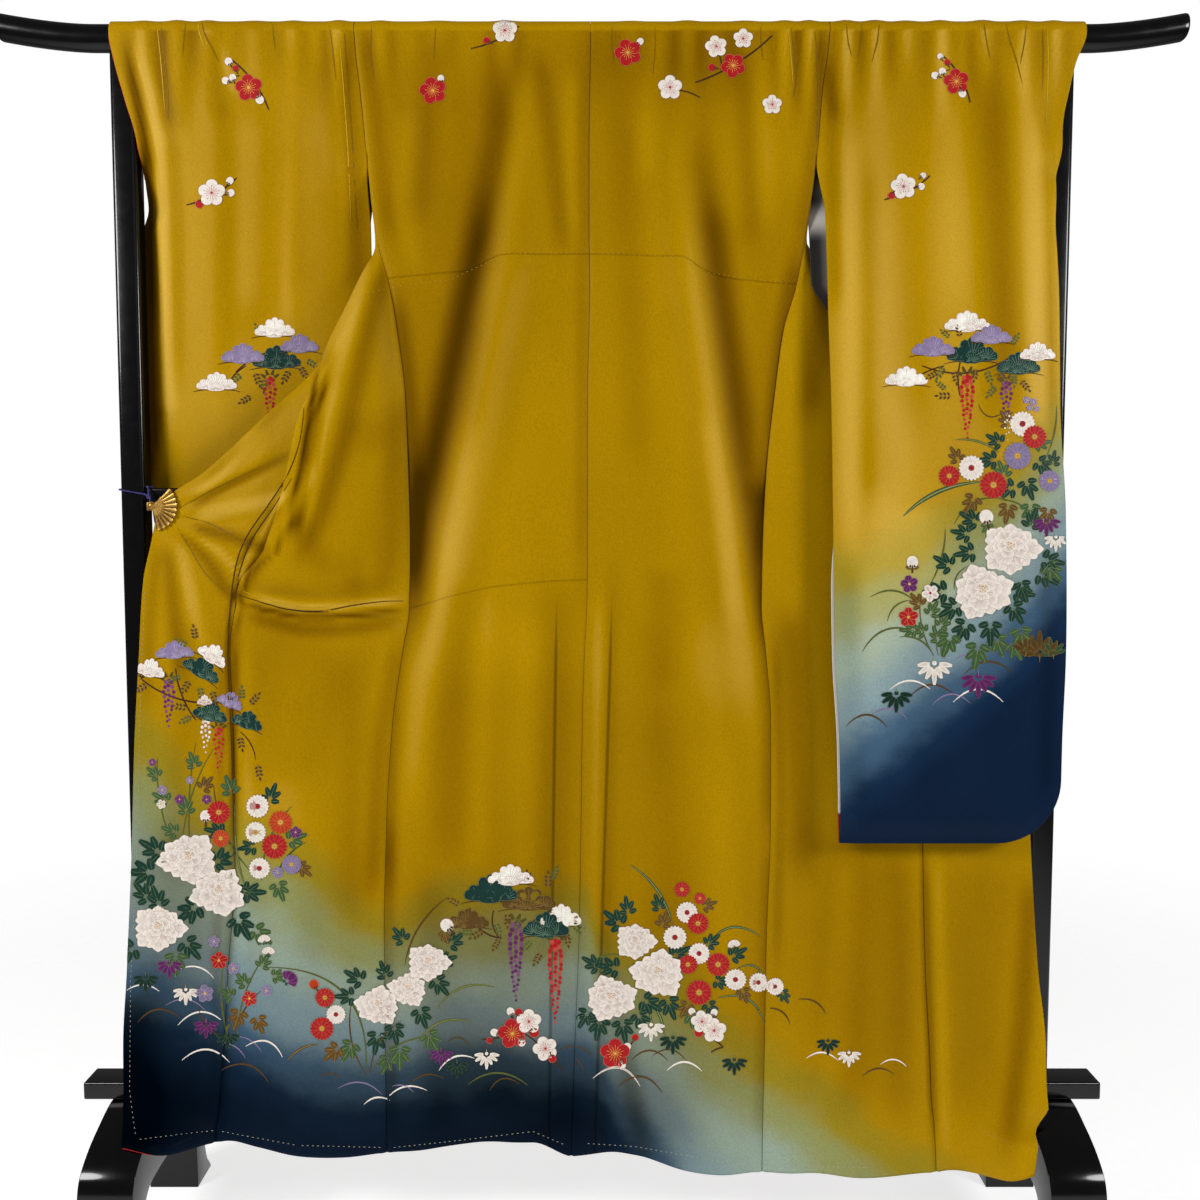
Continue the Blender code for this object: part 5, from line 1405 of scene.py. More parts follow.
def sleeve_place(side, across, z, layer):
    """On a sleeve's layer, across 0 at the body side to 1 at the cuff side."""
    table = LEFT_SLEEVE if side == "left" else RIGHT_SLEEVE
    sign = -1 if side == "left" else 1
    outer = sleeve_outer(table, "outer" if layer == "before" else "outer_behind", z)
    seam = BACK.at(side + "_side", z) + sign * SEAM_TIGHT
    inner = mix(table.at("inner", z), seam, smooth((z - 1.470) / (ARMHOLE_END - 1.470)))
    if layer == "behind":
        open_edge = smooth((z - 0.93) / 0.10) * (1 - smooth((z - 1.42) / 0.06))
        inner = inner + sign * REAR_DRAWN_IN * open_edge
        if side == "right":
            let_out = smooth((z - 1.290) / 0.05) * (1 - smooth((z - 1.470) / 0.05))
            inner = inner - REAR_LET_OUT * let_out
    if side == "left":
        past_post = PAST_POST + PAST_POST_LOW * smooth((1.45 - z) / 0.03)
        outer = outer - past_post * smooth((z - 0.95) / 0.1) * (1 - smooth((z - 1.50) / 0.06))
    if side == "right":
        outer = outer + CUFF_EASE * bump((z - CUFF_END - 0.008) / 0.045)
    x = mix(inner, outer, across)
    before, behind = table.at("before", z), table.at("behind", z)
    at_seam = smooth((z - 1.42) / 0.09) * (1 - smooth(np.abs(x - inner) / 0.10))
    before = mix(before, BACK.at("depth", z), at_seam)
    ripple = np.zeros(x.shape)
    for share, top, foot, half, rise in SLEEVE_FOLDS:
        fade = smooth((top - z) / 0.12) * smooth((z - foot) / 0.25)
        off = (across - share) * np.abs(outer - inner) / half
        ripple = ripple + rise * fade * bump(off)
    away = np.where(z > 1.45, smooth(np.abs(x - inner) / 0.03), 1.0)
    scale = 0.5 if side == "left" else 1.0
    fine = creases(SLEEVE_CREASES[side], x, z) * away
    before = before - ripple * away * scale - fine - puckers(x, BAR_CENTRE - z)
    behind = behind - ripple * away * scale * 0.8
    closing = 1 - smooth((1 - across) * np.abs(outer - inner) / 0.035)
    closing = np.maximum(closing, 1 - smooth((z - SLEEVE_BOTTOM) / 0.035))
    closing = closing * (1 - smooth((z - CUFF_END) / 0.05))
    middle = (before + behind) / 2
    if side == "left":
        beside_post = smooth((z - 1.26) / 0.10) * (1 - smooth((z - 1.455) / 0.03))
        middle = middle + BACK_OF_POST * beside_post
    before = mix(before, middle - LAYER_HALF_GAP, closing)
    behind = mix(behind, middle + LAYER_HALF_GAP, closing)
    return x, before if layer == "before" else behind, z


class MESH_OT_kimono_sleeves(bpy.types.Operator):
    """Make the two long sleeves, each a bag over the bar, open at cuff and body side"""

    bl_idname = "mesh.kimono_sleeves"
    bl_label = "Sleeves"

    def execute(self, context):
        for side in ("left", "right"):
            self.sleeve(side, context.scene.kimono_cloth)
        return {"FINISHED"}

    def opening_shade(self, across, z):
        """How dark the lining is inside the arm opening, lighter where light enters."""
        near_opening = 1 - smooth((across - 0.03) / 0.12)
        entering = 1 - 0.92 * bump((z - 1.426) / 0.015)
        return 0.97 * near_opening * entering * smooth((z - 1.15) / 0.05)

    def sleeve(self, side, cloth):
        width = SLEEVE_WIDTH
        shares = panel_shares(width, cloth.step)
        corner = SLEEVE_BOTTOM + SLEEVE_CORNER * (1 - np.cos(np.linspace(0, math.pi / 2, 18)))
        top = corner[-1]
        levels = np.concatenate([
            corner,
            np.linspace(top, CUFF_END, int((CUFF_END - top) / cloth.step))[1:],
            np.linspace(CUFF_END, BAR_CENTRE, int((BAR_CENTRE - CUFF_END) / cloth.step))[1:],
        ])
        across, z = np.meshgrid(shares, levels)
        before = sleeve_place(side, across, z, "before")
        behind = sleeve_place(side, across, z, "behind")
        turns = np.linspace(0, 1, cloth.turns + 1)[1:-1]
        wide, turn = np.meshgrid(shares, turns)
        flat_x = sleeve_place(side, wide, np.full(wide.shape, BAR_CENTRE), "before")[0]
        y, over_z = over_bar(turn, puckers(flat_x, 0.0) * (1 - turn))
        rows = [
            np.concatenate([before[k], (flat_x, y, over_z)[k], behind[k][::-1]])
            for k in range(3)
        ]
        near_seam = 1 - smooth(np.minimum(across, 1) * width / SEAM_DIP_WIDTH)
        dip = SEAM_DIP * near_seam * (z > ARMHOLE_END)
        rows[1][: len(levels)] += dip
        near_foot = 1 - smooth((rows[2] - SLEEVE_BOTTOM - 0.03) / 0.02)
        share = np.concatenate([across, wide, across[::-1]])
        near_cuff = smooth((share - 0.955) / 0.02)
        values = cloth_values(
            rows[0].shape, dye=body_dye(rows[0], rows[2], SLEEVE_DYE),
            shade=np.concatenate([
                fold_shade(SLEEVE_SHADES[side], *before), flat_x * 0,
                self.opening_shade(across, z)[::-1],
            ]),
            seam=np.where(rows[2] > ARMHOLE_END, share * width, UNSEWN),
            border=np.maximum(near_foot, near_cuff),
        )
        bm = cloth_sheet(*rows, values)
        bm.verts.ensure_lookup_table()
        columns, last = len(shares), rows[0].shape[0] - 1
        verts = list(bm.verts)
        for i in range(columns - 1):
            bm.faces.new((
                verts[i], verts[last * columns + i],
                verts[last * columns + i + 1], verts[i + 1],
            ))
        side_column = columns - 1
        sewn = int(np.sum(levels <= CUFF_END + 0.001)) - 1
        for j in range(sewn):
            bm.faces.new((
                verts[j * columns + side_column],
                verts[(j + 1) * columns + side_column],
                verts[(last - j - 1) * columns + side_column],
                verts[(last - j) * columns + side_column],
            ))
        outward(bm, Vector((0, -1, 0)))
        CLOTH_TREES["sleeve_" + side] = BVHTree.FromBMesh(bm)
        piece = keep_piece(
            "silk_sleeve_" + side, bm, silk(), ("sleeve_" + side,), (lining(),)
        )
        thicken_cloth(piece, cloth.wall)


class MESH_OT_kimono_collar(bpy.types.Operator):
    """Make the folded collar band, up one edge, behind the neck and down the other"""

    bl_idname = "mesh.kimono_collar"
    bl_label = "Collar"

    def execute(self, context):
        cloth = context.scene.kimono_cloth
        behind = WALL + SEAM_GAP + COLLAR_EASE
        z = np.linspace(1.052, 1.632, int(0.58 / cloth.step))
        outer, inner = [], []
        for side, sign in (("left", -1), ("right", 1)):
            x0, y0 = front_place(side, np.ones(z.shape), z)
            above, _ = front_place(side, np.ones(z.shape), z + 0.02)
            size = np.hypot(above - x0, 0.02)
            ax, az = (above - x0) / size, 0.02 / size
            lean = 0.006 + 0.004 * smooth((z - 1.10) / 0.3)
            edge = np.stack([x0, y0 + behind, z], axis=1)
            low = np.stack([
                x0 - sign * az * COLLAR_WIDTH, y0 + behind + lean, z + sign * ax * COLLAR_WIDTH,
            ], axis=1)
            if side == "right":
                edge, low = edge[::-1], low[::-1]
            outer.append(edge)
            inner.append(low)
        neck_depth = -CLOTH_BY_BAR + behind
        x = np.linspace(-NECK_HALF_WIDTH, NECK_HALF_WIDTH, 29)
        fixed = np.ones(x.shape)
        outer.insert(1, np.stack([x, fixed * neck_depth, fixed * COLLAR_TOP], axis=1))
        low = fixed * (COLLAR_TOP - COLLAR_WIDTH)
        inner.insert(1, np.stack([x * 0.62, fixed * (neck_depth + 0.010), low], axis=1))
        outer, inner = np.concatenate(outer), np.concatenate(inner)
        across = np.linspace(0, 1, 12)[None, :]
        rows = [outer[:, k, None] + (inner - outer)[:, k, None] * across for k in range(3)]
        roll = 0.0012 * np.sin(np.pi * across)
        values = cloth_values(rows[0].shape)
        bm = cloth_sheet(rows[0], rows[1] + roll, rows[2], values)
        bmesh.ops.recalc_face_normals(bm, faces=bm.faces)
        bm.normal_update()
        if sum(f.normal.y for f in bm.faces) < 0:
            bmesh.ops.reverse_faces(bm, faces=bm.faces)
        piece = keep_piece("silk_collar", bm, silk(), ("collar",), (silk(),))
        thicken_cloth(piece, cloth.wall)
        return {"FINISHED"}


def spline_through(points, steps):
    """A smooth line through points, with the given steps between each two."""
    points = [Vector(p) for p in points]
    knots = [0.0]
    for a, b in zip(points, points[1:]):
        knots.append(knots[-1] + (b - a).length)

    def slope(i):
        if i in (0, len(points) - 1):
            k = max(i - 1, 0)
            return (points[k + 1] - points[k]) / (knots[k + 1] - knots[k])
        before = (points[i] - points[i - 1]) / (knots[i] - knots[i - 1])
        after = (points[i + 1] - points[i]) / (knots[i + 1] - knots[i])
        mean = (points[i + 1] - points[i - 1]) / (knots[i + 1] - knots[i - 1])
        most = STEEPEST * min(before.length, after.length)
        return mean * min(1.0, most / max(mean.length, 1e-9))

    made = []
    for n in range(len(points) - 1):
        span = knots[n + 1] - knots[n]
        for k in range(steps):
            made.append(between(
                k / steps, span, points[n], points[n + 1], slope(n), slope(n + 1)
            ))
    made.append(points[-1])
    return made


def grow_tube(bm, line, radius, sides=10):
    """A round tube along a line of points, closed at both ends. Radius may vary."""
    start = len(bm.verts)
    radii = radius if hasattr(radius, "__len__") else [radius] * len(line)
    along = [(line[min(n + 1, len(line) - 1)] - line[max(n - 1, 0)]).normalized()
             for n in range(len(line))]
    up = Vector((0, 0, 1)) if abs(along[0].z) < 0.9 else Vector((0, 1, 0))
    rings = []
    for point, way, r in zip(line, along, radii):
        across = way.cross(up).normalized()
        up = across.cross(way).normalized()
        made = bmesh.ops.create_circle(bm, segments=sides, radius=r)["verts"]
        frame_matrix = Matrix((across, up, way)).transposed().to_4x4()
        frame_matrix.translation = point
        bmesh.ops.transform(bm, matrix=frame_matrix, verts=made)
        rings.append(made)
    for a, b in zip(rings, rings[1:]):
        for k in range(sides):
            bm.faces.new((a[k], a[(k + 1) % sides], b[(k + 1) % sides], b[k]))
    bm.faces.new(rings[0][::-1])
    bm.faces.new(rings[-1])
    bm.verts.ensure_lookup_table()
    return bm.verts[start:]


def sharpen(piece, degrees=35):
    piece.data.set_sharp_from_angle(angle=math.radians(degrees))
    return piece


def round_edges(bm, edges, offset, segments, **settings):
    bmesh.ops.bevel(
        bm, geom=edges, offset=offset, segments=segments, profile=0.5, affect="EDGES",
        material=-1, **settings,
    )


def add_box(bm, low, high, edge, segments):
    """A box with rounded edges between two corners."""
    made = bmesh.ops.create_cube(bm, size=1.0)["verts"]
    bmesh.ops.scale(bm, vec=[high[k] - low[k] for k in range(3)], verts=made)
    bmesh.ops.translate(bm, vec=[(high[k] + low[k]) / 2 for k in range(3)], verts=made)
    inside = set(made)
    round_edges(bm, [e for e in bm.edges if e.verts[0] in inside], edge, segments)


def lacquer_box(name, edge):
    """A post or rail with rounded edges, standing for the CAD node of that name."""
    bm = bmesh.new()
    add_box(bm, *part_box(name), edge, 6)
    sharpen(keep_piece("lacquer_" + name, bm, lacquer(), (name,)))


class MESH_OT_kimono_stand(bpy.types.Operator):
    """Make the lacquered stand: the bar with raised ends, posts, rails and feet"""

    bl_idname = "mesh.kimono_stand"
    bl_label = "Stand"

    def execute(self, context):
        self.bar()
        for side in ("left", "right"):
            lacquer_box("post_" + side, POST_EDGE)
            self.foot(side)
        for rail in ("middle_rail", "bottom_rail"):
            lacquer_box(rail, RAIL_EDGE)
        return {"FINISHED"}

    def bar(self):
        around, bends = 40, 16
        bent = np.linspace(BAR_BEND_START, BAR_HALF_LENGTH, bends + 1)
        places = np.concatenate([-bent[::-1], bent])
        bm = bmesh.new()
        bmesh.ops.create_grid(bm, x_segments=len(places) - 1, y_segments=around, size=1.0)
        for v in bm.verts:
            i = round((v.co.x + 1) / 2 * (len(places) - 1))
            j = round((v.co.y + 1) / 2 * around)
            angle = 2 * math.pi * j / around
            c, s = math.cos(angle), math.sin(angle)
            x = places[i]
            beyond = max(abs(x) - BAR_BEND_START, 0) / (BAR_HALF_LENGTH - BAR_BEND_START)
            round_y = BAR_HALF_DEPTH * math.copysign(abs(c) ** BAR_ROUNDNESS, c)
            round_z = BAR_HALF_HEIGHT * math.copysign(abs(s) ** BAR_ROUNDNESS, s)
            v.co = (x, round_y, BAR_CENTRE + BAR_END_RISE * beyond**1.6 + round_z)
        bmesh.ops.remove_doubles(bm, verts=bm.verts, dist=1e-6)
        ends = bmesh.ops.holes_fill(bm, edges=bm.edges, sides=0)["faces"]
        bmesh.ops.recalc_face_normals(bm, faces=bm.faces)
        round_edges(bm, [e for f in ends for e in f.edges], BAR_EDGE, 5)
        sharpen(keep_piece("lacquer_top_bar", bm, lacquer(), ("top_bar",)))

    def foot(self, side):
        sign = -1 if side == "left" else 1
        top = spline_through([(*p, 0) for p in FOOT_TOP], 5)
        arch = spline_through([(*p, 0) for p in FOOT_ARCH], 4)
        front = [(-p.x, p.y) for p in top] + [(-p.x, p.y) for p in arch]
        rear = [(-y, z) for y, z in front[::-1]]
        x = sign * FOOT_X - FOOT_WIDTH / 2
        bm = bmesh.new()
        outline = [bm.verts.new((x, y, z)) for y, z in front[:-1] + rear[:-1]]
        face = bm.faces.new(outline)
        pushed = bmesh.ops.extrude_face_region(bm, geom=[face])
        moved = [v for v in pushed["geom"] if isinstance(v, bmesh.types.BMVert)]
        bmesh.ops.translate(bm, vec=(FOOT_WIDTH, 0, 0), verts=moved)
        bmesh.ops.recalc_face_normals(bm, faces=bm.faces)
        caps = [f for f in bm.faces if len(f.verts) > 4]
        rims = list({e for f in caps for e in f.edges})
        round_edges(bm, rims, FOOT_EDGE, 4, clamp_overlap=True)
        caps = [f for f in bm.faces if len(f.verts) > 4]
        bmesh.ops.triangulate(bm, faces=caps)
        name = "lacquer_foot_" + side
        sharpen(keep_piece(name, bm, lacquer(), ("foot_" + side,)))


def brass_material(colours):
    """Old gold-coloured brass, dark between the ribs and worn bright on them."""
    nodes = Nodes("antique_brass")
    wear = nodes.noise(nodes.place(), 900.0, 4.0)
    tone = nodes.ramp(wear, ((0.30, paint(126, 88, 30)), (0.70, paint(196, 154, 74))))
    colour = nodes.tinted(tone, nodes.value("rib"), 0.10, (0.10, 0.08, 0.05), 0.55)
    nodes.set(
        Base_Color=colour, Roughness=nodes.spread(wear, 0.28, 0.52), Metallic=0.75,
        Normal=nodes.raise_by(wear, 0.00012, 0.6),
    )
    return nodes.material


def cord_material(colours):
    """Dark indigo silk cord with the fine lay of its threads."""
    nodes = Nodes("indigo_cord")
    thread = nodes.noise(nodes.place(), 2600.0, 3.0)
    tone = nodes.ramp(thread, ((0.30, paint(18, 14, 70)), (0.70, paint(62, 54, 150))))
    nodes.set(
        Base_Color=tone, Roughness=0.6, Normal=nodes.raise_by(thread, 0.00008, 0.6),
        Sheen_Weight=0.2, Sheen_Roughness=0.4,
    )
    return nodes.material


class MESH_OT_kimono_clip(bpy.types.Operator):
    """Make the fan-shaped clip: ribbed fan, boss over its pivot, and the jaw"""

    bl_idname = "mesh.kimono_clip"
    bl_label = "Fan Clip"

    def execute(self, context):
        px, pz = CLIP_PIVOT
        depth, slope = CLIP_FACE
        start, stop = (math.radians(a) for a in CLIP_OPEN)
        around, outwards = CLIP_RIBS * 6, 18
        bm = bmesh.new()
        rib = bm.verts.layers.float.new("rib")
        fan = bmesh.ops.create_grid(
            bm, x_segments=around, y_segments=outwards, size=1.0,
        )["verts"]
        for vert in fan:
            u, t = (vert.co.x + 1) / 2, (vert.co.y + 1) / 2
            ridge = abs(math.sin(math.pi * u * CLIP_RIBS)) ** 0.7
            scallop = 1 - 0.05 * (1 - ridge) * smooth((t - 0.8) / 0.2)
            radius = mix(0.0030, CLIP_RADIUS, t) * scallop
            inner = 1 - smooth((radius - CLIP_HUB) / 0.0014)
            angle = mix(start, stop, u)
            raised = mix(0.0010 * ridge, 0.0012, inner) + 0.0003 * smooth((t - 0.93) / 0.03)
            x = px + radius * math.cos(angle)
            y = depth + slope * (x - px) - CLIP_PLATE - float(raised)
            vert.co = (x, y, pz + radius * math.sin(angle))
            vert[rib] = float(max(ridge, inner * 0.75))
        ring = [e for e in bm.edges if e.is_boundary]
        pushed = bmesh.ops.extrude_edge_only(bm, edges=ring)["geom"]
        for vert in (g for g in pushed if isinstance(g, bmesh.types.BMVert)):
            vert.co.y = depth + slope * (vert.co.x - px)
        bmesh.ops.holes_fill(bm, edges=[e for e in bm.edges if e.is_boundary], sides=0)
        boss = bmesh.ops.create_uvsphere(bm, u_segments=20, v_segments=12, radius=CLIP_BOSS)["verts"]
        bmesh.ops.scale(bm, vec=(1, 0.7, 1), verts=boss)
        bmesh.ops.translate(bm, vec=(px - 0.0015, depth - 0.0030, pz), verts=boss)
        rim = spline_through([
            (px - 0.0015 + CLIP_RING * math.cos(a), depth - 0.0026, pz + CLIP_RING * math.sin(a))
            for a in np.linspace(0, 2 * math.pi, 13)
        ], 3)
        grow_tube(bm, rim, 0.0007, 8)
        jaw_back = CLIP_JAW_BACK
        foot, top, end = pz - 0.0060, pz + 0.0050, px - 0.0085
        add_box(bm, (end, depth - 0.0026, foot), (px - 0.0052, jaw_back, top), JAW_EDGE, 3)
        add_box(bm, (end, jaw_back - 0.0018, foot), (px + 0.0140, jaw_back, top), JAW_EDGE, 3)
        for vert in bm.verts:
            if vert not in fan and vert.co.x < px + 0.004 and vert[rib] == 0:
                vert[rib] = 1.0
        bmesh.ops.recalc_face_normals(bm, faces=bm.faces)
        finish = shared_material("antique_brass", brass_material)
        sharpen(keep_piece("brass_fan_clip", bm, finish, ("fan_clip",)), 50)
        return {"FINISHED"}


class MESH_OT_kimono_tie(bpy.types.Operator):
    """Make the indigo cord from the clip round the post, twisted from two strands"""

    bl_idname = "mesh.kimono_tie"
    bl_label = "Tie Cord"

    def execute(self, context):
        finish = shared_material("indigo_cord", cord_material)
        low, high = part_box("post_left")
        rail_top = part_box("middle_rail")[1][2]
        out = TIE_DIAMETER / 2 + TIE_ROOM
        left, right = low[0] - out, high[0] + out
        near, far = low[1] - out, high[1] + out
        middle = (low[0] + high[0]) / 2
        over_rail = rail_top + out + 0.0004
        knot = Vector(TIE_KNOT)
        leaves = Vector((-0.6120, -0.0195, 1.0590))
        returns = Vector((right + 0.0050, near - 0.0030, 1.0635))
        corner, cut, start = 0.0050, 0.0014, TIE_START
        rise = (over_rail - start) / 3
        route = [
            knot + (leaves - knot).normalized() * 0.0030, leaves,
            (-0.6200, near, 1.0605), (left + corner, near, 1.0650),
            (left + cut, near + cut, start), (left, near + corner, start + rise * 0.5),
            (left, far - corner, start + rise), (left + cut, far - cut, start + rise * 1.2),
            (left + corner, far, start + rise * 1.4), (middle, far, start + rise * 2),
            (right - corner, far, over_rail), (right - cut, far - cut, over_rail),
            (right, far - corner, over_rail), (right, 0, over_rail),
            (right, near + corner, over_rail), (right + 0.0030, near + 0.0010, 1.0680),
            returns, knot + (returns - knot).normalized() * 0.0030,
        ]
        self.cord("cord_tie_loop", spline_through(route, 14), finish, ("tie_cord",))
        px, pz = CLIP_PIVOT
        clip_side = Vector((px - 0.0035, CLIP_FACE[0] - 0.0022, pz + JAW_TOP + 0.0012))
        link = [
            knot + Vector((0.0022, -0.0022, -0.0010)), (-0.6015, -0.0350, 1.0545),
            clip_side + Vector((-0.0012, 0.0016, 0.0042)), clip_side + Vector((0, 0, 0.0016)),
            clip_side,
        ]
        self.cord("cord_tie_link", spline_through(link, 14), finish, ("tie_link",))
        turns = [
            knot + 0.0026 * Vector((
                math.sin(math.pi * t) * math.cos(9 * math.pi * t),
                math.sin(math.pi * t) * math.sin(9 * math.pi * t), math.cos(math.pi * t),
            )) for t in np.linspace(0.04, 0.96, 90)
        ]
        bm = bmesh.new()
        grow_tube(bm, turns, 0.00085, 8)
        bmesh.ops.create_uvsphere(
            bm, u_segments=12, v_segments=8, radius=0.0021, matrix=Matrix.Translation(knot),
        )
        keep_piece("cord_tie_knot", bm, finish, ("tie_knot",))
        return {"FINISHED"}

    def cord(self, name, line, finish, nodes):
        bm = bmesh.new()
        strand = TIE_DIAMETER / 4
        length = 0.0
        lines = ([], [])
        for n, point in enumerate(line):
            way = (line[min(n + 1, len(line) - 1)] - line[max(n - 1, 0)]).normalized()
            length += (point - line[n - 1]).length if n else 0.0
            aside = way.cross(Vector((0.3, 0.1, 1))).normalized()
            above = aside.cross(way)
            turn = 2 * math.pi * length / CORD_PITCH
            off = strand * (math.cos(turn) * aside + math.sin(turn) * above)
            lines[0].append(point + off)
            lines[1].append(point - off)
        for strand_line in lines:
            grow_tube(bm, strand_line, strand * 1.12, 7)
        keep_piece(name, bm, finish, nodes)


class MESH_OT_kimono_rolls(bpy.types.Operator):
    """Make the red lining's narrow rolls at the left cuff and the wing's lower corner"""

    bl_idname = "mesh.kimono_rolls"
    bl_label = "Red Rolls"

    def execute(self, context):
        finish = shared_material("red_lining_roll", red_material)
        heights = np.linspace(BAR_CENTRE - 0.004, CUFF_END + 0.012, 40)
        x, y, z = sleeve_place("left", np.ones(heights.shape), heights, "before")
        self.roll("roll_cuff_left", x, y, z, finish)
        across = np.linspace(0.90, 0.998, 24)
        x, y, z = front_sheet("left", across, np.full(across.shape, 0.0))
        self.roll("roll_hem_left", x, y, z - 0.0004, finish)
        return {"FINISHED"}

    def roll(self, name, x, y, z, finish):
        bm = bmesh.new()
        grow_tube(bm, [Vector(p) for p in zip(x, y, z)], ROLL_RADIUS, 8)
        keep_piece(name, bm, finish)


# The dyes of the flowers: fill, edge line, heart. The last three are not dyes but the painted shadow
# and painted highlight of the crease lines.
INKS = {
    "red": ((176, 24, 30), (226, 140, 96), (226, 176, 76)),
    "orange": ((190, 58, 26), (230, 160, 86), (230, 186, 84)),
    "white": ((240, 230, 218), (182, 140, 132), (172, 40, 46)),
    "cream": ((238, 230, 216), (190, 160, 140), (210, 164, 72)),
    "lilac": ((132, 116, 152), (186, 174, 194), (226, 176, 66)),
    "purple": ((96, 34, 92), (170, 112, 158), (224, 176, 92)),
    "green": ((16, 48, 38), (104, 124, 84), (150, 150, 90)),
    "pine": ((16, 50, 46), (116, 148, 122), (120, 110, 60)),
    "leaf": ((52, 78, 44), (138, 146, 92), (150, 150, 90)),
    "brown": ((86, 62, 22), (156, 124, 62), (160, 120, 60)),
    "olive": ((88, 94, 40), (132, 136, 70), (150, 150, 80)),
    "bark": ((66, 40, 18), (120, 84, 50), (120, 84, 50)),
    "gold": ((190, 132, 34), (226, 184, 88), (150, 40, 30)),
    "mist": ((196, 200, 206), (226, 228, 230), (226, 228, 230)),
    "thread": ((190, 150, 44), (226, 184, 88), (226, 184, 88)),
    "basting": ((176, 168, 146), (226, 228, 230), (226, 228, 230)),
    "fold": ((128, 94, 2), (128, 94, 2), (128, 94, 2)),
    "deep_fold": ((74, 52, 2), (74, 52, 2), (74, 52, 2)),
    "ridge": ((190, 150, 24), (190, 150, 24), (190, 150, 24)),
}

# Painted shadow and painted highlight along the sharp lines of the folds and gathers, finer than the
# cloth's
# mesh: from the first point through the others, then width and tone.
CREASE_LINES = {
    "body": (
        ("crease", 305, 400,
         ((300, 440), (288, 474), (268, 506), (251, 530), (240, 552), (234, 578),
          (231, 605), (228, 640), (229, 690), (232, 760), (234, 870)), 1.3, "deep_fold"),
        ("crease", 292, 478,
         ((272, 510), (256, 533), (245, 556), (238, 580), (236, 600), (232, 626)),
         1.2, "deep_fold"),
        ("crease", 236, 594,
         ((262, 602), (290, 609), (322, 611), (350, 606), (380, 602), (404, 601)),
         1.3, "deep_fold"),
        ("crease", 240, 590,
         ((262, 598), (290, 605), (322, 607), (350, 602), (380, 598)), 1.0, "ridge"),
        ("crease", 180, 508, ((204, 494), (232, 480), (262, 466)), 1.0, "fold"),
        ("crease", 182, 516, ((206, 522), (230, 534), (252, 548)), 1.0, "fold"),
        ("crease", 176, 524, ((190, 548), (206, 574), (226, 592)), 1.0, "fold"),
        ("crease", 791, 28, ((794, 60), (796, 80), (793, 98)), 1.4, "fold"),
        ("crease", 788, 28, ((791, 60), (793, 84)), 1.2, "ridge"),
        ("crease", 814, 27, ((817, 60), (818, 100), (816, 140)), 1.1, "fold"),
        ("crease", 372, 27, ((371, 50), (374, 80)), 1.1, "fold"),
        ("crease", 436, 27, ((435, 42), (434, 60)), 0.9, "fold"),
        ("crease", 612, 27, ((612, 45), (614, 62)), 0.9, "fold"),
        ("crease", 655, 27, ((655, 50), (653, 75)), 0.9, "fold"),
        ("crease", 760, 27, ((761, 44), (763, 60)), 0.9, "fold"),
    ),
    "sleeve_left": (
        ("crease", 161, 24, ((164, 50), (168, 90), (169, 120)), 1.2, "fold"),
        ("crease", 157, 24, ((161, 60), (165, 110)), 1.2, "ridge"),
        ("crease", 202, 22, ((205, 34), (212, 48), (219, 62)), 1.6, "fold"),
        ("crease", 198, 22, ((200, 34), (206, 50)), 1.2, "ridge"),
        ("crease", 186, 24, ((184, 40), (183, 56)), 1.0, "fold"),
        ("crease", 344, 26, ((347, 70), (353, 150), (357, 230)), 1.1, "fold"),
        ("crease", 338, 26, ((342, 70), (348, 150), (351, 220)), 1.2, "ridge"),
        ("crease", 330, 26, ((333, 50), (336, 80)), 1.1, "fold"),
        ("crease", 273, 25, ((274, 38), (276, 50)), 0.9, "fold"),
    ),
    "sleeve_right": (
        ("crease", 846, 25, ((848, 42), (851, 56)), 1.1, "fold"),
        ("crease", 862, 25, ((861, 40), (858, 56)), 1.1, "fold"),
        ("crease", 879, 25, ((877, 42), (872, 62)), 1.3, "fold"),
        ("crease", 883, 25, ((881, 42), (878, 60)), 1.1, "ridge"),
        ("crease", 984, 25, ((986, 40), (990, 60)), 1.2, "fold"),
        ("crease", 980, 25, ((982, 42), (986, 58)), 1.1, "ridge"),
        ("crease", 1006, 25, ((1010, 42), (1016, 60), (1022, 84)), 1.2, "fold"),
        ("crease", 1026, 25, ((1024, 44), (1020, 64)), 1.2, "fold"),
        ("crease", 1042, 25, ((1043, 50), (1042, 90)), 1.1, "fold"),
        ("crease", 1047, 25, ((1048, 60), (1046, 120)), 1.2, "ridge"),
    ),
}

# Running stitches on the back, by the photo's pixels: the points each row goes through,
# and its thread.
STITCH_PITCH = 5
STITCHES = (
    (((352, 296), (398, 287)), "thread"),
    (((400, 286), (450, 280)), "thread"),
    (((452, 279), (500, 257)), "thread"),
    (((504, 253), (586, 253)), "thread"),
    (((592, 253), (680, 257)), "thread"),
    (((682, 258), (706, 272)), "thread"),
    (((708, 273), (790, 284)), "thread"),
    (((145, 592), (141, 700), (137, 860), (131, 980), (130, 1090), (136, 1138)), "basting"),
    (((140, 1140), (216, 1130)), "basting"),
    (((222, 1131), (298, 1145)), "basting"),
    (((302, 1145), (384, 1147)), "basting"),
    (((394, 1147), (459, 1140), (533, 1131), (566, 1145)), "basting"),
    (((588, 1143), (635, 1146), (737, 1164), (868, 1167)), "basting"),
)

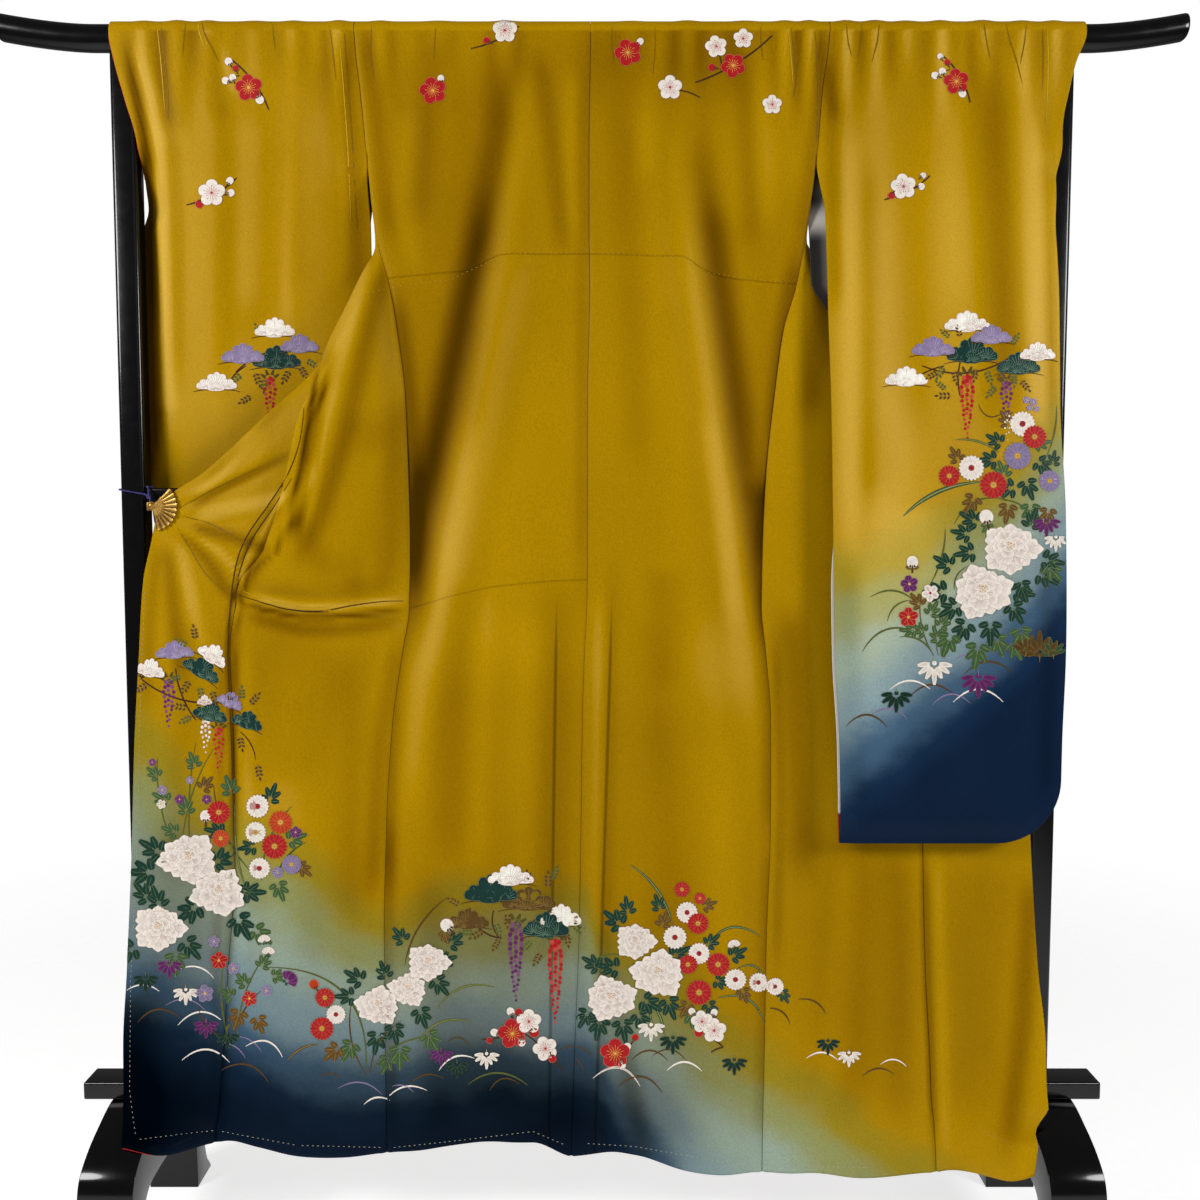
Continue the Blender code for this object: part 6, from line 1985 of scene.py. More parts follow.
# Where each flower, leaf and stroke stands, by the photo's pixels: kind, across, down,
# then its size and turn, then its dye. A stroke has its two ends, bow and width.
FLOWERS = {
    "sleeve_left": (
        ("branch", 229, 58, 269, 110, 5, 1.8, "bark"),
        ("branch", 240, 76, 222, 82, 1, 1.3, "bark"),
        ("plum", 249, 88, 14.3, 8, "red"), ("bud", 229, 62, 4.4, 30, "white"),
        ("bud", 226, 81, 4.2, 70, "white"), ("bud", 260, 100, 4.7, 200, "white"),
        ("bud", 233, 78, 4.0, 20, "white"),
        ("bud", 236, 69, 3.6, 20, "red"),
        ("branch", 187, 205, 237, 178, -4, 1.8, "bark"),
        ("plum", 212, 193, 14.3, 0, "white"), ("bud", 230, 181, 4.2, -30, "white"),
        ("bud", 231, 193, 4.2, -70, "white"), ("bud", 200, 204, 4.7, 160, "red"),
        ("branch", 236, 372, 300, 350, 8, 1.6, "bark"),
        ("branch", 246, 366, 226, 390, 3, 1.4, "bark"),
        ("pine", 275, 328, 40.3, 18.7, "white"), ("pine", 243, 354, 42.8, 18.7, "lilac"),
        ("pine", 300, 344, 37.8, 17.6, "lilac"), ("pine", 277, 358, 47.9, 22, "pine"),
        ("pine", 217, 382, 40.3, 17.6, "white"),
        ("spray", 255, 372, 9.5, 200, "brown"), ("spray", 290, 370, 9.5, 150, "brown"),
        ("spray", 242, 374, 9.0, 130, "olive"), ("spray", 264, 378, 9.0, 180, "olive"),
        ("spray", 300, 366, 9.0, 210, "brown"), ("spray", 252, 396, 9.0, 120, "brown"),
        ("spray", 262, 336, 8.5, 30, "olive"), ("spray", 306, 360, 8.5, 240, "olive"),
        ("wisteria", 270, 380, 14.0, 42, "red"),
    ),
    "body": (
        ("branch", 695, 83, 772, 36, -5, 1.9, "bark"),
        ("branch", 722, 68, 716, 48, 1, 1.3, "bark"),
        ("branch", 471, 49, 519, 27, -3, 1.6, "bark"),
        ("plum", 433, 91, 14.3, 14, "red"), ("bud", 441, 79, 3.9, 10, "white"),
        ("plum", 505, 31, 13, 0, "white"), ("bud", 487, 41, 3.9, 60, "red"),
        ("plum", 628, 53, 14.3, 20, "red"), ("bud", 640, 42, 3.9, -40, "white"),
        ("plum", 670, 88, 13, 0, "white"), ("plum", 716, 47, 11.7, 12, "white"),
        ("plum", 743, 39, 10.4, 0, "white"), ("plum", 733, 66, 13, 30, "red"),
        ("bud", 712, 68, 4.2, 80, "red"), ("plum", 772, 105, 10.4, 0, "white"),
        ("branch", 700, 98, 672, 90, 2, 1.4, "bark"),
        # left wing, upper group
        ("branch", 138, 676, 232, 700, -12, 1.7, "bark"),
        ("branch", 176, 668, 196, 720, -4, 1.5, "bark"),
        ("pine", 175, 650, 38, 16.6, "lilac", 2), ("pine", 214, 654, 32, 18.0, "white", -34),
        ("pine", 151, 668, 30, 17.5, "white", -12), ("pine", 203, 668, 40, 19.0, "pine", -30),
        ("pine", 205, 700, 15, 10.0, "white"), ("pine", 231, 700, 26, 15.0, "lilac", -24),
        ("pine", 211, 712, 35, 18.0, "pine", -14), ("pine", 248, 720, 32, 17.0, "pine", -18),
        ("wisteria", 169, 682, 14.0, 44, "purple"), ("wisteria", 206, 722, 12.0, 30, "white"),
        ("wisteria", 219, 730, 12.0, 42, "red"),
        ("spray", 148, 684, 9.5, 120, "brown"), ("spray", 140, 664, 8.0, 60, "olive"),
        ("spray", 190, 680, 9.5, 150, "brown"), ("spray", 200, 686, 9.5, 190, "olive"),
        ("spray", 182, 676, 8.5, 110, "olive"), ("spray", 212, 690, 9.0, 200, "brown"),
        ("spray", 188, 708, 9.5, 80, "brown"), ("spray", 192, 716, 8.5, 120, "olive"),
        ("spray", 196, 640, 9.0, 10, "brown"), ("spray", 188, 646, 8.5, 60, "olive"),
        ("spray", 250, 705, 9.5, -40, "brown"), ("spray", 242, 700, 8.5, 0, "olive"),
        ("spray", 240, 736, 9.0, 190, "brown"), ("spray", 258, 764, 9.5, 190, "brown"),
        ("arc", 238, 730, 256, 760, 4, 1.2, "bark"),
        ("blade", 194, 880, 196, 742, 6, 1.4, "olive"),
        ("blade", 176, 850, 158, 758, -6, 1.4, "olive"),
        ("blade", 182, 850, 214, 748, 7, 1.3, "olive"),
        ("spray", 195, 766, 13.4, 20, "leaf"), ("spray", 167, 801, 14.6, 60, "leaf"),
        ("spray", 203, 788, 13.4, -40, "brown"), ("spray", 158, 776, 12.2, 50, "leaf"),
        ("spray", 187, 812, 14.6, 10, "leaf"), ("spray", 176, 832, 13.4, 70, "leaf"),
        ("bell", 163, 790, 5.4, 0, "lilac"), ("bell", 162, 804, 5.4, 20, "cream"),
        ("bell", 180, 799, 5.4, 10, "purple"), ("bell", 207, 799, 5.4, 30, "purple"),
        ("bell", 190, 780, 4.3, 0, "lilac"), ("bell", 153, 762, 4.3, 0, "purple"),
        ("bud", 206, 816, 6.5, 0, "white"),
        # left wing, a bunch of garden flowers
        ("blade", 250, 900, 236, 800, -6, 2.2, "olive"),
        ("blade", 262, 880, 292, 806, 8, 2.0, "olive"),
        ("blade", 276, 878, 306, 842, 5, 1.8, "leaf"),
        ("blade", 250, 870, 214, 786, -8, 1.8, "leaf"),
        ("spray", 232, 792, 15.9, 20, "leaf"), ("spray", 270, 800, 15.9, -20, "green"),
        ("spray", 222, 832, 15.9, 80, "green"), ("spray", 290, 840, 15.9, -70, "leaf"),
        ("spray", 246, 888, 15.9, 160, "green"), ("spray", 278, 884, 15.9, 200, "leaf"),
        ("spray", 254, 846, 14.6, 100, "green"), ("spray", 300, 866, 13.4, 230, "brown"),
        ("mum", 219, 812, 12, 0, "red"), ("mum", 258, 806, 12, 0, "white"),
        ("mum", 281, 822, 12, 0, "orange"), ("mum", 256, 832, 11, 0, "cream"),
        ("mum", 275, 846, 13, 0, "red"), ("mum", 292, 864, 10, 0, "lilac"),
        ("mum", 260, 868, 11, 0, "white"), ("mum", 221, 838, 9, 0, "orange"),
        ("bell", 296, 832, 6.5, 0, "purple"), ("bell", 278, 872, 6.5, 20, "lilac"),
        # left wing, peonies
        ("spray", 152, 872, 23.2, 90, "green"), ("spray", 160, 852, 20.7, 60, "green"),
        ("spray", 216, 862, 19.5, -60, "green"), ("spray", 196, 906, 22, 130, "green"),
        ("spray", 238, 918, 22, 210, "green"), ("spray", 246, 892, 18.3, -90, "green"),
        ("spray", 134, 948, 19.5, 120, "green"), ("spray", 160, 905, 18.3, 20, "green"),
        ("spray", 186, 942, 19.5, 220, "green"), ("spray", 148, 898, 18.3, 40, "green"),
        ("spray", 176, 955, 18.3, 180, "leaf"), ("spray", 256, 930, 18.3, 230, "leaf"),
        ("peony", 189, 858, 30, 10, "white"), ("peony", 219, 892, 28, -30, "white"),
        ("peony", 159, 928, 27, 0, "white"),
        # left wing, low flowers
        ("blade", 230, 1048, 224, 960, -5, 1.6, "olive"),
        ("blade", 238, 1040, 268, 952, 8, 1.6, "olive"),
        ("blade", 232, 1040, 262, 990, 5, 1.5, "brown"),
        ("blade", 228, 1040, 198, 1006, -6, 1.5, "brown"),
        ("spray", 262, 966, 13.4, -30, "leaf"), ("spray", 246, 984, 13.4, 40, "leaf"),
        ("spray", 240, 1012, 15.9, 160, "brown"), ("spray", 258, 1018, 14.6, 200, "brown"),
        ("spray", 274, 976, 12.2, -80, "leaf"), ("spray", 232, 996, 13.4, 60, "leaf"),
        ("bell", 205, 993, 9.7, 10, "lilac"), ("bell", 219, 960, 9.7, 0, "red"),
        ("bell", 250, 998, 8.6, 20, "red"), ("bell", 234, 968, 6.5, 0, "lilac"),
        ("bell", 267, 990, 6.5, 0, "lilac"), ("half", 288, 980, 11.2, -50, "purple"),
        ("half", 265, 941, 7.8, 10, "white"), ("half", 269, 953, 7.8, 0, "white"),
        ("bell", 214, 941, 6.5, 0, "lilac"),
        ("bamboo", 170, 962, 14.9, 0, "purple"), ("bamboo", 146, 976, 14.9, 0, "green"),
        ("bamboo", 186, 989, 14.9, 0, "white"), ("bamboo", 206, 1022, 14.9, 0, "purple"),
        ("bamboo", 228, 1034, 13.8, 0, "green"),
        ("arc", 127, 990, 160, 991, 6, 1.6, "white"),
        ("arc", 179, 969, 214, 978, 7, 1.6, "white"),
        ("arc", 138, 1022, 181, 1018, 11, 1.7, "brown"),
        ("arc", 166, 1005, 206, 1011, 9, 1.3, "lilac"),
        ("arc", 178, 1025, 224, 1022, 12, 1.8, "white"),
        ("arc", 182, 1060, 230, 1062, 12, 1.8, "white"),
        ("arc", 246, 1046, 283, 1057, 11, 1.8, "white"),
        ("arc", 238, 1036, 262, 1052, 4, 1.3, "lilac"),
        ("arc", 221, 1070, 269, 1082, 12, 1.8, "brown"),
        ("arc", 222, 1042, 246, 1058, 4, 1.3, "lilac"),
        # foot of the back, left half
        ("arc", 264, 967, 366, 1074, 40, 2.0, "olive"),
        ("blade", 366, 1074, 352, 1000, -8, 1.6, "brown"),
        ("blade", 370, 1074, 402, 1020, 8, 1.6, "brown"),
        ("blade", 372, 1070, 436, 1036, 10, 1.8, "olive"),
        ("blade", 405, 965, 446, 898, 8, 1.8, "brown"),
        ("blade", 288, 1060, 318, 1044, 4, 2.4, "brown"),
        ("spray", 361, 980, 17.1, 60, "green"), ("spray", 352, 996, 15.9, 90, "green"),
        ("spray", 378, 1034, 18.3, 170, "green"), ("spray", 394, 1026, 17.1, 190, "green"),
        ("spray", 436, 980, 17.1, 220, "green"), ("spray", 440, 962, 15.9, -70, "green"),
        ("spray", 420, 1010, 17.1, 200, "green"), ("spray", 404, 940, 14.6, 40, "green"),
        ("spray", 386, 976, 14.6, 20, "green"), ("spray", 450, 944, 15.9, -50, "green"),
        ("spray", 400, 1048, 18.3, 180, "leaf"), ("spray", 428, 1034, 17.1, 210, "leaf"),
        ("spray", 352, 1044, 17.1, 150, "leaf"), ("spray", 338, 1048, 15.9, 130, "brown"),
        ("spray", 388, 1058, 14.6, 160, "leaf"), ("spray", 330, 1000, 13.4, 80, "leaf"),
        ("mum", 325, 997, 10, 0, "red"), ("mum", 336, 1014, 10, 0, "white"),
        ("mum", 322, 1028, 12, 0, "red"), ("bud", 314, 984, 5.2, 30, "orange"),
        ("peony", 428, 962, 22, 0, "white"), ("peony", 408, 989, 20, 30, "white"),
        ("peony", 378, 1005, 23, -10, "white"),
        ("bud", 447, 925, 7.2, 40, "white"), ("spray", 444, 932, 11, 200, "brown"),
        ("bamboo", 441, 1051, 13.8, 0, "purple"), ("bamboo", 457, 1063, 13.8, 0, "green"),
        ("bamboo", 487, 1053, 14.9, 0, "white"),
        ("arc", 338, 1088, 382, 1094, 9, 1.5, "lilac"),
        ("arc", 318, 1078, 342, 1078, 5, 1.3, "brown"),
        ("arc", 387, 1098, 427, 1090, 8, 1.7, "white"),
        ("arc", 364, 1104, 390, 1100, 5, 1.7, "white"),
        ("arc", 392, 1086, 414, 1092, 4, 1.3, "lilac"),
        ("arc", 437, 1008, 495, 987, 11, 2.4, "olive"),
        ("arc", 418, 1042, 472, 1022, 11, 2.4, "olive"),
        ("arc", 439, 1070, 475, 1058, 8, 1.8, "white"),
        ("arc", 446, 1042, 470, 1046, 7, 1.5, "brown"),
        ("arc", 410, 1084, 444, 1078, 7, 1.5, "brown"),
        ("arc", 468, 1084, 528, 1085, 12, 1.9, "olive"),
        ("arc", 490, 1090, 520, 1084, 9, 1.5, "brown"),
        # pines and wisteria beside the centre seam
        ("branch", 470, 908, 502, 938, -8, 1.7, "bark"),
        ("branch", 498, 900, 548, 902, -6, 1.7, "bark"),
        ("branch", 500, 938, 494, 910, -4, 1.4, "bark"),
        ("branch", 560, 906, 520, 936, 4, 1.5, "bark"),
        ("pine", 511, 875, 45.4, 19.8, "white"), ("pine", 529, 899, 52.9, 22, "brown"),
        ("pine", 468, 919, 42.8, 18.7, "brown"), ("pine", 491, 889, 52.9, 26.4, "pine"),
        ("pine", 561, 916, 41.6, 22, "white"), ("pine", 546, 925, 45.4, 24.2, "pine"),
        ("spray", 548, 888, 10.0, 0, "brown"), ("spray", 552, 880, 9.0, -20, "olive"),
        ("spray", 484, 930, 10.0, 120, "brown"), ("spray", 508, 912, 9.5, 180, "brown"),
        ("spray", 566, 932, 9.0, 190, "brown"), ("spray", 541, 952, 9.0, 150, "brown"),
        ("spray", 496, 922, 9.0, 200, "olive"), ("spray", 520, 918, 9.0, 160, "olive"),
        ("spray", 474, 932, 9.0, 90, "olive"), ("spray", 532, 884, 9.0, 20, "brown"),
        ("spray", 532, 940, 8.5, 140, "olive"), ("spray", 572, 922, 8.5, 220, "olive"),
        ("spray", 460, 905, 8.5, 60, "brown"), ("spray", 500, 938, 8.5, 150, "brown"),
        ("wisteria", 516, 925, 16.8, 75, "purple"), ("wisteria", 555, 942, 16.8, 80, "red"),
        ("branch", 482, 1039, 515, 1032, -2, 1.5, "bark"),
        ("branch", 520, 1030, 562, 1070, 3, 1.6, "bark"),
        ("branch", 514, 1026, 508, 1008, 1, 1.3, "bark"),
        ("plum", 513, 1033, 15.6, 10, "red"), ("plum", 529, 1021, 13, 0, "white"),
        ("plum", 545, 1048, 13, 20, "white"), ("bud", 511, 1011, 4.4, 20, "white"),
        ("bud", 519, 1012, 4.2, -20, "red"), ("bud", 495, 1032, 4.4, 70, "white"),
        ("bud", 490, 1040, 3.4, 80, "red"), ("bud", 534, 1032, 5.2, -120, "red"),
        ("bud", 522, 1042, 4.2, 180, "white"), ("bud", 552, 1058, 4.4, 200, "red"),
        # foot of the back, right half
        ("arc", 559, 1049, 592, 1055, 6, 1.6, "brown"),
        ("arc", 574, 1056, 584, 1072, 2, 1.3, "brown"),
        ("arc", 593, 1078, 640, 1086, 15, 2.2, "white"),
        ("arc", 618, 1086, 662, 1092, 13, 2.0, "brown"),
        ("arc", 667, 1070, 702, 1071, 9, 2.0, "white"),
        ("arc", 631, 1060, 668, 1060, 10, 1.8, "brown"),
        ("arc", 652, 1056, 686, 1060, 9, 1.6, "brown"),
        ("blade", 631, 865, 673, 928, 8, 3.0, "leaf"),
        ("arc", 706, 950, 760, 936, 16, 2.6, "leaf"),
        ("arc", 588, 970, 622, 955, 7, 2.0, "olive"),
        ("arc", 737, 968, 764, 980, 9, 2.2, "leaf"),
        ("arc", 717, 998, 764, 1024, 14, 2.6, "leaf"),
        ("arc", 766, 1008, 790, 1024, 6, 1.8, "brown"),
        ("blade", 648, 1000, 664, 1034, 4, 3.0, "leaf"),
        ("blade", 644, 1000, 652, 1030, 2, 2.4, "leaf"),
        ("spray", 620, 924, 18.3, 50, "green"), ("spray", 628, 912, 14.6, 10, "green"),
        ("spray", 616, 968, 18.3, 80, "green"), ("spray", 674, 956, 17.1, -60, "green"),
        ("spray", 598, 966, 15.9, 60, "green"), ("spray", 588, 1012, 15.9, 150, "green"),
        ("spray", 600, 1020, 18.3, 170, "green"), ("spray", 622, 1022, 18.3, 190, "green"),
        ("spray", 638, 1014, 17.1, 210, "green"), ("spray", 644, 1000, 18.3, 240, "green"),
        ("spray", 668, 1000, 18.3, 200, "green"), ("spray", 690, 1012, 14.6, 190, "leaf"),
        ("spray", 662, 925, 13.4, -20, "brown"), ("spray", 660, 908, 13.4, 20, "green"),
        ("spray", 708, 944, 13.4, -50, "green"), ("spray", 732, 956, 14.6, -60, "green"),
        ("spray", 704, 906, 12.2, -70, "brown"), ("spray", 708, 1004, 13.4, 210, "green"),
        ("spray", 688, 1004, 13.4, 150, "brown"), ("spray", 742, 990, 12.2, 200, "brown"),
        ("spray", 782, 992, 11, 210, "green"), ("spray", 716, 980, 13.4, 250, "green"),
        ("peony", 635, 941, 21, 0, "white"), ("peony", 658, 973, 28, -10, "white"),
        ("peony", 611, 998, 26, 20, "white"),
        ("mum", 682, 889, 8, 0, "red"), ("mum", 700, 898, 6, 0, "red"),
        ("mum", 687, 912, 11, 0, "white"), ("mum", 698, 923, 11, 0, "red"),
        ("mum", 675, 937, 12, 0, "white"), ("mum", 699, 953, 11, 0, "white"),
        ("mum", 688, 964, 10, 0, "red"), ("mum", 718, 964, 12, 0, "red"),
        ("mum", 699, 992, 13, 0, "red"), ("mum", 735, 979, 11, 0, "white"),
        ("mum", 758, 982, 10, 0, "white"), ("mum", 775, 986, 9, 0, "white"),
        ("half", 734, 946, 7.8, 10, "white"),
        ("bamboo", 651, 1024, 16.1, 0, "white"), ("bamboo", 673, 1037, 16.1, 0, "green"),
        ("bamboo", 734, 1059, 14.9, 0, "green"),
        ("branch", 704, 1036, 723, 1047, 2, 1.8, "bark"),
        ("branch", 723, 1047, 711, 1052, 1, 1.6, "bark"),
        ("branch", 626, 1048, 636, 1036, -1, 1.4, "bark"),
        ("plum", 615, 1053, 15.6, 0, "red"), ("plum", 702, 1021, 11.7, 10, "white"),
        ("plum", 714, 1030, 13, 0, "white"), ("bud", 699, 1032, 4.9, 150, "red"),
        ("bud", 627, 1046, 4.2, -40, "white"), ("bud", 635, 1037, 3.9, -30, "red"),
        ("bud", 692, 1011, 3.9, 30, "white"), ("bud", 714, 1012, 3.9, -20, "white"),
        ("bud", 622, 1064, 4.2, 200, "white"),
        # right wing
        ("arc", 798, 999, 826, 1014, 6, 1.8, "brown"),
        ("bamboo", 828, 1040, 13.8, 0, "green"), ("bamboo", 849, 1052, 13.8, 0, "white"),
        ("arc", 806, 1058, 838, 1060, 7, 1.7, "white"),
        ("arc", 862, 1076, 894, 1074, 7, 1.7, "brown"),
        ("arc", 880, 1064, 906, 1066, 6, 1.5, "white"),
    ),
    "sleeve_right": (
        ("branch", 940, 54, 970, 103, 5, 1.8, "bark"),
        ("branch", 950, 70, 934, 77, 1, 1.3, "bark"),
        ("plum", 956, 82, 13.6, 8, "red"), ("bud", 940, 57, 3.4, 30, "white"),
        ("bud", 947, 63, 3.6, 20, "red"), ("bud", 935, 76, 4.2, 70, "white"),
        ("bud", 942, 72, 4.0, 20, "white"), ("bud", 962, 94, 4.4, 200, "white"),
        ("branch", 884, 200, 930, 176, -4, 1.8, "bark"),
        ("plum", 903, 187, 13.6, 10, "white"), ("bud", 923, 176, 3.4, -50, "white"),
        ("bud", 891, 196, 4.0, 150, "red"), ("bud", 921, 187, 4.0, -80, "white"),
        ("branch", 922, 366, 1012, 356, -12, 1.7, "bark"),
        ("branch", 906, 386, 944, 366, 3, 1.5, "bark"),
        ("branch", 962, 356, 960, 396, 3, 1.5, "bark"),
        ("pine", 967, 322, 45.4, 19.8, "white"), ("pine", 933, 347, 42.8, 18.7, "lilac"),
        ("pine", 991, 335, 40.3, 17.6, "lilac"), ("pine", 972, 351, 50.4, 24.2, "pine"),
        ("pine", 1018, 364, 42.8, 20.9, "pine"), ("pine", 1037, 352, 35.3, 17.6, "white"),
        ("pine", 906, 377, 42.8, 18.7, "white"),
        ("spray", 944, 366, 9.5, 150, "olive"), ("spray", 954, 370, 9.0, 190, "brown"),
        ("spray", 938, 372, 8.5, 120, "brown"), ("spray", 986, 370, 9.5, 200, "olive"),
        ("spray", 976, 368, 8.5, 170, "brown"), ("spray", 998, 372, 8.5, 220, "brown"),
        ("spray", 952, 396, 10.0, 90, "brown"), ("spray", 946, 390, 8.0, 50, "olive"),
        ("spray", 996, 386, 9.0, 140, "olive"), ("spray", 1020, 380, 9.0, 220, "brown"),
        ("spray", 1014, 374, 8.0, 180, "olive"), ("spray", 960, 338, 8.5, 10, "brown"),
        ("spray", 950, 338, 7.5, 50, "olive"), ("spray", 1012, 345, 8.0, -30, "olive"),
        ("wisteria", 967, 378, 16.0, 60, "red"), ("wisteria", 1006, 384, 14.0, 34, "purple"),
        ("wisteria", 1007, 416, 8.0, 24, "cream"), ("bell", 1026, 400, 4.0, 0, "lilac"),
        ("bell", 1033, 402, 4.0, 20, "lilac"), ("bell", 1029, 408, 3.6, 10, "lilac"),
        ("bell", 1036, 409, 3.4, 30, "lilac"),
        ("arc", 978, 404, 1004, 412, -9, 1.4, "brown"),
        ("blade", 955, 440, 999, 453, 5, 2.6, "olive"),
        ("blade", 903, 516, 980, 482, 8, 4.6, "leaf"),
        ("arc", 954, 524, 1008, 500, 12, 1.9, "olive"),
        ("blade", 1046, 456, 1056, 406, -3, 1.8, "olive"),
        ("arc", 1000, 500, 1034, 520, 6, 1.8, "olive"),
        ("spray", 1000, 443, 14.6, 60, "green"), ("spray", 1008, 424, 13.4, 30, "brown"),
        ("spray", 1038, 462, 15.9, 230, "green"), ("spray", 994, 460, 15.9, 90, "green"),
        ("spray", 1036, 444, 13.4, -80, "leaf"), ("spray", 958, 460, 13.4, 30, "brown"),
        ("spray", 974, 498, 15.9, 150, "brown"), ("spray", 1012, 488, 17.1, 100, "green"),
        ("spray", 1026, 482, 17.1, 200, "green"), ("spray", 1008, 506, 15.9, 170, "brown"),
        ("spray", 1030, 506, 17.1, 180, "leaf"), ("spray", 1048, 510, 14.6, 170, "brown"),
        ("spray", 1052, 464, 12.2, -10, "green"), ("spray", 1004, 476, 14.6, 20, "leaf"),
        ("mum", 1022, 424, 13, 0, "white"), ("mum", 1034, 437, 12, 0, "red"),
        ("mum", 1017, 456, 14, 0, "lilac"), ("mum", 1049, 481, 11, 0, "lilac"),
        ("mum", 949, 476, 11, 0, "red"), ("mum", 971, 468, 13, 0, "white"),
        ("mum", 993, 485, 14, 0, "red"),
        ("blade", 930, 584, 945, 529, -4, 2.0, "olive"),
        ("arc", 870, 597, 915, 602, 9, 2.0, "olive"),
        ("arc", 887, 621, 911, 600, 6, 1.7, "olive"),
        ("arc", 862, 652, 917, 632, 13, 2.0, "olive"),
        ("arc", 899, 637, 933, 655, 7, 1.9, "olive"),
        ("arc", 954, 590, 968, 566, 5, 1.6, "olive"),
        ("blade", 934, 656, 920, 600, -5, 1.5, "olive"),
        ("blade", 938, 656, 936, 606, -2, 1.5, "olive"),
        ("blade", 941, 656, 952, 618, 4, 1.5, "olive"),
        ("spray", 920, 605, 13.4, 40, "brown"), ("spray", 930, 614, 13.4, -30, "leaf"),
        ("spray", 924, 632, 13.4, 60, "leaf"), ("spray", 940, 626, 13.4, -40, "leaf"),
        ("spray", 912, 568, 11, 0, "brown"), ("spray", 938, 640, 13.4, 20, "leaf"),
        ("spray", 914, 630, 13.4, 90, "leaf"),
        ("spray", 976, 522, 17.1, 60, "green"), ("spray", 968, 534, 15.9, 80, "green"),
        ("spray", 1030, 526, 17.1, -20, "green"), ("spray", 1044, 560, 18.3, 260, "green"),
        ("spray", 972, 552, 17.1, 100, "green"), ("spray", 1040, 574, 18.3, 240, "green"),
        ("spray", 1020, 584, 17.1, 200, "green"), ("spray", 950, 566, 17.1, 60, "green"),
        ("spray", 944, 592, 19.5, 90, "green"), ("spray", 956, 606, 18.3, 120, "green"),
        ("spray", 966, 624, 19.5, 150, "green"), ("spray", 990, 624, 19.5, 180, "green"),
        ("spray", 1012, 606, 18.3, 210, "green"), ("spray", 1016, 592, 17.1, 260, "green"),
        ("spray", 950, 636, 19.5, 160, "leaf"), ("spray", 978, 646, 20.7, 170, "leaf"),
        ("spray", 996, 638, 17.1, 200, "leaf"), ("spray", 1020, 630, 18.3, 190, "leaf"),
        ("spray", 1048, 566, 17.1, 220, "leaf"), ("spray", 1012, 644, 15.9, 210, "leaf"),
        ("peony", 1010, 549, 30, 0, "white"), ("peony", 982, 592, 31, 20, "white"),
        ("bud", 986, 517, 7.8, 10, "white"), ("spray", 987, 525, 11, 180, "leaf"),
        ("bud", 912, 562, 6.5, 0, "white"), ("bell", 909, 584, 9.7, 10, "purple"),
        ("bell", 930, 593, 9.7, 30, "white"), ("bell", 908, 617, 10.8, 0, "red"),
        ("bamboo", 1046, 520, 16.1, 0, "purple"), ("bamboo", 1055, 537, 13.8, 0, "white"),
        ("bamboo", 934, 663, 20.7, 0, "white"), ("bamboo", 978, 676, 20.7, 0, "purple"),
        ("bamboo", 896, 693, 18.4, 0, "green"), ("bamboo", 1039, 655, 23, 180, "brown"),
        ("bamboo", 1026, 652, 17.2, 160, "brown"), ("bamboo", 1052, 654, 16.1, 190, "leaf"),
        ("arc", 889, 690, 930, 689, 9, 1.9, "white"),
        ("arc", 909, 697, 955, 696, 12, 2.0, "brown"),
        ("arc", 846, 726, 887, 727, 12, 2.0, "brown"),
        ("arc", 872, 714, 907, 719, 8, 1.6, "lilac"),
        ("arc", 932, 705, 970, 703, 10, 1.6, "lilac"),
        ("arc", 953, 702, 1003, 702, 13, 2.0, "white"),
        ("arc", 954, 660, 982, 661, 6, 1.6, "lilac"),
        ("arc", 964, 674, 1013, 673, 12, 2.0, "brown"),
    ),
}

# How far the dye's shapes stand off the cloth, from one level to the next, how thick each
# is, and how far apart two points of one shape may lie along the view.
FLOWER_LIFT = 0.00028
FLOWER_LEVEL = 0.00006
FLOWER_THICKNESS = 0.000024
SAME_CLOTH = 0.03

# Which level each kind starts on, and how those that overlap take turns: how many
# levels come before the first is used again, and the step between two.
STACKED = {
    "spray": (0.8, 3, 2.0),
    "arc": (0.0, 1, 0.0),
    "bamboo": (6.8, 2, 1.2),
    "bell": (7.4, 2, 2.4),
    "bud": (6.8, 1, 0.0),
    "half": (6.8, 1, 0.0),
    "plum": (6.8, 1, 0.0),
    "mum": (7.0, 3, 3.2),
    "peony": (7.0, 2, 9.2),
    "pine": (2.0, 3, 3.4),
    "wisteria": (1.0, 1, 0.0),
}


STEM_INK = (80, 54, 26)


def turned(points, turn):
    """Flat points turned left by degrees."""
    c, s = math.cos(math.radians(turn)), math.sin(math.radians(turn))
    return [(u * c - v * s, u * s + v * c) for u, v in points]


def petal_outline(length, width, turn, base=0.0, point=0.0, notch=0.0, count=10):
    """A petal from its base near the middle outwards, widest towards its tip."""
    made = []
    for k in range(count):
        t = 2 * math.pi * k / count
        along = (1 - math.cos(t)) / 2
        side = math.sin(t) * (0.72 + 0.55 * along) * (1 - point * along**2)
        drawn_in = notch * along * (1 - math.cos(6 * t)) / 2
        made.append((side * (1 - 0.6 * drawn_in) * width / 2, base + length * (along - drawn_in)))
    return turned(made, turn)


# Half of a leaf's outline: places from its foot to its tip, and its width there.
LEAF_PROFILE = ((0.0, 0.0), (0.10, 0.52), (0.27, 0.96), (0.48, 0.90), (0.74, 0.46), (1.0, 0.0))


def leaf_outline(length, width, turn, base=0.0, count=10, lean=0.85):
    """A leaf, pointed at both ends and widest below its middle."""
    half = [(width / 2 * w, base + length * s**lean) for s, w in LEAF_PROFILE]
    if count < 9:
        half = half[::2] + half[-1:]
    return turned(half + [(-u, v) for u, v in half[-2:0:-1]], turn)


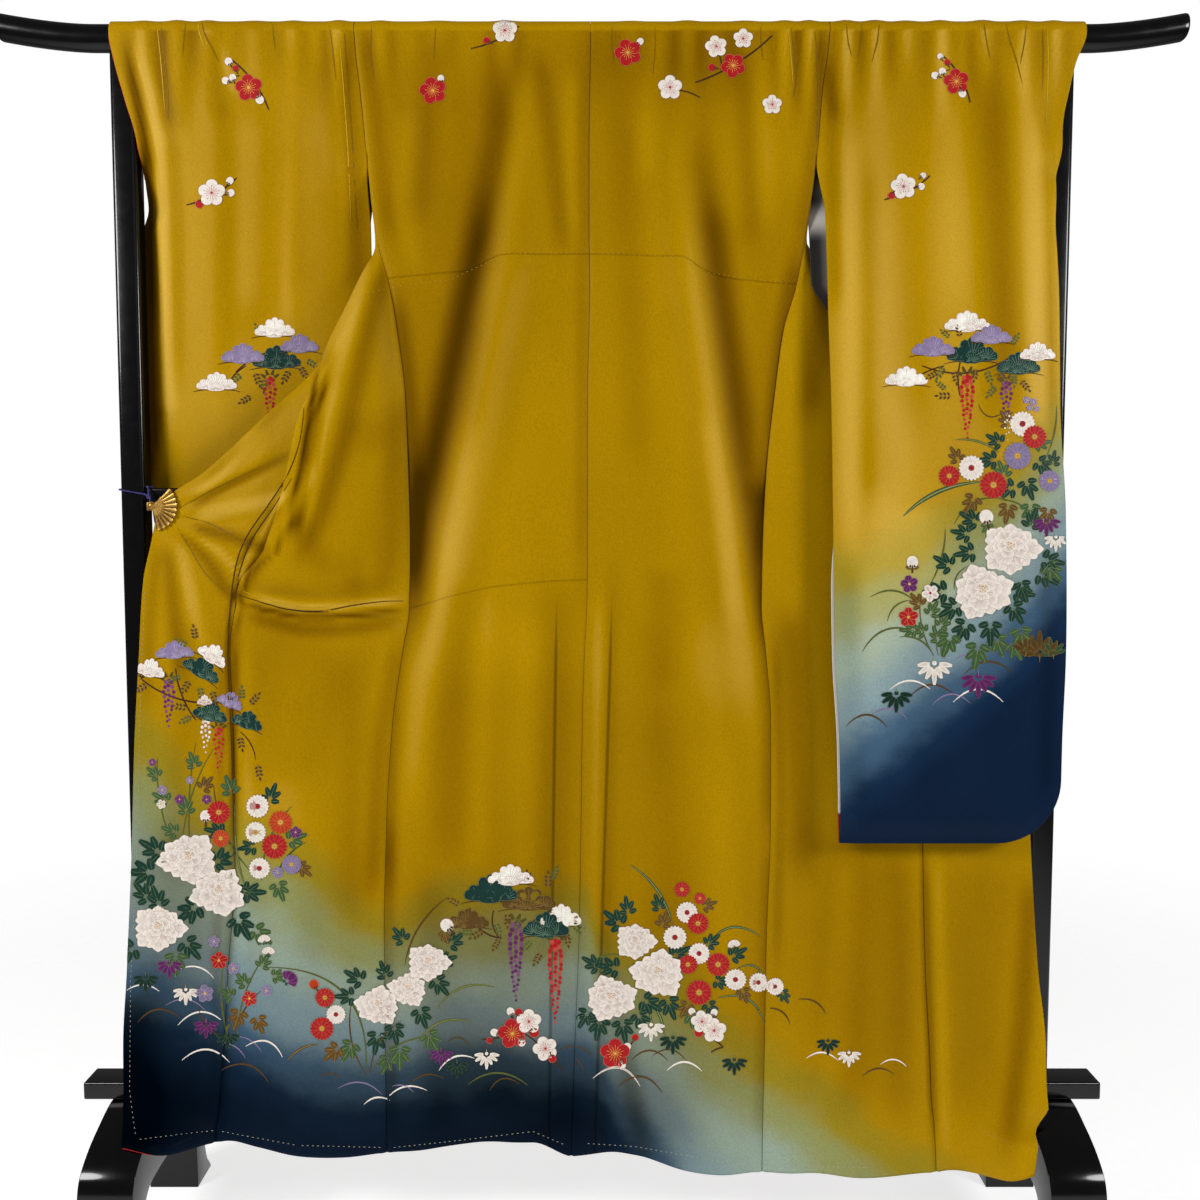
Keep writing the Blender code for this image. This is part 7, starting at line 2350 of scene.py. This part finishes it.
def round_outline(u, v, radius, squash=1.0, count=10, low=-1e9):
    """A circle, flattened, and cut off straight below low."""
    made = []
    for k in range(count):
        t = 2 * math.pi * k / count
        made.append((u + radius * math.cos(t), max(v + radius * squash * math.sin(t), low)))
    return made


def bowed_line(x0, y0, x1, y1, bow, count):
    """Points from one end to the other, bowed upwards on the page by bow."""
    dx, dy = x1 - x0, y1 - y0
    length = max(math.hypot(dx, dy), 1e-6)
    nx, ny = -dy / length, dx / length
    if ny < 0:
        nx, ny = -nx, -ny
    made = []
    for k in range(count + 1):
        t = k / count
        lift = bow * 4 * t * (1 - t)
        made.append((x0 + dx * t + nx * lift, y0 + dy * t + ny * lift))
    return made


def darker(ink, share):
    return tuple(min(int(c * share), 255) for c in ink)


def first_met(trees, eye, way, reach):
    """Place, normal, distance and name of the first cloth on a line of sight, or of the
    cloth nearest to where the line is at that reach."""
    met = [(*tree.ray_cast(eye, way), name) for name, tree in trees.items()]
    met = [found for found in met if found[0] is not None]
    if met:
        place, normal, _, far, name = min(met, key=lambda found: found[3])
        return place, normal, far, name
    aim = eye + way.normalized() * reach
    near = [(*tree.find_nearest(aim), name) for name, tree in trees.items()]
    place, normal, _, _, name = min(near, key=lambda found: found[3])
    return place, normal, reach, name


class Dyer:
    """Draws flat shapes around a middle, in pixels of the photo, v upwards."""

    def __init__(self):
        self.bm = bmesh.new()
        self.colour = self.bm.verts.layers.float_color.new("paint")

    def shape(self, outline, fill, edge=None, heart=None, level=0.0, line=0.5):
        """A filled outline with a thin dyed edge, shaded towards its heart."""
        count = len(outline)
        disc = bmesh.ops.create_circle(
            self.bm, cap_ends=True, cap_tris=True, segments=count, radius=1.0,
        )["verts"]
        u = sum(p[0] for p in outline) / count
        v = sum(p[1] for p in outline) / count
        rings = [(disc, fill, line if edge else 0.0)]
        if edge:
            inside = set(disc)
            rim = {e for w in disc for e in w.link_edges if e.is_boundary}
            grown = bmesh.ops.extrude_edge_only(self.bm, edges=list(rim))["geom"]
            outer = [g for g in grown if isinstance(g, bmesh.types.BMVert) and g not in inside]
            rings.append((outer, edge, 0.0))
        for ring, ink, inset in rings:
            for vert in ring:
                if vert.co.length < 0.5:
                    vert.co = (u, v, level)
                    vert[self.colour] = paint(*(heart or fill))
                    continue
                k = round(math.atan2(vert.co.y, vert.co.x) / (2 * math.pi) * count) % count
                a, b = outline[k]
                reach = max(math.hypot(a - u, b - v), 1e-6)
                keep = max(1 - inset / reach, 0.35)
                vert.co = (u + (a - u) * keep, v + (b - v) * keep, level)
                vert[self.colour] = paint(*ink)

    def disc(self, u, v, radius, fill, edge=None, level=0.0, count=7):
        self.shape(round_outline(u, v, radius, count=count), fill, edge, None, level)

    def stroke(self, line, width, colour, level=0.0, taper=1.0):
        """A stroke along a line, thickest at its middle."""
        last = len(line) - 1
        made = bmesh.ops.create_grid(self.bm, x_segments=last, y_segments=1, size=1.0)["verts"]
        for vert in made:
            i = round((vert.co.x + 1) / 2 * last)
            a, b = line[max(i - 1, 0)], line[min(i + 1, last)]
            size = max(math.hypot(b[0] - a[0], b[1] - a[1]), 1e-6)
            swell = 1 - taper * (1 - math.sin(math.pi * (0.04 + 0.92 * i / last)) ** 0.7)
            half = width / 2 * swell * vert.co.y
            u = line[i][0] - (b[1] - a[1]) / size * half
            v = line[i][1] + (b[0] - a[0]) / size * half
            vert.co = (u, v, level)
            vert[self.colour] = paint(*colour)

    def ray(self, turn, start, end, width, colour, level, middle=(0, 0)):
        """A fine straight line outwards from the middle."""
        points = turned([(0, start), (0, (start + end) / 2), (0, end)], turn)
        self.stroke([(u + middle[0], v + middle[1]) for u, v in points], width, colour, level, 0.3)

    def plum(self, size, turn, ink):
        fill, edge, heart = INKS[ink]
        for k in range(5):
            u, v = turned([(0, size * 0.54)], turn + 72 * k)[0]
            outline = round_outline(u, v, size * 0.43, count=12)
            self.shape(outline, fill, edge, darker(fill, 0.96), 1.0 + 0.6 * (k % 3), 0.45)
        self.disc(0, 0, size * 0.28, fill, None, 2.8)
        for k in range(15):
            a = turn + 24 * k
            far = size * (0.52 if k % 3 == 0 else 0.40)
            self.ray(a, 0, far, 0.32, heart, 3.4)
            u, v = turned([(0, far)], a)[0]
            self.disc(u, v, 0.42, heart, None, 4.0, 5)
        self.disc(0, 0, size * 0.09, heart, None, 4.6)

    def bud(self, size, turn, ink):
        fill, edge, _ = INKS[ink]
        ball = turned(round_outline(0, 0, size * 0.92, 1.08, 12), turn)
        self.shape(ball, fill, edge, darker(fill, 0.94), 1, 0.4)
        for side in (-28, 0, 28):
            line = leaf_outline(size * 0.9, size * 0.4, turn + side, -size * 1.2, 6)
            self.shape(line, STEM_INK, None, None, 2)
        self.ray(turn, -size * 1.7, -size * 0.9, size * 0.3, STEM_INK, 1.5)

    def bell(self, size, turn, ink):
        fill, edge, heart = INKS[ink]
        for k in range(5):
            a = turn + 72 * k
            line = petal_outline(size, size * 0.92, a, 0, 0.5)
            self.shape(line, fill, edge, darker(fill, 0.85), 0.5 * k)
            self.ray(a, size * 0.2, size * 0.8, 0.3, edge, 3)
        self.disc(0, 0, size * 0.14, heart, None, 4)

    def half(self, size, turn, ink):
        fill, edge, _ = INKS[ink]
        for k, a in enumerate((-62, 62, -34, 34, 0)):
            line = petal_outline(size, size * 0.66, turn + a, 0, 0.1, 0.05)
            self.shape(line, fill, edge, darker(fill, 0.9), 0.5 * k)
        for side in (-30, 30):
            line = leaf_outline(size * 0.6, size * 0.3, turn + 180 + side, 0, 6)
            self.shape(line, (50, 80, 50), None, None, 3)

    def mum(self, size, turn, ink):
        fill, edge, heart = INKS[ink]
        count = 20
        self.disc(0, 0, size * 0.72, edge, None, 0, 20)
        for k in range(count):
            a = turn + 360 * k / count
            line = petal_outline(size * 0.82, size * 0.30, a, size * 0.18, 0.0, 0, 8)
            self.shape(line, fill, edge, darker(fill, 0.93), 0.8 + 0.6 * (k % 2), 0.26)
        self.disc(0, 0, size * 0.24, darker(heart, 0.75), None, 2.2, 9)
        for k in range(6):
            u, v = turned([(0, size * 0.13)], turn + 60 * k)[0]
            self.disc(u, v, size * 0.06, heart, None, 2.8, 5)

    def peony(self, size, turn, ink):
        """Rings of ruffled petals, the outer ones large, round a heart of stamens."""
        fill, edge, _ = INKS[ink]
        shade = (206, 190, 180)
        line_ink = (164, 138, 128)
        rings = (
            (8, 1.00, 0.80, 0.0, 0.0, 0.00), (6, 0.72, 0.72, 2.2, 24.0, 0.04),
            (5, 0.46, 0.54, 4.4, 8.0, 0.08), (3, 0.27, 0.38, 6.6, 30.0, 0.11),
        )
        for count, reach, width, level, start, above in rings:
            for k in range(count):
                a = turn + start + 360 * k / count
                length = size * reach * (1 + 0.13 * math.sin(2.3 * k + turn + level))
                up = size * above
                high = level + 0.6 * (k % 3)
                outline = petal_outline(length, size * width, a, 0, 0.0, 0.13, 24)
                outline = [(u, v * 0.86 + up) for u, v in outline]
                self.shape(outline, fill, line_ink, shade, high, 0.42)
                for side in (-9, 8) if reach > 0.4 else ():
                    self.ray(
                        a + side, length * 0.50, length * 0.80, 0.26, edge, level + 1.7, (0, up)
                    )
        for k in range(9):
            u, v = turned([(0, size * (0.12 if k % 2 else 0.06))], turn + 40 * k)[0]
            self.disc(u, v + size * 0.13, size * 0.028, (206, 156, 84), None, 8.6, 5)

    def spray(self, size, turn, ink):
        """Five pointed leaves from one stalk, the middle one longest."""
        fill, edge, _ = INKS[ink]
        light = darker(fill, 1.35)
        leaves = ((-74, 0.80, -0.06), (74, 0.80, -0.06), (-38, 0.98, 0.10), (38, 0.98, 0.10),
                  (0, 1.22, 0.20))
        for k, (a, reach, base) in enumerate(leaves):
            way = turn + a
            length = size * reach
            foot = turned([(0, size * base)], turn)[0]
            outline = leaf_outline(length, size * 0.37, way)
            outline = [(u + foot[0], v + foot[1]) for u, v in outline]
            self.shape(outline, fill, edge, light, 0.5 * (k % 3), 0.30)
            self.ray(way, 0, length * 0.82, 0.34, edge, 1.5, foot)

    def frond(self, size, turn, ink):
        """Small leaves in pairs along a stalk, with one at its end."""
        fill, edge, _ = INKS[ink]
        long = size * 1.75
        self.ray(turn, 0, long * 0.8, 0.4, edge, 0)
        for k in range(7):
            way = turn + (0 if k == 0 else (-52, 52)[k % 2])
            along = 0.75 if k == 0 else 0.12 + 0.22 * ((k - 1) // 2)
            foot = turned([(0, long * along)], turn)[0]
            outline = leaf_outline(size * (0.62 if k == 0 else 0.58), size * 0.25, way, 0)
            outline = [(u + foot[0], v + foot[1]) for u, v in outline]
            self.shape(outline, fill, edge, darker(fill, 0.85), 0.6 + 0.5 * (k % 2), 0.30)

    def bamboo(self, size, turn, ink):
        """Narrow leaves that hang from one point."""
        fill, edge, _ = INKS[ink]
        rim = edge if ink != "white" else (190, 160, 110)
        for k, (a, reach) in enumerate((
            (98, 0.90), (-98, 0.95), (124, 1.0), (-124, 0.95), (152, 0.95), (-154, 0.9),
            (180, 1.15),
        )):
            outline = leaf_outline(size * reach * 1.12, size * 0.27, turn + a, 0, 10, 0.66)
            self.shape(outline, fill, rim, darker(fill, 0.85), 0.6 * (k % 3), 0.30)
        self.disc(0, 0, size * 0.12, fill, None, 2.0)
        self.ray(turn, 0, size * 0.3, 0.5, rim, 2.6)

    def pine(self, width, height, ink, turn=0):
        """A pine's cloud of needles: scalloped fans, each with its fan of lines."""
        fill, edge, _ = INKS[ink]
        lighter = darker(fill, 1.12)
        fans = (
            (0.0, -0.26, 0.34, 0.84, 5),
            (-0.27, -0.36, 0.25, 0.56, 4),
            (0.27, -0.36, 0.25, 0.56, 4),
            (-0.02, -0.46, 0.23, 0.42, 3),
        )
        for k, (u, v, wide, tall, lobes) in enumerate(fans):
            cu, cv = u * width, v * height
            steps = lobes * 4
            outline = []
            for n in range(steps + 1):
                a = math.pi * n / steps
                lobe = 0.86 + 0.14 * abs(math.sin(lobes * a)) ** 0.7
                outline.append((
                    cu + wide * width * lobe * math.cos(a),
                    cv + tall * height * lobe * math.sin(a),
                ))
            outline.append((cu - wide * width * 0.4, cv - height * 0.06))
            outline.append((cu + wide * width * 0.4, cv - height * 0.06))
            self.shape(turned(outline, turn), fill, edge, lighter, 1.2 * (0, 1, 1, 2)[k], 0.42)
            for n in range(11):
                a = math.pi * (n + 0.5) / 11
                far = (wide * width * 0.82 * math.cos(a), tall * height * 0.82 * math.sin(a))
                line = [(cu + far[0] * s, cv + far[1] * s) for s in (0.18, 0.6, 1.0)]
                self.stroke(turned(line, turn), 0.30, edge, 1.2 * (0, 1, 1, 2)[k] + 0.6, 0.0)
        low = -height * 0.48
        for side in (-1, 1):
            line = bowed_line(0, low, side * width * 0.58, low - height * 0.08, height * 0.08, 6)
            self.stroke(turned(line, turn), 0.9, STEM_INK, 0, 0.7)

    def wisteria(self, width, length, ink):
        """A hanging cluster of small round florets, fullest near its top."""
        fill, edge, _ = INKS[ink]
        pale = tuple(int(0.55 * a + 0.45 * b) for a, b in zip(fill, edge))
        rows = max(int(length / 4.2), 4)
        for n in range(rows):
            t = n / (rows - 1)
            full = min(1.0, 0.55 + 2.2 * t) if t < 0.2 else (1 - (t - 0.2) / 0.8) ** 0.8
            half = width / 2 * full
            size = 1.75 * (1 - 0.45 * t) * width / 12
            sides = (-1, 0, 1) if half > width * 0.26 else (-1, 1) if t < 0.9 else (0,)
            for k, side in enumerate(sides):
                wander = 0.5 * math.sin(2.1 * n + 1.3 * k)
                u, v = side * half * 0.72 + wander, -length * t + (1.6 if k % 2 else 0)
                outline = round_outline(u, v, size, 1.1, 7)
                colour = fill if (n + k) % 3 else pale
                self.shape(outline, colour, pale, None, 0.5 * ((n + k) % 3), 0.22)
        for side in (-58, 58, -22, 22):
            outline = leaf_outline(width * 0.9, width * 0.26, side, 1, 8)
            self.shape(outline, (84, 70, 24), (150, 122, 52), None, 0, 0.25)

    def raise_all(self, levels):
        for vert in self.bm.verts:
            vert.co.z += levels

    def lay(self, across, down, trees, onto):
        """Lays what was drawn on the cloth that the camera sees there."""
        stage = bpy.context.scene.kimono_stage
        eye = Vector((0, -stage.distance, stage.eye))
        c, s = math.cos(VIEW_PITCH), math.sin(VIEW_PITCH)
        self.bm.normal_update()
        under = [f for f in self.bm.faces if f.normal.z < 0]
        bmesh.ops.reverse_faces(self.bm, faces=under)
        reach, owner = None, None
        for vert in [None, *self.bm.verts]:
            u, v, level = (0, 0, 0) if vert is None else vert.co
            right = (across + u - VIEW_MIDDLE[0]) / VIEW_FOCUS
            up = (VIEW_MIDDLE[1] - down + v) / VIEW_FOCUS
            way = Vector((right, c + up * s, -s + up * c))
            place, normal, far, name = first_met(trees, eye, way, reach or stage.distance)
            if reach is None or abs(far - reach) < SAME_CLOTH:
                reach = far
            if vert is None:
                owner = name
                continue
            facing = normal if normal.dot(way) < 0 else -normal
            vert.co = place + facing * (WALL / 2 + FLOWER_LIFT + FLOWER_LEVEL * level)
        mesh = bpy.data.meshes.new("laid")
        self.bm.to_mesh(mesh)
        self.bm.free()
        onto[owner].from_mesh(mesh)
        bpy.data.meshes.remove(mesh)


def dye_and_fold_shadow_material(colours):
    """Hand-painted dye with fine lines on the crepe, and the painted shadow and highlight lines of
    the folds: each shape has its own colour.
    """
    nodes = Nodes("hand_painted_dye_and_fold_shadows")
    colour = nodes.add("Attribute", {"attribute_name": "paint"}).outputs["Color"]
    wash = nodes.noise(nodes.place(), 190.0, 3.0)
    colour = nodes.tinted(colour, wash, 0.30, (0.86, 0.86, 0.86), 0.62)
    nodes.set(
        Base_Color=colour, Roughness=0.55, Normal=crepe(nodes), Specular_IOR_Level=0.14,
    )
    return nodes.material


class MESH_OT_kimono_flowers(bpy.types.Operator):
    """Lay the dyed flowers, leaves and strokes, and the painted shadow and highlight lines of the
    folds, on the sleeves, back and wings
    """

    bl_idname = "mesh.kimono_flowers"
    bl_label = "Dyed Flowers"

    def execute(self, context):
        groups = {
            "sleeve_left": ("sleeve_left",),
            "sleeve_right": ("sleeve_right",),
            "body": ("body_left", "body_right", "okumi_left", "okumi_right"),
        }
        finish = shared_material("hand_painted_dye_and_fold_shadows", dye_and_fold_shadow_material)
        for group, panels in groups.items():
            self.laid = {}
            trees = {panel: CLOTH_TREES[panel] for panel in panels}
            onto = {panel: bmesh.new() for panel in panels}
            for bm in onto.values():
                bm.verts.layers.float_color.new("paint")
            stitched = tuple(
                ("stitches", *a, *b, ink)
                for points, ink in STITCHES for a, b in zip(points, points[1:])
            ) if group == "body" else ()
            for row in CREASE_LINES[group] + stitched + FLOWERS[group]:
                self.lay_one(*row[:3], row[3:], trees, onto)
            for panel, bm in onto.items():
                if not bm.verts:
                    bm.free()
                    continue
                piece = keep_piece("dye_and_fold_shadows_" + panel, bm, finish)
                piece.data.shade_flat()
                solid = piece.modifiers.new("dye", "SOLIDIFY")
                solid.thickness = FLOWER_THICKNESS
                solid.offset = 0
        return {"FINISHED"}

    def lay_one(self, kind, across, down, rest, trees, onto):
        dyer = Dyer()
        if kind == "stitches":
            x1, y1, ink = rest
            count = max(int(math.hypot(x1 - across, y1 - down) / STITCH_PITCH), 2)
            points = bowed_line(0, 0, x1 - across, down - y1, 0, count)
            for a, b in zip(points, points[1:]):
                half = (a[0] + (b[0] - a[0]) * 0.32, a[1] + (b[1] - a[1]) * 0.32)
                dyer.stroke([a, half], 0.5, INKS[ink][0], 1.0, 0.0)
        elif kind in ("arc", "blade", "branch"):
            x1, y1, bow, width, ink = rest
            fill, edge, _ = INKS[ink]
            length = math.hypot(x1 - across, y1 - down)
            line = bowed_line(0, 0, x1 - across, down - y1, bow, max(int(length / 3.5), 4))
            dyer.stroke(line, width, fill, 0.0, 0.35 if kind == "branch" else 1.0)
            if width > 2 and kind != "branch":
                dyer.stroke(line, width * 0.3, edge, 1.0)
        elif kind == "crease":
            # A crease is a painted shadow or painted highlight line along a fold.
            points, width, ink = rest
            flat = [(0, 0, 0)] + [(x - across, down - y, 0) for x, y in points]
            line = [(p.x, p.y) for p in spline_through(flat, 5)]
            dyer.stroke(line, width, INKS[ink][0], 0.0, 0.8)
        else:
            small = kind == "spray" and rest[0] <= 10
            getattr(dyer, "frond" if small else kind)(*rest)
        start, cycle, step = STACKED.get(kind, (0.0, 1, 0.0))
        turn_of = self.laid.get(kind, 0)
        self.laid[kind] = turn_of + 1
        dyer.raise_all(start + step * (turn_of % cycle))
        dyer.lay(across, down, trees, onto)


# The soft lights: place, where each points, size, and power as a share of the key's.
LIGHTS = (
    ("key", (-2.0, -1.5, 1.95), (-0.2, 0, 1.1), 0.8, 1.0),
    ("second", (2.1, -1.6, 1.85), (0.2, 0, 1.1), 0.8, 0.85),
    ("front", (0.0, -3.4, 2.2), (0, 0, 0.9), 2.2, 0.10),
)


class SCENE_OT_kimono_stage(bpy.types.Operator):
    """Set up the pale floor, the soft light and the camera"""

    bl_idname = "scene.kimono_stage"
    bl_label = "Stage"

    def execute(self, context):
        scene = context.scene
        self.floor(scene)
        self.surround(scene, scene.kimono_stage.ambient)
        for light in LIGHTS:
            self.area(scene, scene.kimono_stage.key, *light)
        self.camera(scene, scene.kimono_stage)
        return {"FINISHED"}

    def floor(self, scene):
        bm = bmesh.new()
        bmesh.ops.create_grid(bm, x_segments=1, y_segments=1, size=12.0)
        mesh = bpy.data.meshes.new("floor")
        bm.to_mesh(mesh)
        bm.free()
        nodes = Nodes("pale_floor")
        far = nodes.add("VectorMath", {"operation": "LENGTH"}, Vector=nodes.place())
        eased = {"interpolation_type": "SMOOTHSTEP"}
        fade = nodes.add("MapRange", eased, Value=far.outputs["Value"])
        for key, number in (("From Min", 1.0), ("From Max", 2.6), ("To Min", 1.0), ("To Max", 0.0)):
            fade.inputs[key].default_value = number
        grain = nodes.ramp(nodes.noise(nodes.place(), 60.0, 3.0), (
            (0.3, (0.62, 0.62, 0.62, 1)), (0.7, (0.66, 0.66, 0.66, 1)),
        ))
        nodes.set(
            Base_Color=grain, Roughness=0.9, Specular_IOR_Level=0.0, Alpha=fade.outputs["Result"],
            Emission_Color=(1, 1, 1, 1), Emission_Strength=0.72,
        )
        mesh.materials.append(nodes.material)
        floor = bpy.data.objects.new("floor", mesh)
        scene.collection.objects.link(floor)

    def surround(self, scene, ambient):
        """White all round, as seen, but dimmer as a light."""
        world = bpy.data.worlds.new("studio")
        world.use_nodes = True
        background = world.node_tree.nodes["Background"]
        background.inputs["Color"].default_value = (1, 1, 1, 1)
        seen = world.node_tree.nodes.new("ShaderNodeLightPath")
        dim = world.node_tree.nodes.new("ShaderNodeMapRange")
        dim.inputs["To Min"].default_value = ambient
        dim.inputs["To Max"].default_value = 1.0
        world.node_tree.links.new(seen.outputs["Is Camera Ray"], dim.inputs["Value"])
        world.node_tree.links.new(dim.outputs["Result"], background.inputs["Strength"])
        scene.world = world
        scene.view_settings.view_transform = "Standard"

    def camera(self, scene, stage):
        data = bpy.data.cameras.new("camera")
        data.sensor_width = FILM_WIDTH
        data.lens = FILM_WIDTH * VIEW_FOCUS / VIEW_WIDTH
        data.shift_x = (VIEW_WIDTH / 2 - VIEW_MIDDLE[0]) / VIEW_WIDTH
        data.clip_start = 0.05
        camera = bpy.data.objects.new("camera", data)
        camera.location = (0, -stage.distance, stage.eye)
        camera.rotation_euler = (math.pi / 2 - VIEW_PITCH, 0, 0)
        scene.collection.objects.link(camera)
        scene.camera = camera

    def area(self, scene, key, name, place, target, size, share):
        data = bpy.data.lights.new(name, "AREA")
        data.shape = "DISK"
        data.size = size
        data.energy = key * share
        light = bpy.data.objects.new(name, data)
        light.location = place
        aim = Vector(target) - Vector(place)
        light.rotation_euler = aim.to_track_quat("-Z", "Y").to_euler()
        scene.collection.objects.link(light)


OPERATORS = (
    MESH_OT_kimono_body,
    MESH_OT_kimono_overlaps,
    MESH_OT_kimono_sleeves,
    MESH_OT_kimono_collar,
    MESH_OT_kimono_flowers,
    MESH_OT_kimono_stand,
    MESH_OT_kimono_clip,
    MESH_OT_kimono_tie,
    MESH_OT_kimono_rolls,
    SCENE_OT_kimono_stage,
)


class VIEW3D_PT_kimono(bpy.types.Panel):
    """Lists the pieces in the order they are made"""

    bl_idname = "VIEW3D_PT_kimono"
    bl_label = "Furisode Kimono"
    bl_space_type = "VIEW_3D"
    bl_region_type = "UI"
    bl_category = "Kimono"

    def draw(self, context):
        column = self.layout.column()
        for operator in OPERATORS:
            column.operator(operator.bl_idname)
        for group in ("kimono_cloth", "kimono_colours", "kimono_stage"):
            settings = getattr(context.scene, group)
            for name in settings.bl_rna.properties.keys():
                if name not in ("rna_type", "name"):
                    column.prop(settings, name)


GROUPS = {
    "kimono_cloth": KimonoCloth,
    "kimono_colours": KimonoColours,
    "kimono_stage": KimonoStage,
}


def register():
    for kind in (*GROUPS.values(), *OPERATORS, VIEW3D_PT_kimono):
        bpy.utils.register_class(kind)
    for name, group in GROUPS.items():
        setattr(bpy.types.Scene, name, PointerProperty(type=group))


def unregister():
    for name in GROUPS:
        delattr(bpy.types.Scene, name)
    for kind in (VIEW3D_PT_kimono, *reversed(OPERATORS), *GROUPS.values()):
        bpy.utils.unregister_class(kind)


def main():
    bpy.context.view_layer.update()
    register()
    for operator in OPERATORS:
        family, name = operator.bl_idname.split(".")
        getattr(getattr(bpy.ops, family), name)()


if __name__ == "__main__":
    main()
